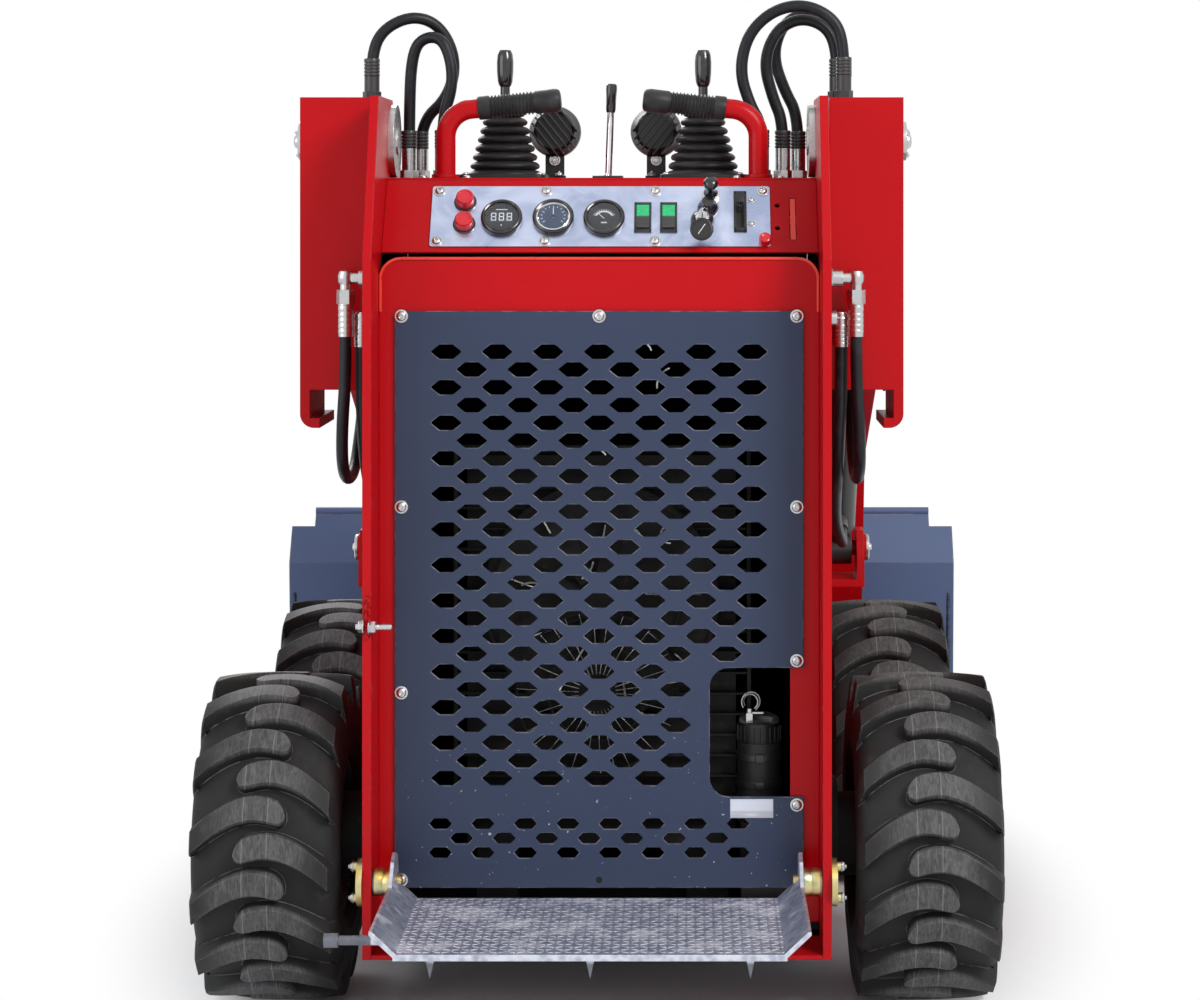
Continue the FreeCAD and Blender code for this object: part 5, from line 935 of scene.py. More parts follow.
def lug(side, angle):
    """One curved lug, from its round inner end over the crown and down the shoulder."""
    bm = bmesh.new()
    rows = []
    crown = CROWN_SHARE - ROUND_END[-1]
    shares = ROUND_END + [ROUND_END[-1] + crown * i / CROWN_CUTS for i in range(1, CROWN_CUTS + 1)]
    for share in shares + DOWN_SHOULDER:
        x, top, floor_x, floor, trail, full = lug_line(share)
        wide = max(LUG_THINNEST, LUG_HALF_WIDTH * full)
        chamfer = min(LUG_CHAMFER, wide * 0.6)
        half = [(wide + LUG_FLARE, 0.0), (wide + 0.0008, 0.82), (wide - chamfer, 1.0)]
        section = [(-across, up) for across, up in half] + [(0.0, 1.012)] + half[::-1]
        row = []
        for across, up in section:
            radius = floor - LUG_ROOT + (top - floor + LUG_ROOT) * min(up, 1.0)
            place = floor_x + (x - floor_x) * up
            a = angle + (across - trail) / MEAN_R
            row.append(bm.verts.new((side * place, -radius * math.cos(a), radius * math.sin(a))))
        rows.append(row)
    for low, high in zip(rows, rows[1:]):
        for i in range(len(low) - 1):
            bm.faces.new((low[i], low[i + 1], high[i + 1], high[i]))
    bm.faces.new(rows[0])
    bm.faces.new(rows[-1])
    return bm


def tyre(name, centre, turn, material):
    """A tyre of two staggered rows of lugs, turned about its axle."""
    pieces = [carcass()]
    pitch = 2 * math.pi / LUGS_A_SIDE
    for i in range(LUGS_A_SIDE):
        pieces.append(lug(1, pitch * i))
        pieces.append(lug(-1, pitch * (i + 0.5)))
    spun = [moved(piece, spin(turn, "X")) for piece in pieces]
    made = joined(name, spun, material, smooth_angle=38)
    made.location = centre
    return made


TURN_BETWEEN_WHEELS = 0.37  # so that no two tyres stand alike


def all_wheels(rubber, rim_paint):
    """Tyre and rim of each wheel."""
    turn = 0.0
    for end in ("rear", "front"):
        for _, word in SIDES:
            low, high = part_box(f"tyre_{end}_{word}")
            turn += TURN_BETWEEN_WHEELS
            made = tyre(f"lug_tyre_{end}_{word}", (Vector(low) + Vector(high)) / 2, turn, rubber)
            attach(made, f"wheel_{end}_{word}")
            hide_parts(f"tyre_{end}_{word}")
            paint(rim_paint, f"rim_{end}_{word}")


# ---- small hardware
UP, BACK = (0, 0, 1), (0, -1, 0)
HEX_TURN = 0.3


def fitted(name, pieces, material, body, slot, *stood_for, smooth_angle=CRISP_ANGLE):
    """A piece of several meshes that rides on a body, and stands for CAD nodes if they are named."""
    made = joined(name, pieces, material, smooth_angle)
    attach(made, body)
    if stood_for:
        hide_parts(*stood_for)
    return made


# Radius and height of a domed head's corners, as shares of its radius
DOMED_HEAD = [(1.35, 0.0), (1.35, 0.16), (1.02, 0.18), (1.0, 0.34), (0.9, 0.55), (0.72, 0.70), (0.44, 0.76),
              (0.40, 0.70), (0.38, 0.34), (0.0, 0.30)]


def button_head(place, axis, radius, slot=0):
    """Domed screw head with its washer and socket."""
    return lathe([(radius * r, radius * h) for r, h in DOMED_HEAD], place, axis, steps=20, slot=slot)


def hex_head(place, axis, radius, height=None, slot=0):
    """Hexagonal head on a washer, with a little of the thread showing."""
    height = height or radius * 0.75
    thread, tip = height + radius * 0.3, height + radius * 0.42
    end = [(radius * 0.52, 0), (radius * 0.52, thread), (radius * 0.42, tip), (0, tip)]
    return [lathe(disc(radius * 1.25, radius * 0.2), place, axis, 20, slot),
            prism(ring_of(6, radius), height, place, axis, HEX_TURN, chamfer=radius * 0.14, slot=slot),
            lathe(end, place, axis, 14, slot)]


BEAD_PITCH, BEAD_SMALL, BEAD_LARGE = 0.8, 0.85, 1.12  # shares of a weld bead's radius


def weld(points, radius):
    """A weld bead of overlapping ripples along a line of points."""
    parts = []
    for start, end in zip(points, points[1:]):
        a, b = Vector(start), Vector(end)
        count = max(2, int((b - a).length / (radius * BEAD_PITCH)))
        for i in range(count):
            size = radius * rng.uniform(BEAD_SMALL, BEAD_LARGE)
            bead = bmesh.new()
            bmesh.ops.create_icosphere(bead, subdivisions=1, radius=size)
            parts.append(moved(bead, shift(a.lerp(b, (i + 0.5) / count))))
    return parts


# ---- instruments
CONSOLE_LEAN = math.radians(34.0)
CONSOLE_MIDDLE = (0.15007, 1.100)  # Y from the rear datum, and Z
CONSOLE = (shift((0, CONSOLE_MIDDLE[0] - REAR_DATUM, CONSOLE_MIDDLE[1]))
           @ spin(math.radians(90) - CONSOLE_LEAN, "X"))
PANEL_FACE = 0.0025
# Places on the console: across, and up its slope
GAUGE_SPOTS = ((-0.138, -0.009), (-0.066, -0.008), (0.005, -0.009))
BUTTON_SPOTS = ((-0.190, 0.019), (-0.190, -0.018))
ROCKER_SPOTS = ((0.059, -0.007), (0.095, -0.007))
KEY_SPOT, THROTTLE_SPOT, SLIDE_SPOT = (0.142, -0.013), (0.154, 0.030), (0.195, 0.003)
CAP_SPOT = (0.229, -0.047)
PANEL_SCREWS = [(x, v) for x in (-0.227, -0.077, 0.076) for v in (0.038, -0.046)] + [(0.227, 0.038)]
BEZEL_R, BEZEL_TOP = 0.029, 0.009
DIAL_R, DIAL_FLOOR, PRINT_THICK = BEZEL_R - 0.006, BEZEL_TOP - 0.0041, 0.0003
# How far each corner of a bezel's section lies inside its radius and below its top
BEZEL_LIP = [(0, 0.0028), (0.0011, 0.0009), (0.003, 0), (0.0048, 0.0008), (0.0056, 0.0026), (0.0058, 0.0042)]
BLACK, BRIGHT, DARK, BLUE, PRINT, WINDOW, GLASS = range(7)  # the meters' materials, in order


def on_console(bm, x, v, lift=PANEL_FACE):
    """Sets a piece on the sloping console."""
    return moved(bm, CONSOLE @ shift((x, v, lift)))


def shifted(bm, v=0.0, lift=0.0, degrees=0.0):
    """Moves a piece up the dial, lifts it off and turns it."""
    return moved(bm, shift((0, v, lift)) @ spin(math.radians(degrees), "Z"))


def bezel():
    """Rounded rim of a gauge."""
    lip = [(BEZEL_R - inside, BEZEL_TOP - below) for inside, below in BEZEL_LIP]
    foot = [(BEZEL_R - 0.001, 0.0), (BEZEL_R, 0.001)]
    return lathe(foot + lip + [(0, lip[-1][1])], steps=56, slot=BLACK)


COUNTER_WINDOW, DIGIT_PLACES = (0.033, 0.0184, 0.0006), (-0.0142, -0.0033, 0.0076)
DIGIT_WIDE, DIGIT_HIGH, DIGIT_BAR = 0.0066, 0.0128, 0.0014
COUNTER_LINE, COUNTER_LINE_V = (0.016, 0.0013, 0.0005), 0.01215
COUNTER_DOT_R, COUNTER_DOT_V = 0.001, -0.0135


def digit_eight(x):
    """Seven bars of a figure."""
    wide, high, bar = DIGIT_WIDE, DIGIT_HIGH, DIGIT_BAR
    bars = [block((x, y, 0), (x + wide, y + bar, PRINT_THICK), PRINT)
            for y in (-high / 2, -bar / 2, high / 2 - bar)]
    for side in (x - bar * 0.3, x + wide - bar * 0.7):
        bars += [block((side, y, 0), (side + bar, y + high / 2 - bar * 1.6, PRINT_THICK), PRINT)
                 for y in (-high / 2 + bar * 0.8, bar * 0.7)]
    return bars


def hour_counter():
    """Dark dial with a window of three figures that glow a little, a line over it and a dot under it."""
    parts = [lathe(disc(DIAL_R, PRINT_THICK), steps=48, slot=DARK), pad(COUNTER_WINDOW, WINDOW, 0.0002)]
    for place in DIGIT_PLACES:
        parts += [shifted(bar, lift=COUNTER_WINDOW[2]) for bar in digit_eight(place)]
    parts.append(pad(COUNTER_LINE, PRINT, middle=(0, COUNTER_LINE_V)))
    parts.append(shifted(lathe(disc(COUNTER_DOT_R, 0.0006), steps=12, slot=PRINT), COUNTER_DOT_V))
    return parts


def tick(inner, outer, degrees, lift, v=0.0):
    """A mark that points at a dial's middle."""
    return shifted(block((inner, -0.0004, 0), (outer, 0.0004, PRINT_THICK), PRINT), v, lift, degrees)


RINGED_TICKS, RINGED_START, RINGED_STEP = 13, 215, -250 / 12  # start and step in degrees
TICK_FROM, LONG_TICK_FROM, TICK_TO = 0.0150, 0.0135, 0.0175
RINGED_NEEDLE = ((-0.0006, -0.003, 0), (0.0006, 0.0135, 0.0008))


def ringed_meter():
    """Blue dial in a chromed ring, with ticks all round and an upright needle."""
    r = DIAL_R
    ring = [(r + 0.0008, 0), (r + 0.0008, 0.002), (r - 0.001, 0.0026), (r - 0.0028, 0.001), (r - 0.0028, 0),
            (r + 0.0008, 0)]
    parts = [lathe(ring, steps=56, slot=BRIGHT), lathe(disc(r - 0.0027, 0.0004), steps=48, slot=BLUE)]
    for i in range(RINGED_TICKS):
        inner = TICK_FROM if i % 3 else LONG_TICK_FROM
        parts.append(tick(inner, TICK_TO, RINGED_START + RINGED_STEP * i, 0.0005))
    parts.append(shifted(block(*RINGED_NEEDLE, PRINT), lift=0.0005))
    parts.append(lathe(disc(0.0024, 0.0014, 0.0018), steps=16, slot=BLACK))
    return parts


SCALE_V, SCALE_INNER, SCALE_OUTER = -0.004, 0.0118, 0.0140
SCALE_START, SCALE_END, SCALE_TICKS = 28, 152, 11  # start and end in degrees
SCALE_NEEDLE, SCALE_NEEDLE_V = ((-0.0005, 0, 0), (0.0005, 0.0125, 0.0005)), -0.003
SCALE_NEEDLE_LEAN, SCALE_TICK = math.degrees(0.75), (0.0136, 0.0168)
SCALE_MARK, SCALE_MARK_V = (0.008, 0.002, PRINT_THICK), -0.0095


def scale_meter():
    """Dark dial with a white arched scale, a leaning needle and a short line."""
    parts = [lathe(disc(DIAL_R, PRINT_THICK), steps=48, slot=DARK)]
    arch = band(SCALE_INNER, SCALE_OUTER, SCALE_START, SCALE_END, 0.0004, PRINT_THICK, slot=PRINT)
    parts.append(shifted(arch, SCALE_V))
    for i in range(SCALE_TICKS):
        degrees = SCALE_START + (SCALE_END - SCALE_START) * i / (SCALE_TICKS - 1)
        parts.append(tick(*SCALE_TICK, degrees, 0.0004, SCALE_V))
    parts.append(shifted(block(*SCALE_NEEDLE, PRINT), SCALE_NEEDLE_V, 0.0008, SCALE_NEEDLE_LEAN))
    parts.append(shifted(pad(SCALE_MARK, PRINT, middle=(0, SCALE_MARK_V)), lift=0.0004))
    return parts


def gauges():
    """An hour counter, a meter with a chromed ring, and a meter with a white scale."""
    parts = [on_console(bezel(), *spot) for spot in GAUGE_SPOTS]
    for spot, dial in zip(GAUGE_SPOTS, (hour_counter, ringed_meter, scale_meter)):
        parts += [on_console(piece, *spot, PANEL_FACE + DIAL_FLOOR) for piece in dial()]
    dome = [(DIAL_R, 0), (DIAL_R * 0.8, 0.0008), (DIAL_R * 0.4, 0.0012), (0, 0.0013)]
    for spot in GAUGE_SPOTS:
        parts.append(on_console(lathe(dome, steps=40, slot=GLASS), *spot, PANEL_FACE + DIAL_FLOOR + 0.0022))
    # The meters' print glows a little: painted light, not a lamp.
    finishes = [gloss_black(), chrome_rod(), dial_face("dial_dark", DIAL_DARK),
                dial_face("dial_blue", DIAL_BLUE), dial_ink("dial_ink", DIAL_PRINT, 0.15),
                dial_ink("counter_window", COUNTER_GREY, 0.0), gauge_glass()]
    fitted("meters", parts, finishes, "root", "black_plastic", "gauges", smooth_angle=40)


# Turned pieces of the panel: radius and height of each corner of their sections
BUTTON_COLLAR = [(0.0158, 0), (0.0158, 0.0018), (0.0148, 0.0028), (0.0128, 0.003), (0.0, 0.003)]
BUTTON_CAP = [(0.0128, 0.003), (0.0128, 0.0045), (0.0125, 0.005), (0.0125, 0.0118), (0.0119, 0.0122),
              (0.0119, 0.0128), (0.0125, 0.0132), (0.0124, 0.0150), (0.0112, 0.0166), (0.0094, 0.0168),
              (0.0086, 0.0158), (0.0, 0.0153)]
KEY_RING = [(0.0165, 0), (0.0165, 0.004), (0.0150, 0.0078), (0.0128, 0.0092), (0.0112, 0.0086),
            (0.0105, 0.006), (0, 0.006)]
KEY_COLLAR = [(0.0103, 0.005), (0.0103, 0.0120), (0.0092, 0.0132), (0.0, 0.0132)]
KEY_FOB = [(0, -0.0022), (0.0145, -0.0022), (0.0162, -0.0010), (0.0162, 0.0010), (0.0145, 0.0022),
           (0.0122, 0.0024), (0.0118, 0.0016), (0, 0.0016)]
THROTTLE_SLEEVE = [(0.0150, 0), (0.0150, 0.002), (0.0128, 0.008), (0.0098, 0.012), (0.0086, 0.0185),
                   (0.0, 0.0190)]
THROTTLE_KNOB = [(0.0125, 0), (0.0125, 0.0025), (0.0098, 0.0032), (0.0098, 0.0082), (0.0088, 0.0095),
                 (0.0066, 0.0160), (0.0056, 0.0220), (0.0066, 0.0232), (0.0090, 0.0246), (0.0104, 0.0275),
                 (0.0106, 0.0315), (0.0096, 0.0350), (0.0070, 0.0376), (0.0030, 0.0388), (0, 0.0390)]
CORNER_CAP = [(0.0085, 0), (0.0085, 0.0105), (0.0078, 0.0122), (0.0060, 0.0130), (0.0048, 0.0122),
              (0, 0.0120)]

ROCKER_WIDE, ROCKER_HALF, ROCKER_RIM = 0.024, 0.024, 0.0040
ROCKER_SIDE, ROCKER_END, LENS_INSET, RIB_INSET = 0.003, 0.004, 0.0032, 0.0045
# Profile of the rocker's lower half along its length, and its grip ribs
ROCKER_TIP, ROCKER_HIGH, ROCKER_LOW, ROCKER_FALL = -0.020, 0.0082, 0.0036, 0.0048
ROCKER_PROFILE = [(ROCKER_TIP, 0), (ROCKER_TIP, 0.0072), (-0.017, 0.0084), (0.0005, ROCKER_LOW), (0.0005, 0)]
RIBS, RIB_START, RIB_PITCH, RIB_THICK = 6, -0.0175, 0.0028, 0.0009
LENS_FROM, LENS_TO, LENS_FOOT, LENS_TOP = 0.0008, 0.0195, 0.001, 0.0042


def rocker(black, green, grey):
    """A rocker in its rim: a ribbed lower half and a lit lens above it."""
    half = ROCKER_WIDE / 2
    parts = surround(half, ROCKER_HALF, ROCKER_SIDE, ROCKER_END, ROCKER_RIM, black, 0.0006)
    lower = prism(ROCKER_PROFILE, ROCKER_WIDE - 2 * LENS_INSET, slot=grey)
    across = Matrix(((0, 0, 1, LENS_INSET - half), (1, 0, 0, 0), (0, 1, 0, 0), (0, 0, 0, 1)))
    parts.append(moved(lower, across))
    for i in range(RIBS):
        y = RIB_START + RIB_PITCH * i
        rise = ROCKER_HIGH - ROCKER_FALL * (y + 0.017) / 0.0175
        parts.append(block((RIB_INSET - half, y, rise - 0.001),
                           (half - RIB_INSET, y + RIB_THICK, rise + 0.0007), grey))
    parts.append(block((LENS_INSET - half, LENS_FROM, LENS_FOOT), (half - LENS_INSET, LENS_TO, LENS_TOP),
                       green, 0.0008))
    return parts


def switches():
    """Two red push buttons and two lit rockers."""
    red, black, green, grey = range(4)
    parts = []
    for spot in BUTTON_SPOTS:
        parts.append(on_console(lathe(BUTTON_CAP, steps=36, slot=red), *spot))
        parts.append(on_console(lathe(BUTTON_COLLAR, steps=36, slot=black), *spot))
    for spot in ROCKER_SPOTS:
        parts += [on_console(piece, *spot) for piece in rocker(black, green, grey)]
    finishes = [red_plastic(), gloss_black(), lit_green(), moulded_black("rocker_grey", 0.045)]
    fitted("push_and_rocker", parts, finishes, "root", "red_plastic", "panel_switches")


KEY_BLADE, KEY_FOOT = (0.0024, 0.009, 0.018), 0.012
LOOP_INNER, LOOP_OUTER, LOOP_HALF = 0.0125, 0.0139, 0.0007
LOOP_DOWN, LOOP_LIFT, LOOP_TILT = -0.010, 0.029, (1.2, 0.5)
FOB_PLACE, FOB_TILT, GLINT_TURN = (-0.001, -0.031, 0.030), 0.35, -0.6
FOB_GLINT, GLINT_LIFT = (0.001, 0.017, PRINT_THICK), 0.0017
SLEEVE_PLACE, KNOB_ZINC_TOP = (-0.004, -0.021), 0.0085
SLIDE_HALF_WIDE, SLIDE_HALF_LONG, SLIDE_SIDE, SLIDE_END, SLIDE_RIM = 0.009, 0.033, 0.004, 0.005, 0.0038
SLIDE_FLOOR = ((-0.0055, -0.029, -0.006), (0.0055, 0.029, -0.004))
SLIDE_STEM = ((-0.0018, 0.002, -0.004), (0.0018, 0.014, 0.022))
SLIDE_KNOB = ((-0.0052, -0.001, 0.019), (0.0052, 0.017, 0.027))
SLIDE_SCREW_X, SLIDE_SCREW_V = 0.0155, 0.020


def key_and_fob(black, zinc, dark, white):
    """Key in its switch, with a wire loop and a round fob that hangs from it; a white strip on the fob is a
    painted glint.
    """
    blade = pad(KEY_BLADE, zinc, 0.0004, foot=KEY_FOOT)
    parts = [on_console(piece, *KEY_SPOT) for piece in (lathe(KEY_RING, steps=36, slot=black),
                                                       lathe(KEY_COLLAR, steps=28, slot=zinc), blade)]
    x, v = KEY_SPOT
    loop = lathe(hoop(LOOP_INNER, LOOP_OUTER, -LOOP_HALF, LOOP_HALF), steps=36, slot=zinc)
    lean = spin(LOOP_TILT[0], "Y") @ spin(LOOP_TILT[1], "X")
    parts.append(on_console(moved(loop, lean), x, v + LOOP_DOWN, LOOP_LIFT))
    tilt = spin(FOB_TILT, "X")
    across = tilt @ spin(GLINT_TURN, "Z") @ shift((0, 0, GLINT_LIFT))
    for piece, stand in ((lathe(KEY_FOB, steps=40, slot=dark), tilt), (pad(FOB_GLINT, white), across)):
        parts.append(on_console(moved(piece, stand), x + FOB_PLACE[0], v + FOB_PLACE[1], FOB_PLACE[2]))
    return parts


def throttle(black, zinc):
    """Throttle knob on its bright base, and the black sleeve below it."""
    x, v = THROTTLE_SPOT
    knob = lathe(THROTTLE_KNOB, steps=36, slot=black)
    for face in knob.faces:
        if face.calc_center_median().z < KNOB_ZINC_TOP:
            face.material_index = zinc
    sleeve = lathe(THROTTLE_SLEEVE, steps=36, slot=black)
    return [on_console(sleeve, x + SLEEVE_PLACE[0], v + SLEEVE_PLACE[1]), on_console(knob, x, v)]


def slide_lever(zinc, dark):
    """Lever in a framed slot, with the slot's two screws beside it."""
    x, v = SLIDE_SPOT
    pieces = surround(SLIDE_HALF_WIDE, SLIDE_HALF_LONG, SLIDE_SIDE, SLIDE_END, SLIDE_RIM, dark, 0.0008)
    pieces += [block(*SLIDE_FLOOR, dark), block(*SLIDE_STEM, zinc, 0.0005), block(*SLIDE_KNOB, dark, 0.002)]
    parts = [on_console(piece, x, v) for piece in pieces]
    for up in (-SLIDE_SCREW_V, SLIDE_SCREW_V):
        parts.append(on_console(button_head((0, 0, 0), UP, 0.0038, zinc), x + SLIDE_SCREW_X, v + up))
    return parts


def panel_handles():
    """Key switch with its fob, throttle, slide lever and the red cap at the panel's corner."""
    black, zinc, dark, red, white = range(5)
    parts = key_and_fob(black, zinc, dark, white) + throttle(black, zinc) + slide_lever(zinc, dark)
    parts.append(on_console(lathe(CORNER_CAP, steps=28, slot=red), *CAP_SPOT))
    # The fob's white strip, the last finish, is a painted glint.
    finishes = [gloss_black(), zinc_plate("key_zinc"), moulded_black("lever_black", 0.012), red_plastic(),
                dial_ink("fob_glint_white", FOB_GLINT_WHITE)]
    fitted("panel_handles", parts, finishes, "root", "black_plastic", "panel_controls")


def panel_screws(zinc):
    """Domed screws of the instrument panel."""
    parts = [on_console(button_head((0, 0, 0), UP, 0.0062), x, v) for x, v in PANEL_SCREWS]
    fitted("panel_screws", parts, zinc, "root", "zinc")


# ---- hand controls
DECK_TOP = 1.152
BOOT_X, BOOT_Y = 0.144, 0.296 - REAR_DATUM
BOOT_LOW, BOOT_HIGH, BOOT_WIDE, BOOT_NARROW, BOOT_RIPPLES = 1.158, 1.247, 0.054, 0.029, 7
RIPPLE_STEPS, RIPPLE_DEEP, RIPPLE_ROUND = 8, 0.0085, 0.55
FLANGE_HALF, FLANGE_CORNER, FLANGE_THICK, FLANGE_SCREW = 0.062, 0.014, 0.0056, 0.053
CORNER_STEPS, SEAM = 5, 0.0002  # the seam is the gap under a plate
HANDLE_Y = 0.206 - REAR_DATUM
GRIP_START, GRIP_TIP = Vector((0.176, HANDLE_Y, 1.25072)), Vector((0.058, HANDLE_Y, 1.26282))


def bellows_section():
    """Radius and height of a boot's rounded folds, from its foot to its neck."""
    steps = BOOT_RIPPLES * RIPPLE_STEPS
    foot, tall = BOOT_LOW - DECK_TOP, BOOT_HIGH - BOOT_LOW
    section = [(BOOT_WIDE + 0.0005, 0.0015)]
    for i in range(steps + 1):
        share = i / steps
        crest = abs(math.cos(math.pi * BOOT_RIPPLES * share)) ** RIPPLE_ROUND
        wide = BOOT_WIDE + (BOOT_NARROW - BOOT_WIDE) * share
        section.append((wide - RIPPLE_DEEP * (1 - crest), foot + tall * share))
    return section + [(0.016, foot + tall), (0.010, foot + tall + 0.0005)]


def rounded_square(half, corner):
    """Outline of a square with round corners."""
    outline, near = [], half - corner
    for sx, sy, start in ((1, 1, 0), (-1, 1, 90), (-1, -1, 180), (1, -1, 270)):
        for i in range(CORNER_STEPS + 1):
            a = math.radians(start + 90 / CORNER_STEPS * i)
            outline.append((sx * near + corner * math.cos(a), sy * near + corner * math.sin(a)))
    return outline


def bellows():
    """Rubber boots with rounded folds on square flanges, each screwed down at its corners."""
    rubber, zinc = 0, 1
    parts = []
    outline = rounded_square(FLANGE_HALF, FLANGE_CORNER)
    for side, _ in SIDES:
        x = side * BOOT_X
        parts.append(lathe(bellows_section(), (x, BOOT_Y, DECK_TOP), steps=48, slot=rubber))
        parts.append(prism(outline, FLANGE_THICK, (x, BOOT_Y, DECK_TOP + SEAM), chamfer=0.0012, slot=rubber))
        for dx in (-FLANGE_SCREW, FLANGE_SCREW):
            for dy in (-FLANGE_SCREW, FLANGE_SCREW):
                parts.append(button_head((x + dx, BOOT_Y + dy, DECK_TOP + FLANGE_THICK), UP, 0.0042, zinc))
    finishes = [soft_rubber("boot_rubber", 0.011), zinc_plate("boot_zinc")]
    fitted("bellows", parts, finishes, "root", "black_rubber", "joystick_boots", smooth_angle=50)


GRIP_COLLAR = [(0.0146, 0.0), (0.0162, 0.0008), (0.0168, 0.003), (0.0168, 0.016), (0.0158, 0.0172)]
GRIP_RIBS, RIBS_FROM, RIBBED = 13, 0.014, 0.066
# Radius at shares of the ribs' pitch
GRIP_RIB = [(0.0142, 0.0), (0.0158, 0.16), (0.0167, 0.34), (0.0158, 0.52), (0.0142, 0.68)]
# Radius at distances back from the grip's tip
GRIP_END = [(0.0150, 0.038), (0.0164, 0.036), (0.0170, 0.010), (0.0160, 0.004), (0.0135, 0.001), (0.0090, 0),
            (0, 0)]


def ribbed_grips():
    """Moulded grips: a plain collar, a run of fine ribs and a round end."""
    length = (GRIP_TIP - GRIP_START).length
    pitch = RIBBED / GRIP_RIBS
    section = list(GRIP_COLLAR)
    for i in range(GRIP_RIBS):
        section += [(r, RIBS_FROM + pitch * (i + share)) for r, share in GRIP_RIB]
    section += [(r, length - back) for r, back in GRIP_END]
    parts = []
    for side, _ in SIDES:
        mirror = Matrix.Diagonal((side, 1, 1))
        start, end = mirror @ GRIP_START, mirror @ GRIP_TIP
        parts.append(lathe(section, start, end - start, steps=36))
    fitted("ribbed_grips", parts, soft_rubber("grip_rubber", 0.020), "root", "black_rubber", "handle_grips")


HANDLE_FOOT_X, HANDLE_SCREW_X, HANDLE_SCREW_Y = 0.222, 0.031, HANDLE_Y - 0.006


def handle_screws(zinc):
    """Domed screws in the feet of the grab handles."""
    parts = [button_head((side * HANDLE_FOOT_X + dx, HANDLE_SCREW_Y, DECK_TOP), UP, 0.0052)
             for side, _ in SIDES for dx in (-HANDLE_SCREW_X, HANDLE_SCREW_X)]
    fitted("handle_screws", parts, zinc, "root", "zinc")


LEVER_STEM = [(0.0105, 0.0), (0.0105, 0.006), (0.0072, 0.009), (0.0070, 0.038), (0.0092, 0.041),
              (0.0108, 0.046), (0.0120, 0.060), (0.0122, 0.074), (0.0112, 0.085), (0.0085, 0.0915),
              (0, 0.0928)]
MIDDLE_ROD = [(0.0052, 0.003), (0.0050, 0.100)]
MIDDLE_KNOB = [(0.0060, 0.096), (0.0070, 0.100), (0.0074, 0.118), (0.0082, 0.130), (0.0078, 0.136),
               (0.0060, 0.1379), (0, 0.1379)]
MIDDLE_X, MIDDLE_Y, MIDDLE_LEAN, MIDDLE_TOP = 0.006, 0.300 - REAR_DATUM, 0.005, 1.290
MIDDLE_PLATE, MIDDLE_SCREW = (0.044, 0.068, 0.0038), 0.026


def hand_levers():
    """Stems and knobs of the two hand levers, and the bright lever between them."""
    black, zinc = 0, 1
    parts = [lathe(LEVER_STEM, (side * BOOT_X, BOOT_Y, BOOT_HIGH), steps=28, slot=black) for side, _ in SIDES]
    x, y = MIDDLE_X, MIDDLE_Y
    low = (x, y, DECK_TOP)
    lean = Vector((x + MIDDLE_LEAN, y, MIDDLE_TOP)) - Vector(low)
    parts.append(lathe(MIDDLE_ROD, low, lean, steps=20, slot=zinc))
    parts.append(lathe(MIDDLE_KNOB, low, lean, steps=24, slot=black))
    parts.append(pad(MIDDLE_PLATE, black, 0.0008, (x, y), DECK_TOP + SEAM))
    for dy in (-MIDDLE_SCREW, MIDDLE_SCREW):
        parts.append(button_head((x, y + dy, DECK_TOP + SEAM + MIDDLE_PLATE[2]), UP, 0.0042, zinc))
    fitted("hand_levers", parts, [gloss_black(), chrome_rod()], "root", "black_plastic", "control_levers")


LAMP_X, LAMP_Y, LAMP_Z, LAMP_HALF = 0.075, 0.366 - REAR_DATUM, 1.222, 0.023
LENS_DEPTH, LENS_R = 0.038, 0.0345
LAMP_SECTION = [(0, -0.012), (0.026, -0.012), (0.030, -0.009), (0.034, 0.004), (0.0368, 0.010),
                (0.038, 0.014), (0.038, 0.040), (0.0372, 0.0415), (0.0352, 0.0415), (LENS_R, LENS_DEPTH),
                (0.0, LENS_DEPTH)]
FINS, FIN_PITCH, FIN_LOW, FIN_HALF = 7, 0.009, -0.0270, 0.0013
FIN_BACK, FIN_FRONT, FIN_TURN = -0.0165, 0.012, 0.9
YOKE_HALF, YOKE_THICK, YOKE_HIGH, YOKE_BACK = 0.014, 0.004, 0.042, 0.004
YOKE_FOOT = ((-0.016, -0.006), (0.016, 0.010), 0.005)  # corners from the lamp, height over the deck
YOKE_NUT_Y, YOKE_NUT_HIGH, FOOT_NUT_X = -0.0055, 0.028, 0.006


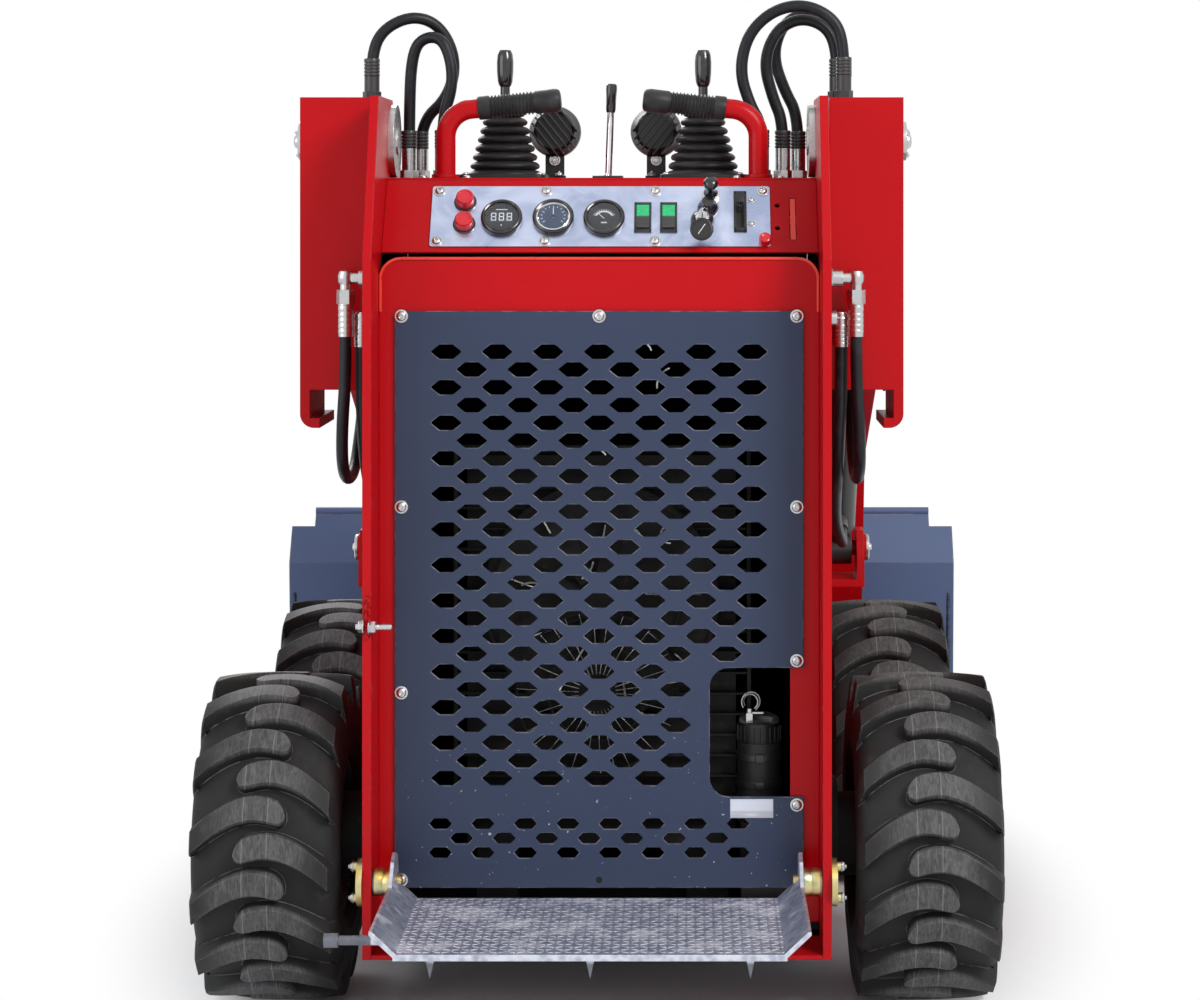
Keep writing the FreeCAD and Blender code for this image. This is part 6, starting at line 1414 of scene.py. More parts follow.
def lamps():
    """Round work lamps: finned cast backs, a rim, a lens with its reflector, and a yoke with its nuts."""
    black, lens, zinc = range(3)
    parts = []
    for side, _ in SIDES:
        x = side * LAMP_X
        at = (x, LAMP_Y - LAMP_HALF + 0.005, LAMP_Z)
        head = lathe(LAMP_SECTION, at, (0, 1, 0), steps=48, slot=black)
        for face in head.faces:
            if abs(face.calc_center_median().y - at[1] - LENS_DEPTH) < 1e-4:
                face.material_index = lens
        parts.append(head)
        for i in range(FINS):
            z = FIN_LOW + FIN_PITCH * i
            half = math.sqrt(LENS_R ** 2 - z ** 2)
            fin = block((-half, FIN_BACK, z - FIN_HALF), (half, FIN_FRONT, z + FIN_HALF), black, 0.0006)
            parts.append(moved(fin, shift(at) @ spin(-side * FIN_TURN, "Y")))
        yoke = [(-YOKE_HALF, 0.0), (YOKE_HALF, 0.0), (YOKE_HALF, YOKE_THICK), (-YOKE_HALF, YOKE_THICK)]
        parts.append(prism(yoke, YOKE_HIGH, (x, LAMP_Y - YOKE_BACK, DECK_TOP + 0.0003), slot=black))
        (x1, y1), (x2, y2), top = YOKE_FOOT
        parts.append(block((x + x1, LAMP_Y + y1, DECK_TOP + SEAM),
                           (x + x2, LAMP_Y + y2, DECK_TOP + top), black, 0.0008))
        parts += hex_head((x, LAMP_Y + YOKE_NUT_Y, DECK_TOP + YOKE_NUT_HIGH), BACK, 0.0065, slot=zinc)
        parts += hex_head((x - side * FOOT_NUT_X, LAMP_Y - YOKE_BACK, DECK_TOP + top), UP, 0.0060, slot=zinc)
    finishes = [moulded_black("lamp_black", 0.012, 0.3), dial_face("lamp_lens", LENS_GREY),
                zinc_plate("lamp_zinc")]
    fitted("finned_lamps", parts, finishes, "root", "black_plastic", "work_lamps")


# ---- rear, inside and filler
GRILLE_FACE = 0.087 - 0.004 - 0.0003 - REAR_DATUM
GRILLE_EDGE = 0.2715  # the screws' distance from the middle line
GRILLE_SCREWS = [(0, 0.961), (-GRILLE_EDGE, 0.961), (GRILLE_EDGE, 0.961), (-GRILLE_EDGE, 0.699),
                 (GRILLE_EDGE, 0.699), (-GRILLE_EDGE, 0.444), (GRILLE_EDGE, 0.488), (-GRILLE_EDGE, 0.187),
                 (GRILLE_EDGE, 0.290)]
EMPTY_HOLE, EMPTY_SECTION = (0, GRILLE_FACE, 0.187), [(0.0044, 0), (0.0040, 0.0004), (0, 0.0002)]
LOWER_LABEL = ((0.1800, GRILLE_FACE - 0.0006, 0.2722), (0.2390, GRILLE_FACE - 0.00005, 0.2808))


def lower_label(film):
    """Second blank film, right below the first."""
    fitted("lower_label", [block(*LOWER_LABEL, 0, 0.0001)], film, "root", "label_white")


def grille_screws(zinc, black):
    """The grille's screws, and the one hole that is left without, drawn as a black disc of painted shade."""
    parts = [button_head((x, GRILLE_FACE, z), BACK, 0.0068) for x, z in GRILLE_SCREWS]
    parts.append(lathe(EMPTY_SECTION, EMPTY_HOLE, BACK, 24, slot=1))
    fitted("grille_screws", parts, [zinc, black], "root", "zinc", "grille_bolts")


COOLER_BACK, COOLER_HALF, COOLER_NEAR = 0.190 - REAR_DATUM, 0.205, 0.001
COOLER_FINS, COOLER_LOW, COOLER_PITCH, COOLER_FIN, COOLER_DEEP = 19, 0.250, 0.029, 0.0028, 0.016
COOLER_POSTS, POST_WIDE, POST_DEEP, POST_LOW, POST_TOP = (-0.208, 0.205), 0.006, 0.020, 0.235, 0.800
FAN_Z, FAN_RINGS, FAN_RING_WIDE, FAN_RING_DEEP, FAN_OUT = 0.560, (0.060, 0.110, 0.160), 0.002, 0.004, 0.010
FAN_BLADES, FAN_PITCH, FAN_BLADE = 9, 0.45, ((0.034, -0.0008, -0.014), (0.150, 0.0008, 0.014))
GUARD_WIRES, GUARD_PLACE, GUARD_RINGS = 34, (-0.004, 0.436), (0.026, 0.068, 0.112)
GUARD_OUT, GUARD_RING_OUT, GUARD_START, WIRE_HALF, GLINT_OUT = 0.026, 0.022, 0.05, 0.0005, 0.018
GLINT_HALF, GLINT_DEEP = 0.0012, 0.0020
# Bent pipes that catch the light: place across and up, radius, and the arc's ends in degrees
GLINTS = ((0.052, 0.905, 0.020, 17, 86), (0.105, 0.862, 0.026, 109, 189), (0.118, 0.838, 0.018, 235, 298),
          (-0.012, 0.752, 0.024, 34, 109), (0.043, 0.650, 0.013, 11, 149), (0.096, 0.655, 0.012, 126, 281),
          (-0.040, 0.620, 0.030, 298, 355), (-0.096, 0.560, 0.028, 52, 120), (-0.142, 0.905, 0.030, 69, 109))
FACING_BACK = spin(math.pi / 2, "X")


def cooler_core():
    """Fins between two posts."""
    low, high = COOLER_BACK - COOLER_DEEP, COOLER_BACK - COOLER_NEAR
    parts = []
    for i in range(COOLER_FINS):
        z = COOLER_LOW + COOLER_PITCH * i
        parts.append(block((-COOLER_HALF, low, z), (COOLER_HALF, high, z + COOLER_FIN)))
    for x in COOLER_POSTS:
        parts.append(block((x, COOLER_BACK - POST_DEEP, POST_LOW), (x + POST_WIDE, high, POST_TOP), 0, 0.001))
    return parts


def fan(y):
    """Rings and pitched blades, with bright worn stretches on the blades' edges."""
    parts = []
    for r in FAN_RINGS:
        ring = hoop(r - FAN_RING_WIDE, r + FAN_RING_WIDE, 0, FAN_RING_DEEP)
        parts.append(lathe(ring, (0, y, FAN_Z), BACK, steps=56))
    hub = shift((0, y - FAN_OUT, FAN_Z))
    for i in range(FAN_BLADES):
        turn = hub @ spin(2 * math.pi / FAN_BLADES * i, "Y")
        pitched = turn @ spin(FAN_PITCH, "X")
        parts.append(moved(block(*FAN_BLADE), pitched))
        for worn, long in ((0.062 + 0.016 * (i % 3), 0.030), (0.118 + 0.007 * (i % 2), 0.022)):
            parts.append(moved(block((worn, -0.0018, 0.0126), (worn + long, 0.0002, 0.0148), 1), pitched))
    return parts


def wire_guard(y):
    """Spokes and rings of a wire guard."""
    x, z = GUARD_PLACE
    hub = shift((x, y - GUARD_OUT, z))
    parts = []
    for i in range(GUARD_WIRES):
        wire = block((GUARD_RINGS[0], -WIRE_HALF, -WIRE_HALF), (GUARD_RINGS[-1], WIRE_HALF, WIRE_HALF), 1)
        spoke = spin(2 * math.pi / GUARD_WIRES * i + GUARD_START, "Y")
        parts.append(moved(wire, hub @ spoke))
    for r in GUARD_RINGS:
        ring = hoop(r - 3 * WIRE_HALF, r + 3 * WIRE_HALF, 0, 6 * WIRE_HALF)
        parts.append(lathe(ring, (x, y - GUARD_RING_OUT, z), (0, 1, 0), steps=48))
    return parts


def behind_grille(iron, steel):
    """What shows through the grille: a finned cooler, a fan, a wire guard, and a few bright pipes."""
    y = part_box("engine_block")[0][1]
    parts = cooler_core() + fan(y) + wire_guard(y)
    for x, z, radius, start, end in GLINTS:
        arc = band(radius - GLINT_HALF, radius + GLINT_HALF, start, end, 0.0, GLINT_DEEP, slot=1)
        parts.append(moved(arc, shift((x, y - GLINT_OUT, z)) @ FACING_BACK))
    fitted("cooler", parts, [iron, steel], "root", "engine_dark")


FILLER_X, FILLER_Y = 0.222, 0.165 - REAR_DATUM
CAP_FOOT, CAP_LID, CAP_LEAN = 0.3612, 0.3915, (0, -0.22, 1)
CAP_SECTION = [(0.0295, 0.0), (0.0300, 0.002), (0.0300, 0.024), (0.0285, 0.0275)]
LID_SECTION = [(0.0282, -0.006), (0.0282, 0.0), (0.0250, 0.0020), (0.0120, 0.0016), (0.0, 0.0006)]
CAP_RIBS, CAP_RIB = 24, ((0.0290, -0.0011, 0.002), (0.0315, 0.0011, 0.023))
CAP_BAR, CAP_BAR_X, CAP_BAR_Z, CAP_BAR_TURN = (0.010, 0.042, 0.0080), 0.004, 0.3895, 0.9
STRAP_HEIGHTS, STRAP_SECTION = (0.300, 0.338), hoop(0.0312, 0.0326, 0, 0.009)
STRAP_LUG = ((-0.006, -0.037, -0.001), (0.006, -0.031, 0.010))
CLASP_PLACE, CLASP_BODY = (-0.014, -0.010, 0.3890), (0.010, 0.012, 0.014)
CLASP_TONGUE = ((-0.004, -0.003, 0.012), (0.020, 0.001, 0.015))
CLASP_NUT_R, CLASP_NUT_HIGH = 0.0048, 0.006
WIRE_LOOPS, WIRE_R = ((0.25, 0.0135), (-0.35, 0.0105)), 0.0008  # turn and radius of each loop
WIRE_PLACE, WIRE_ENDS = (0.002, 0, 0.029), (-60, 215)


def filler_dress(zinc):
    """Ribbed screw cap with a worn top, the straps round the neck, a clasp and its wire loops."""
    black, strap, metal, worn = range(4)
    foot = (FILLER_X, FILLER_Y, CAP_FOOT)
    parts = [lathe(CAP_SECTION, foot, steps=48, slot=black),
             lathe(LID_SECTION, (FILLER_X, FILLER_Y, CAP_LID), CAP_LEAN, steps=48, slot=worn)]
    for i in range(CAP_RIBS):
        turn = shift(foot) @ spin(2 * math.pi / CAP_RIBS * i, "Z")
        parts.append(moved(block(*CAP_RIB, black, 0.0005), turn))
    bar_stand = shift((FILLER_X + CAP_BAR_X, FILLER_Y, CAP_BAR_Z))
    parts.append(moved(pad(CAP_BAR, worn, 0.002), bar_stand @ spin(CAP_BAR_TURN, "Z")))
    for z in STRAP_HEIGHTS:
        spot = (FILLER_X, FILLER_Y, z)
        parts.append(lathe(STRAP_SECTION, spot, steps=48, slot=strap))
        parts.append(moved(block(*STRAP_LUG, strap, 0.001), shift(spot)))
    clasp = shift((FILLER_X + CLASP_PLACE[0], FILLER_Y + CLASP_PLACE[1], CLASP_PLACE[2]))
    nut = prism(ring_of(6, CLASP_NUT_R), CLASP_NUT_HIGH, (0, 0, CLASP_BODY[2]), chamfer=0.0008, slot=metal)
    for piece in (pad(CLASP_BODY, metal, 0.0015), block(*CLASP_TONGUE, metal, 0.0008), nut):
        parts.append(moved(piece, clasp))
    for tilt, radius in WIRE_LOOPS:
        loop = band(radius - WIRE_R, radius + WIRE_R, *WIRE_ENDS, -WIRE_R, 2 * WIRE_R, slot=metal)
        stand = clasp @ shift(WIRE_PLACE) @ spin(tilt, "Z") @ FACING_BACK
        parts.append(moved(loop, stand))
    finishes = [moulded_black("cap_black", 0.010, 0.3), cylinder_black(), zinc,
                moulded_black("cap_worn", 0.085, 0.5)]
    fitted("filler_dress", parts, finishes, "root", "black_plastic")


# ---- hose ends
CRIMP_GROOVES, CRIMP_FIRST, CRIMP_PITCH = 4, 0.14, 0.19  # a count, and shares of the sleeve's length
CRIMP_OUT, CRIMP_IN = 1.03, 0.97  # shares of its radius


def crimp(foot, start, end, radius):
    """An upright grooved sleeve between two heights over a hose's end."""
    x, y, z = foot
    length = end - start
    section = [(radius * 0.96, 0.0), (radius * CRIMP_OUT, length * 0.04)]
    for i in range(CRIMP_GROOVES):
        at = CRIMP_FIRST + CRIMP_PITCH * i
        section += [(radius * CRIMP_OUT, length * at), (radius * CRIMP_IN, length * (at + 0.03)),
                    (radius * CRIMP_IN, length * (at + 0.06)), (radius * CRIMP_OUT, length * (at + 0.09))]
    section += [(radius * CRIMP_OUT, length * 0.94), (radius * 0.98, length)]
    return lathe(section, (x, y, z + start), steps=24)


ARM_CRIMP, ARM_CRIMP_R, LIFT_CRIMP_R = (0, 0.026), 0.0112, 0.0107
UPPER_CRIMP, LOWER_CRIMP = (0.004, 0.044), (0.002, 0.032)
NUT_R, NUT_HIGH, NUT_LIFT, ELBOW_LIFT = 0.0130, 0.020, 0.046, 0.082
UPPER_ELBOW = [(0, -0.0125), (0.007, -0.0105), (0.0110, -0.005), (0.0112, 0.004), (0.009, 0.010), (0, 0.012)]
LOWER_ELBOW, LOWER_ELBOW_Z = [(0, -0.012), (0.008, -0.009), (0.0115, 0), (0.008, 0.009), (0, 0.012)], 0.954
PLATE_FACE, BULKHEAD_Z, BULKHEAD_R, BULKHEAD_HIGH = 0.3152, 1.011, 0.0150, 0.010


def hose_ends(zinc, black_enamel):
    """Crimped ferrules and elbows; those on the arms and the deck are black, the rest zinc plated."""
    sets = {"deck": [], "root": [], "lift_arms": []}
    for node, route in {**ARM_ROUTES, **DECK_ROUTES}.items():
        far = "deck" if node in DECK_ROUTES else "lift_arms"
        for point, place in ((route[0], far), (route[-1], "deck")):
            sets[place].append(crimp(in_frame(point), *ARM_CRIMP, ARM_CRIMP_R))
    root = sets["root"]
    for side, _ in SIDES:
        foot = x, y, z = in_frame(UPPER_LIFT_ROUTE[0], side)
        root.append(crimp(foot, *UPPER_CRIMP, LIFT_CRIMP_R))
        root.append(prism(ring_of(6, NUT_R), NUT_HIGH, (x, y, z + NUT_LIFT)))
        root.append(lathe(UPPER_ELBOW, (x, y, z + ELBOW_LIFT), steps=24))
        root += hex_head((side * PLATE_FACE, y, BULKHEAD_Z), (side, 0, 0), BULKHEAD_R, BULKHEAD_HIGH)
        foot = x, y, z = in_frame(LOWER_LIFT_ROUTE[0], side)
        root.append(crimp(foot, *LOWER_CRIMP, LIFT_CRIMP_R))
        root.append(lathe(LOWER_ELBOW, (x, y, LOWER_ELBOW_Z), steps=24))
    fitted("crimped_ends_root", root, zinc, "root", "zinc")
    fitted("crimped_ends_deck", sets["deck"], black_enamel, "root", "zinc")
    fitted("crimped_ends_lift_arms", sets["lift_arms"], black_enamel, "lift_arms", "zinc")


# ---- footboard
BOARD_HALF, BOARD_WING = 0.246, 0.030
BOARD_Y = (-0.250 - REAR_DATUM, 0.016 - REAR_DATUM)
BOARD_TOP, WING_RISE = 0.180, 0.028
LOZENGE_LONG, LOZENGE_WIDE, LOZENGE_HIGH, LOZENGE_SUNK = 0.0140, 0.0042, 0.0008, 0.0001
LOZENGE_TAPER, LOZENGE_TOP = 0.4, (0.72, 0.55)  # where it narrows, and its top, as shares
LOZENGE_PITCH, LOZENGE_TURN = 0.0118, math.radians(32)
TREAD_START_X, TREAD_START_Y, TREAD_END_X = 0.006, 0.012, 0.004
WING_STEPS = (0.009, 0.0195, 0.030)


def lozenge(turn):
    """One raised pointed bar of the tread."""
    a, b = LOZENGE_LONG / 2, LOZENGE_WIDE / 2
    c = a * LOZENGE_TAPER
    bm = bmesh.new()
    low = [bm.verts.new((x, y, 0)) for x, y in ((-a, 0), (-c, -b), (c, -b), (a, 0), (c, b), (-c, b))]
    top = [bm.verts.new((v.co.x * LOZENGE_TOP[0], v.co.y * LOZENGE_TOP[1], LOZENGE_HIGH)) for v in low]
    for i in range(6):
        j = (i + 1) % 6
        bm.faces.new((low[i], low[j], top[j], top[i]))
    bm.faces.new(top)
    return moved(bm, spin(turn, "Z"))


def tread_plate(material):
    """Crossed lozenges on the footboard and on its wings."""
    parts = []
    low, high = BOARD_Y
    lean = math.atan2(WING_RISE, BOARD_WING)
    rows = int((high - low - TREAD_START_Y) / LOZENGE_PITCH)
    columns = int((2 * BOARD_HALF - TREAD_END_X) / LOZENGE_PITCH)
    for row in range(rows + 1):
        y = low + TREAD_START_Y + row * LOZENGE_PITCH
        for column in range(columns + 1):
            x = -BOARD_HALF + TREAD_START_X + column * LOZENGE_PITCH
            turn = LOZENGE_TURN if (row + column) % 2 else -LOZENGE_TURN
            parts.append(moved(lozenge(turn), shift((x, y, BOARD_TOP - LOZENGE_SUNK))))
        turn = LOZENGE_TURN if row % 2 else -LOZENGE_TURN
        for side, _ in SIDES:
            for step in WING_STEPS:
                spot = (side * (BOARD_HALF + step * math.cos(lean)), y,
                        BOARD_TOP + step * math.sin(lean) + LOZENGE_SUNK)
                stand = shift(spot) @ spin(-side * lean, "Y")
                parts.append(moved(lozenge(turn), stand))
    fitted("tread_lozenges", parts, material, "footboard_platform", "bare_steel", smooth_angle=20)


# ---- arms, bucket and wheels
PIVOT_Y, PIVOT_Z, PIVOT_NIPPLE_X, PIVOT_NIPPLE_R = 0.240 - REAR_DATUM, 1.205, 0.434, 0.011
PIVOT_SCREWS, PIVOT_SCREW_X, PIVOT_SCREW_RING, PIVOT_SCREW_R, PIVOT_START = 3, 0.4338, 0.0200, 0.0045, 0.4
ARM_FACE, HINGE_Y, HINGE_Z = 0.4352, 1.214 - REAR_DATUM, 0.150
HINGE_DISC = [(0.0215, 0), (0.0215, 0.004), (0.0190, 0.0052), (0, 0.0052)]
HINGE_BOLT_OUT, HINGE_BOLT_R = 0.005, 0.0085
ROD_PIN_Y, ROD_PIN_Z, ROD_PIN_OUT, ROD_PIN_R = 0.430 - REAR_DATUM, 0.955, 0.0044, 0.007
ROD_PIN_DISC = [(0.0205, 0), (0.0205, 0.003), (0.0180, 0.0045), (0, 0.0045)]
CLEVIS_X, CLEVIS_Y, CLEVIS_Z, CLEVIS_OUT, CLEVIS_R = 0.408, 0.697 - REAR_DATUM, 0.563, 0.0048, 0.0062
CLEVIS_DISC = [(0.0205, 0), (0.0205, 0.0035), (0.0180, 0.005), (0, 0.005)]


def arm_dress(zinc):
    """Heads, discs and screws of the pins that carry the arms, the rods, the bucket and the cylinders."""
    pivot, pins, clevises = [], [], []
    for side, _ in SIDES:
        out = (side, 0, 0)
        pivot.append(button_head((side * PIVOT_NIPPLE_X, PIVOT_Y, PIVOT_Z), out, PIVOT_NIPPLE_R))
        for y, z in ring_of(PIVOT_SCREWS, PIVOT_SCREW_RING, PIVOT_START):
            pivot += hex_head((side * PIVOT_SCREW_X, PIVOT_Y + y, PIVOT_Z + z), out, PIVOT_SCREW_R)
        pins.append(lathe(HINGE_DISC, (side * ARM_FACE, HINGE_Y, HINGE_Z), out, 32))
        pins += hex_head((side * (ARM_FACE + HINGE_BOLT_OUT), HINGE_Y, HINGE_Z), out, HINGE_BOLT_R)
        pins.append(lathe(ROD_PIN_DISC, (side * ARM_FACE, ROD_PIN_Y, ROD_PIN_Z), out, 32))
        pins.append(button_head((side * (ARM_FACE + ROD_PIN_OUT), ROD_PIN_Y, ROD_PIN_Z), out, ROD_PIN_R))
        clevises.append(lathe(CLEVIS_DISC, (side * CLEVIS_X, CLEVIS_Y, CLEVIS_Z), out, 32))
        clevises.append(button_head((side * (CLEVIS_X + CLEVIS_OUT), CLEVIS_Y, CLEVIS_Z), out, CLEVIS_R))
    fitted("pivot_dress", pivot, zinc, "root", "zinc")
    fitted("arm_pin_heads", pins, zinc, "lift_arms", "zinc")
    fitted("clevis_heads", clevises, zinc, "root", "zinc")


TUBE_WELD_X, TUBE_WELD_IN, TUBE_WELD_R, TUBE_WELD_POINTS = 0.3225, 0.0035, 0.0036, 21
TUBE_WELDS = ((0.905, 0.797, 0.0515), (1.072, 0.705, 0.0335))  # Y, Z and radius round each cross tube
BOX_WELD_X, BOX_WELD_Z, BOX_WELD_Y, BOX_WELD_R = 0.400, 0.8525, (0.194, 0.340), 0.0028


def arm_welds(red):
    """Weld beads round the cross tubes' ends and along the arms' lower plates."""
    parts = []
    for side, _ in SIDES:
        x = side * (TUBE_WELD_X - TUBE_WELD_IN)
        for y, z, radius in TUBE_WELDS:
            turns = [2 * math.pi * i / (TUBE_WELD_POINTS - 1) for i in range(TUBE_WELD_POINTS)]
            line = [(x, y - REAR_DATUM + radius * math.cos(a), z + radius * math.sin(a)) for a in turns]
            parts += weld(line, TUBE_WELD_R)
        parts += weld([(side * BOX_WELD_X, y - REAR_DATUM, BOX_WELD_Z) for y in BOX_WELD_Y], BOX_WELD_R)
    fitted("arm_welds", parts, red, "lift_arms", "red_paint", smooth_angle=60)


BUCKET_WELD_X, BUCKET_WELD_R = 0.6005, 0.0042
BUCKET_BACK_WELD = ((1.300, 0.18), (1.2935, 0.30), (1.2905, 0.40))
BUCKET_FLOOR_WELD = ((1.42, 0.0115), (1.60, 0.0115))
PLOUGH_BOLTS, PLOUGH_FIRST, PLOUGH_PITCH, PLOUGH_Y, PLOUGH_Z = 7, -0.51, 0.17, 1.630 - REAR_DATUM, 0.0238
PLOUGH_HEAD = [(0.0125, 0), (0.0120, 0.0022), (0.0085, 0.0040), (0.0, 0.0046)]


def bucket_dress(steel, slate):
    """Weld beads along the bucket's ends, and the plough bolts of its edge."""
    parts = []
    for side, _ in SIDES:
        for line in (BUCKET_BACK_WELD, BUCKET_FLOOR_WELD):
            parts += weld([(side * BUCKET_WELD_X, y - REAR_DATUM, z) for y, z in line], BUCKET_WELD_R)
    fitted("bucket_welds", parts, slate, "bucket_assembly", "slate_paint", smooth_angle=60)
    bolts = [lathe(PLOUGH_HEAD, (PLOUGH_FIRST + PLOUGH_PITCH * i, PLOUGH_Y, PLOUGH_Z), steps=20)
             for i in range(PLOUGH_BOLTS)]
    fitted("plough_bolts", bolts, steel, "bucket_assembly", "bare_steel")


WHEEL_Z, WHEEL_Y = 0.225, {"rear": 0.192 - REAR_DATUM, "front": 0.872 - REAR_DATUM}
WHEEL_FACE = 0.550 - 0.014 - 0.062 + 0.008
WHEEL_NUTS, NUT_RING, NUT_START, WHEEL_NUT_R, WHEEL_NUT_HIGH = 5, 0.0555, 0.3, 0.0105, 0.010
HUB_CAP = [(0.0300, 0.010), (0.0300, 0.0225), (0.0275, 0.0250), (0.0120, 0.0262), (0.0, 0.0262)]
HUB_IN = 0.002
VALVE_SECTION = [(0.0048, -0.004), (0.0048, 0.010), (0.0036, 0.012), (0.0036, 0.026), (0.0044, 0.0265),
                 (0.0044, 0.034), (0, 0.0345)]
VALVE_X, VALVE_Y, VALVE_Z, VALVE_LEAN = 0.550 - 0.056, 0.083, 0.030, (0.3, -0.05)


def wheel_dress(zinc, black):
    """Nuts, hub cap and valve of each wheel."""
    for end, y in WHEEL_Y.items():
        for side, word in SIDES:
            out, body = (side, 0, 0), f"wheel_{end}_{word}"
            parts = []
            for dy, dz in ring_of(WHEEL_NUTS, NUT_RING, NUT_START):
                parts += hex_head((side * WHEEL_FACE, y + dy, WHEEL_Z + dz), out, WHEEL_NUT_R, WHEEL_NUT_HIGH)
            parts.append(lathe(HUB_CAP, (side * (WHEEL_FACE - HUB_IN), y, WHEEL_Z), out, 36))
            fitted(f"wheel_nuts_{end}_{word}", parts, zinc, body, "zinc")
            spot = (side * VALVE_X, y + VALVE_Y, WHEEL_Z + VALVE_Z)
            valve = lathe(VALVE_SECTION, spot, (side, *VALVE_LEAN), 16)
            fitted(f"valve_{end}_{word}", [valve], black, body, "black_rubber")


CLAMP_X, CLAMP_Y, CLAMP_Z, CLAMP_HALF = -0.309, -REAR_DATUM, 0.548, 0.003
CLAMP_DEEP, CLAMP_BELOW, CLAMP_ABOVE, CLAMP_AXIS = 0.006, 0.016, 0.040, 0.0035
CLAMP_BOLT = [(0.0042, 0), (0.0042, 0.030), (0.0030, 0.0315), (0, 0.0315)]
TETHER_LINKS, LINK_R, LINK_WIRE, LINK_PITCH = 5, 0.0048, 0.0012, 0.0064
LINK_ANGLES = (0, 1.05, 2.09, 3.14, 4.19, 5.24)
LINK_STRETCH = Matrix.Diagonal((1, 1, 1.2, 1))


def lanyard_bolt(zinc, red):
    """Clamp bolt on the left side plate's rear edge, with its short tether."""
    x, y, z, half = CLAMP_X, CLAMP_Y, CLAMP_Z, CLAMP_HALF
    axis = y - CLAMP_AXIS
    parts = [block((x - half, y - CLAMP_DEEP, z - CLAMP_BELOW), (x + half, y, z + CLAMP_ABOVE), 1, 0.0012)]
    parts += hex_head((x + half, axis, z), (1, 0, 0), 0.0085, 0.010)
    parts.append(lathe(CLAMP_BOLT, (x + half, axis, z), (1, 0, 0), 16))
    parts += hex_head((x - half, axis, z), (-1, 0, 0), 0.0080, 0.008)
    ring = [(LINK_R + LINK_WIRE * math.cos(a), LINK_WIRE * math.sin(a)) for a in LINK_ANGLES]
    for i in range(TETHER_LINKS):
        link = lathe(ring + ring[:1], axis=(1, 0, 0) if i % 2 else (0.5, 1, 0), steps=18, slot=1)
        spot = shift((x + 0.001, y - 0.0085, z + 0.008 + LINK_PITCH * i))
        parts.append(moved(link, spot @ LINK_STRETCH))
    fitted("lanyard_bolt", parts, [zinc, red], "root", "zinc")


BUSH_X, BUSH_Y, BUSH_Z = 0.2775, 0.022 - REAR_DATUM, 0.200
SLEEVE_SECTION = [(0.0181, 0), (0.0190, 0.0008), (0.0190, 0.0085), (0.0184, 0.0095), (0.0184, 0.0120),
                  (0.0190, 0.0130), (0.0190, 0.0225), (0.0181, 0.0232), (0.0181, 0)]


def bush_sleeves(yellow):
    """Yellow passivated sleeves over the footboard's pivot bushes."""
    parts = [lathe(SLEEVE_SECTION, (side * BUSH_X, BUSH_Y, BUSH_Z), (side, 0, 0), 36) for side, _ in SIDES]
    fitted("bush_sleeves", parts, yellow, "footboard_platform", "zinc")


SLOT_LIGHT_PATCH = ((0.2648, -0.0415, -0.0014), (0.2722, 0.0268, -0.0004))


def slot_strip(red_lit):
    """Tab of the cover seen through the console's slot, in bright red as a painted patch of light."""
    fitted("slot_strip", [on_console(block(*SLOT_LIGHT_PATCH), 0, 0, 0)], red_lit, "root", "red_paint")


COVER_FACE, COVER_HALF, COVER_TOP, COVER_CORNER = 0.087 - REAR_DATUM, 0.3025, 1.042, 0.030
COVER_BEAD, BEAD_PROUD, BEAD_SUNK, BEAD_FOOT = 0.0036, 0.0024, 0.0002, 0.075


def cover_bead(red_lit):
    """Rolled bead along the rear cover's top edge and round its corners, in the brighter red of a painted
    highlight.
    """
    low, high = COVER_FACE - BEAD_PROUD, COVER_FACE - BEAD_SUNK
    straight, bend = COVER_HALF - COVER_CORNER, COVER_TOP - COVER_CORNER
    parts = [block((-straight, low, COVER_TOP - COVER_BEAD), (straight, high, COVER_TOP), 0, 0.0008)]
    for side, _ in SIDES:
        near, far = sorted((side * COVER_HALF, side * (COVER_HALF - COVER_BEAD)))
        parts.append(block((near, low, COVER_TOP - BEAD_FOOT), (far, high, bend), 0, 0.0008))
        start = 0 if side > 0 else 90
        arc = band(COVER_CORNER - COVER_BEAD, COVER_CORNER, start, start + 90, 0.0, high - low)
        parts.append(moved(arc, shift((side * straight, high, bend)) @ FACING_BACK))
    fitted("cover_bead", parts, red_lit, "root", "red_paint")


# Screws of the hood and the nose: Y from the datum and Z, with the slope of the sheet that they stand on
HOOD_SCREWS = (((0.420, 1.0906), (0.600, 0.8200), (0.8332, 0.5530)),
               ((0.700, 0.7055), (0.820, 0.5965), (0.673, 0.740)),
               ((0.900, 0.5180), (1.000, 0.4120), (0.727, 0.686)))
HOOD_SCREW_X, HOOD_SCREW_R = 0.280, 0.006
FLANGE_X, FLANGE_UP, FLANGE_NUT_R = 0.3292, 0.021, 0.0062


def body_screws(zinc):
    """Screws of the hood and the nose, and the nuts of the footboard's pivots."""
    parts = []
    for side, _ in SIDES:
        for *spots, slope in HOOD_SCREWS:
            for y, z in spots:
                spot = (side * HOOD_SCREW_X, y - REAR_DATUM, z)
                parts.append(button_head(spot, (0, *slope), HOOD_SCREW_R))
        for dz in (-FLANGE_UP, FLANGE_UP):
            parts += hex_head((side * FLANGE_X, BUSH_Y, BUSH_Z + dz), (side, 0, 0), FLANGE_NUT_R)
    fitted("body_screws", parts, zinc, "root", "zinc")


# ---- putting it together
def show_white(nodes, usual, white, share=None):
    """White where the camera, a reflection or a pane shows it, and the usual shader for light elsewhere."""
    seen = nodes.node("ShaderNodeLightPath", output="Is Camera Ray")
    rays = seen.socket.node.outputs
    for name in ("Is Glossy Ray", "Is Transmission Ray"):
        seen = seen.sum("ADD", seen, Value(nodes, rays[name]), clamp=True)
    if share:
        seen = seen * share
    return nodes.node("ShaderNodeMixShader", inputs={0: seen, 1: usual, 2: white})


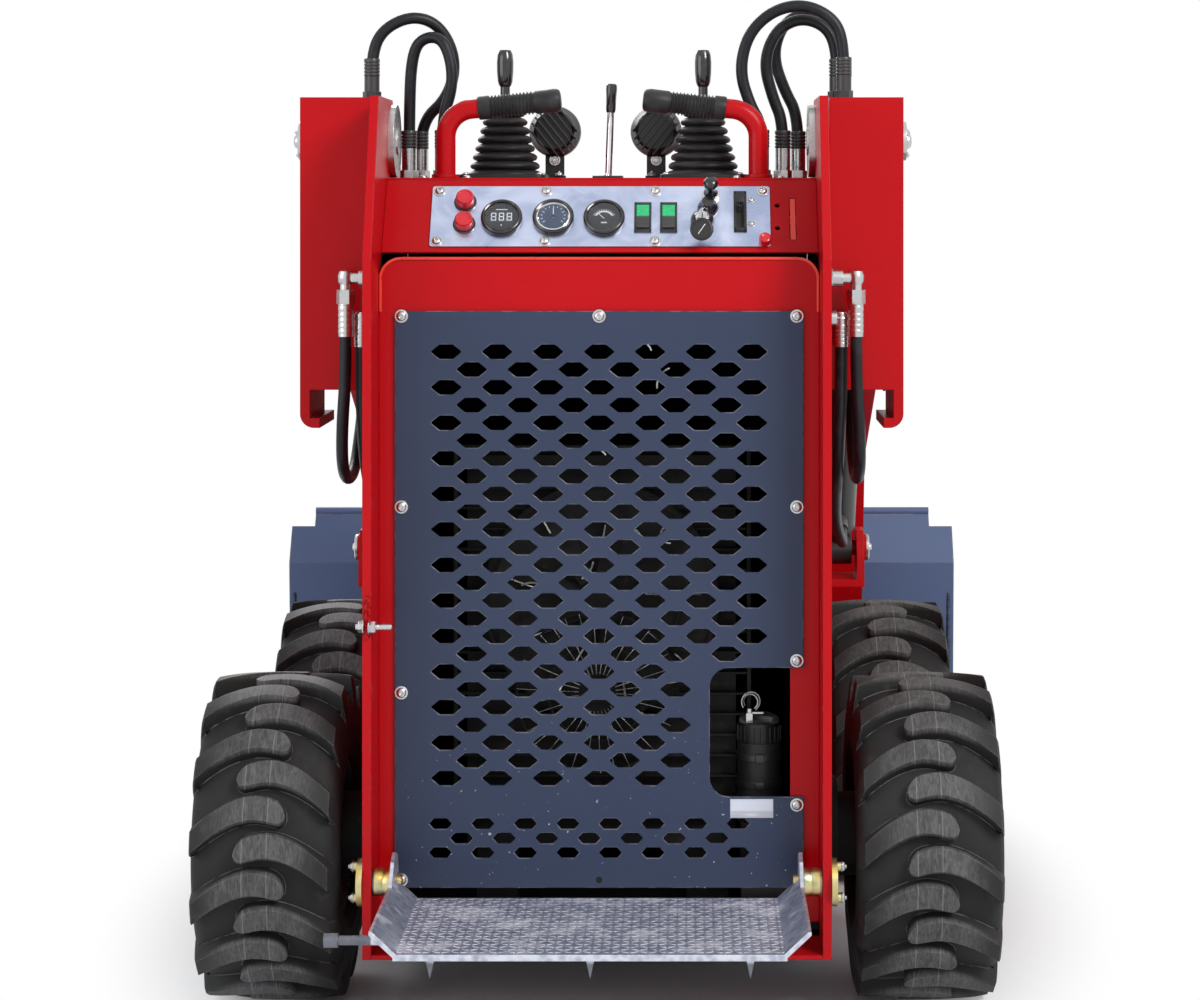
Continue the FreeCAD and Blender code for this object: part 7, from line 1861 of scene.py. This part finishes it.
def studio():
    """A floor that fades to white round the machine's shade, a pale sky and three lamps."""
    finish = Finish("studio_floor", Roughness=0.9)
    finish.out(Base_Color=FLOOR_COLOUR)
    x, y, _ = finish.axes()
    across, ahead = x / FLOOR_REACH[0], y / FLOOR_REACH[1]
    away = ((across * across + ahead * ahead) ** 0.5).ramp(FLOOR_NEAR, FLOOR_FAR)
    glow = finish.node("ShaderNodeEmission")
    surface = show_white(finish, Value(finish, finish.shader.outputs[0]), glow, away)
    finish.feed(finish.tree.nodes["Material Output"].inputs[0], surface)
    bm = bmesh.new()
    bmesh.ops.create_grid(bm, x_segments=2, y_segments=2, size=FLOOR_SIZE)
    floor = add_mesh("studio_floor", bm, finish.material)
    floor.location.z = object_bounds()[0][2] - FLOOR_GAP
    floor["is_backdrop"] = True
    world = bpy.data.worlds.new("studio")
    world.use_nodes = True
    sky = Nodes(world.node_tree)
    usual = sky.tree.nodes["Background"]
    usual.inputs["Color"].default_value = SKY_COLOUR
    usual.inputs["Strength"].default_value = SKY_STRENGTH
    white = sky.node("ShaderNodeBackground", inputs={"Color": (1, 1, 1)})
    surface = show_white(sky, Value(sky, usual.outputs[0]), white)
    sky.feed(sky.tree.nodes["World Output"].inputs[0], surface)
    bpy.context.scene.world = world
    for name, values in LAMPS.items():
        lamp(name, *values)
    bpy.context.scene.view_settings.view_transform = "Standard"


camera()
studio()
all_hoses(hose_cover())
red, slate = red_paint(), slate_paint()
zinc, steel_black = zinc_plate(), cylinder_black()
# These pieces' red turns near black inside the engine's enclosure, as painted shade.
paint(red_paint("red_paint_tower", tower=True), "side_plate_right", "side_plate_left",
      "chassis_floor", "front_hood", "deck_plate", "rear_cover")
paint(red, "console", "grab_handles", "lift_brackets", "arm_right", "arm_left", "arm_cross_tubes")
paint(slate, "grille", "attach_plate")
paint(earth_worn_steel(), "bucket")
paint(worn_edge_steel(), "cutting_edge")
board_zinc = galvanised()
paint(board_zinc, "footboard")
paint(zinc, "chassis_unions", "pivot_pins")
paint(steel_black, "arm_unions")
brassy = yellow_zinc()
paint(brassy, "board_pivots")
paint(panel_aluminium(), "instrument_panel")
film = label_film()
paint(film, "blank_label")
lower_label(film)
paint(moulded_black(), "fuel_filler")
paint(steel_black, "lift_barrel_right", "lift_barrel_left", "tilt_barrel")
paint(chrome_rod(), "lift_rod_right", "lift_rod_left", "tilt_rod")
iron = cast_iron()
paint(iron, "engine_block", "wheel_motors")
all_wheels(tyre_rubber(), slate)
gauges()
switches()
panel_handles()
panel_screws(zinc)
bellows()
ribbed_grips()
handle_screws(zinc)
hand_levers()
lamps()
# The black disc for the empty hole is painted shade.
grille_screws(zinc, moulded_black("hole_shade_black", 0.004, 0.7))
behind_grille(iron, zinc)
filler_dress(zinc)
hose_ends(zinc, steel_black)
tread_plate(board_zinc)
arm_dress(zinc)
arm_welds(red)
bucket_dress(zinc, slate)
wheel_dress(zinc, moulded_black("valve_black"))
body_screws(zinc)
lanyard_bolt(zinc, red)
bush_sleeves(brassy)
# A brighter red as painted light, for the slot's patch and the cover's bead.
painted_light_red = red_plastic("painted_light_red", PAINTED_LIGHT_DEEP, PAINTED_LIGHT_PALE)
slot_strip(painted_light_red)
cover_bead(painted_light_red)
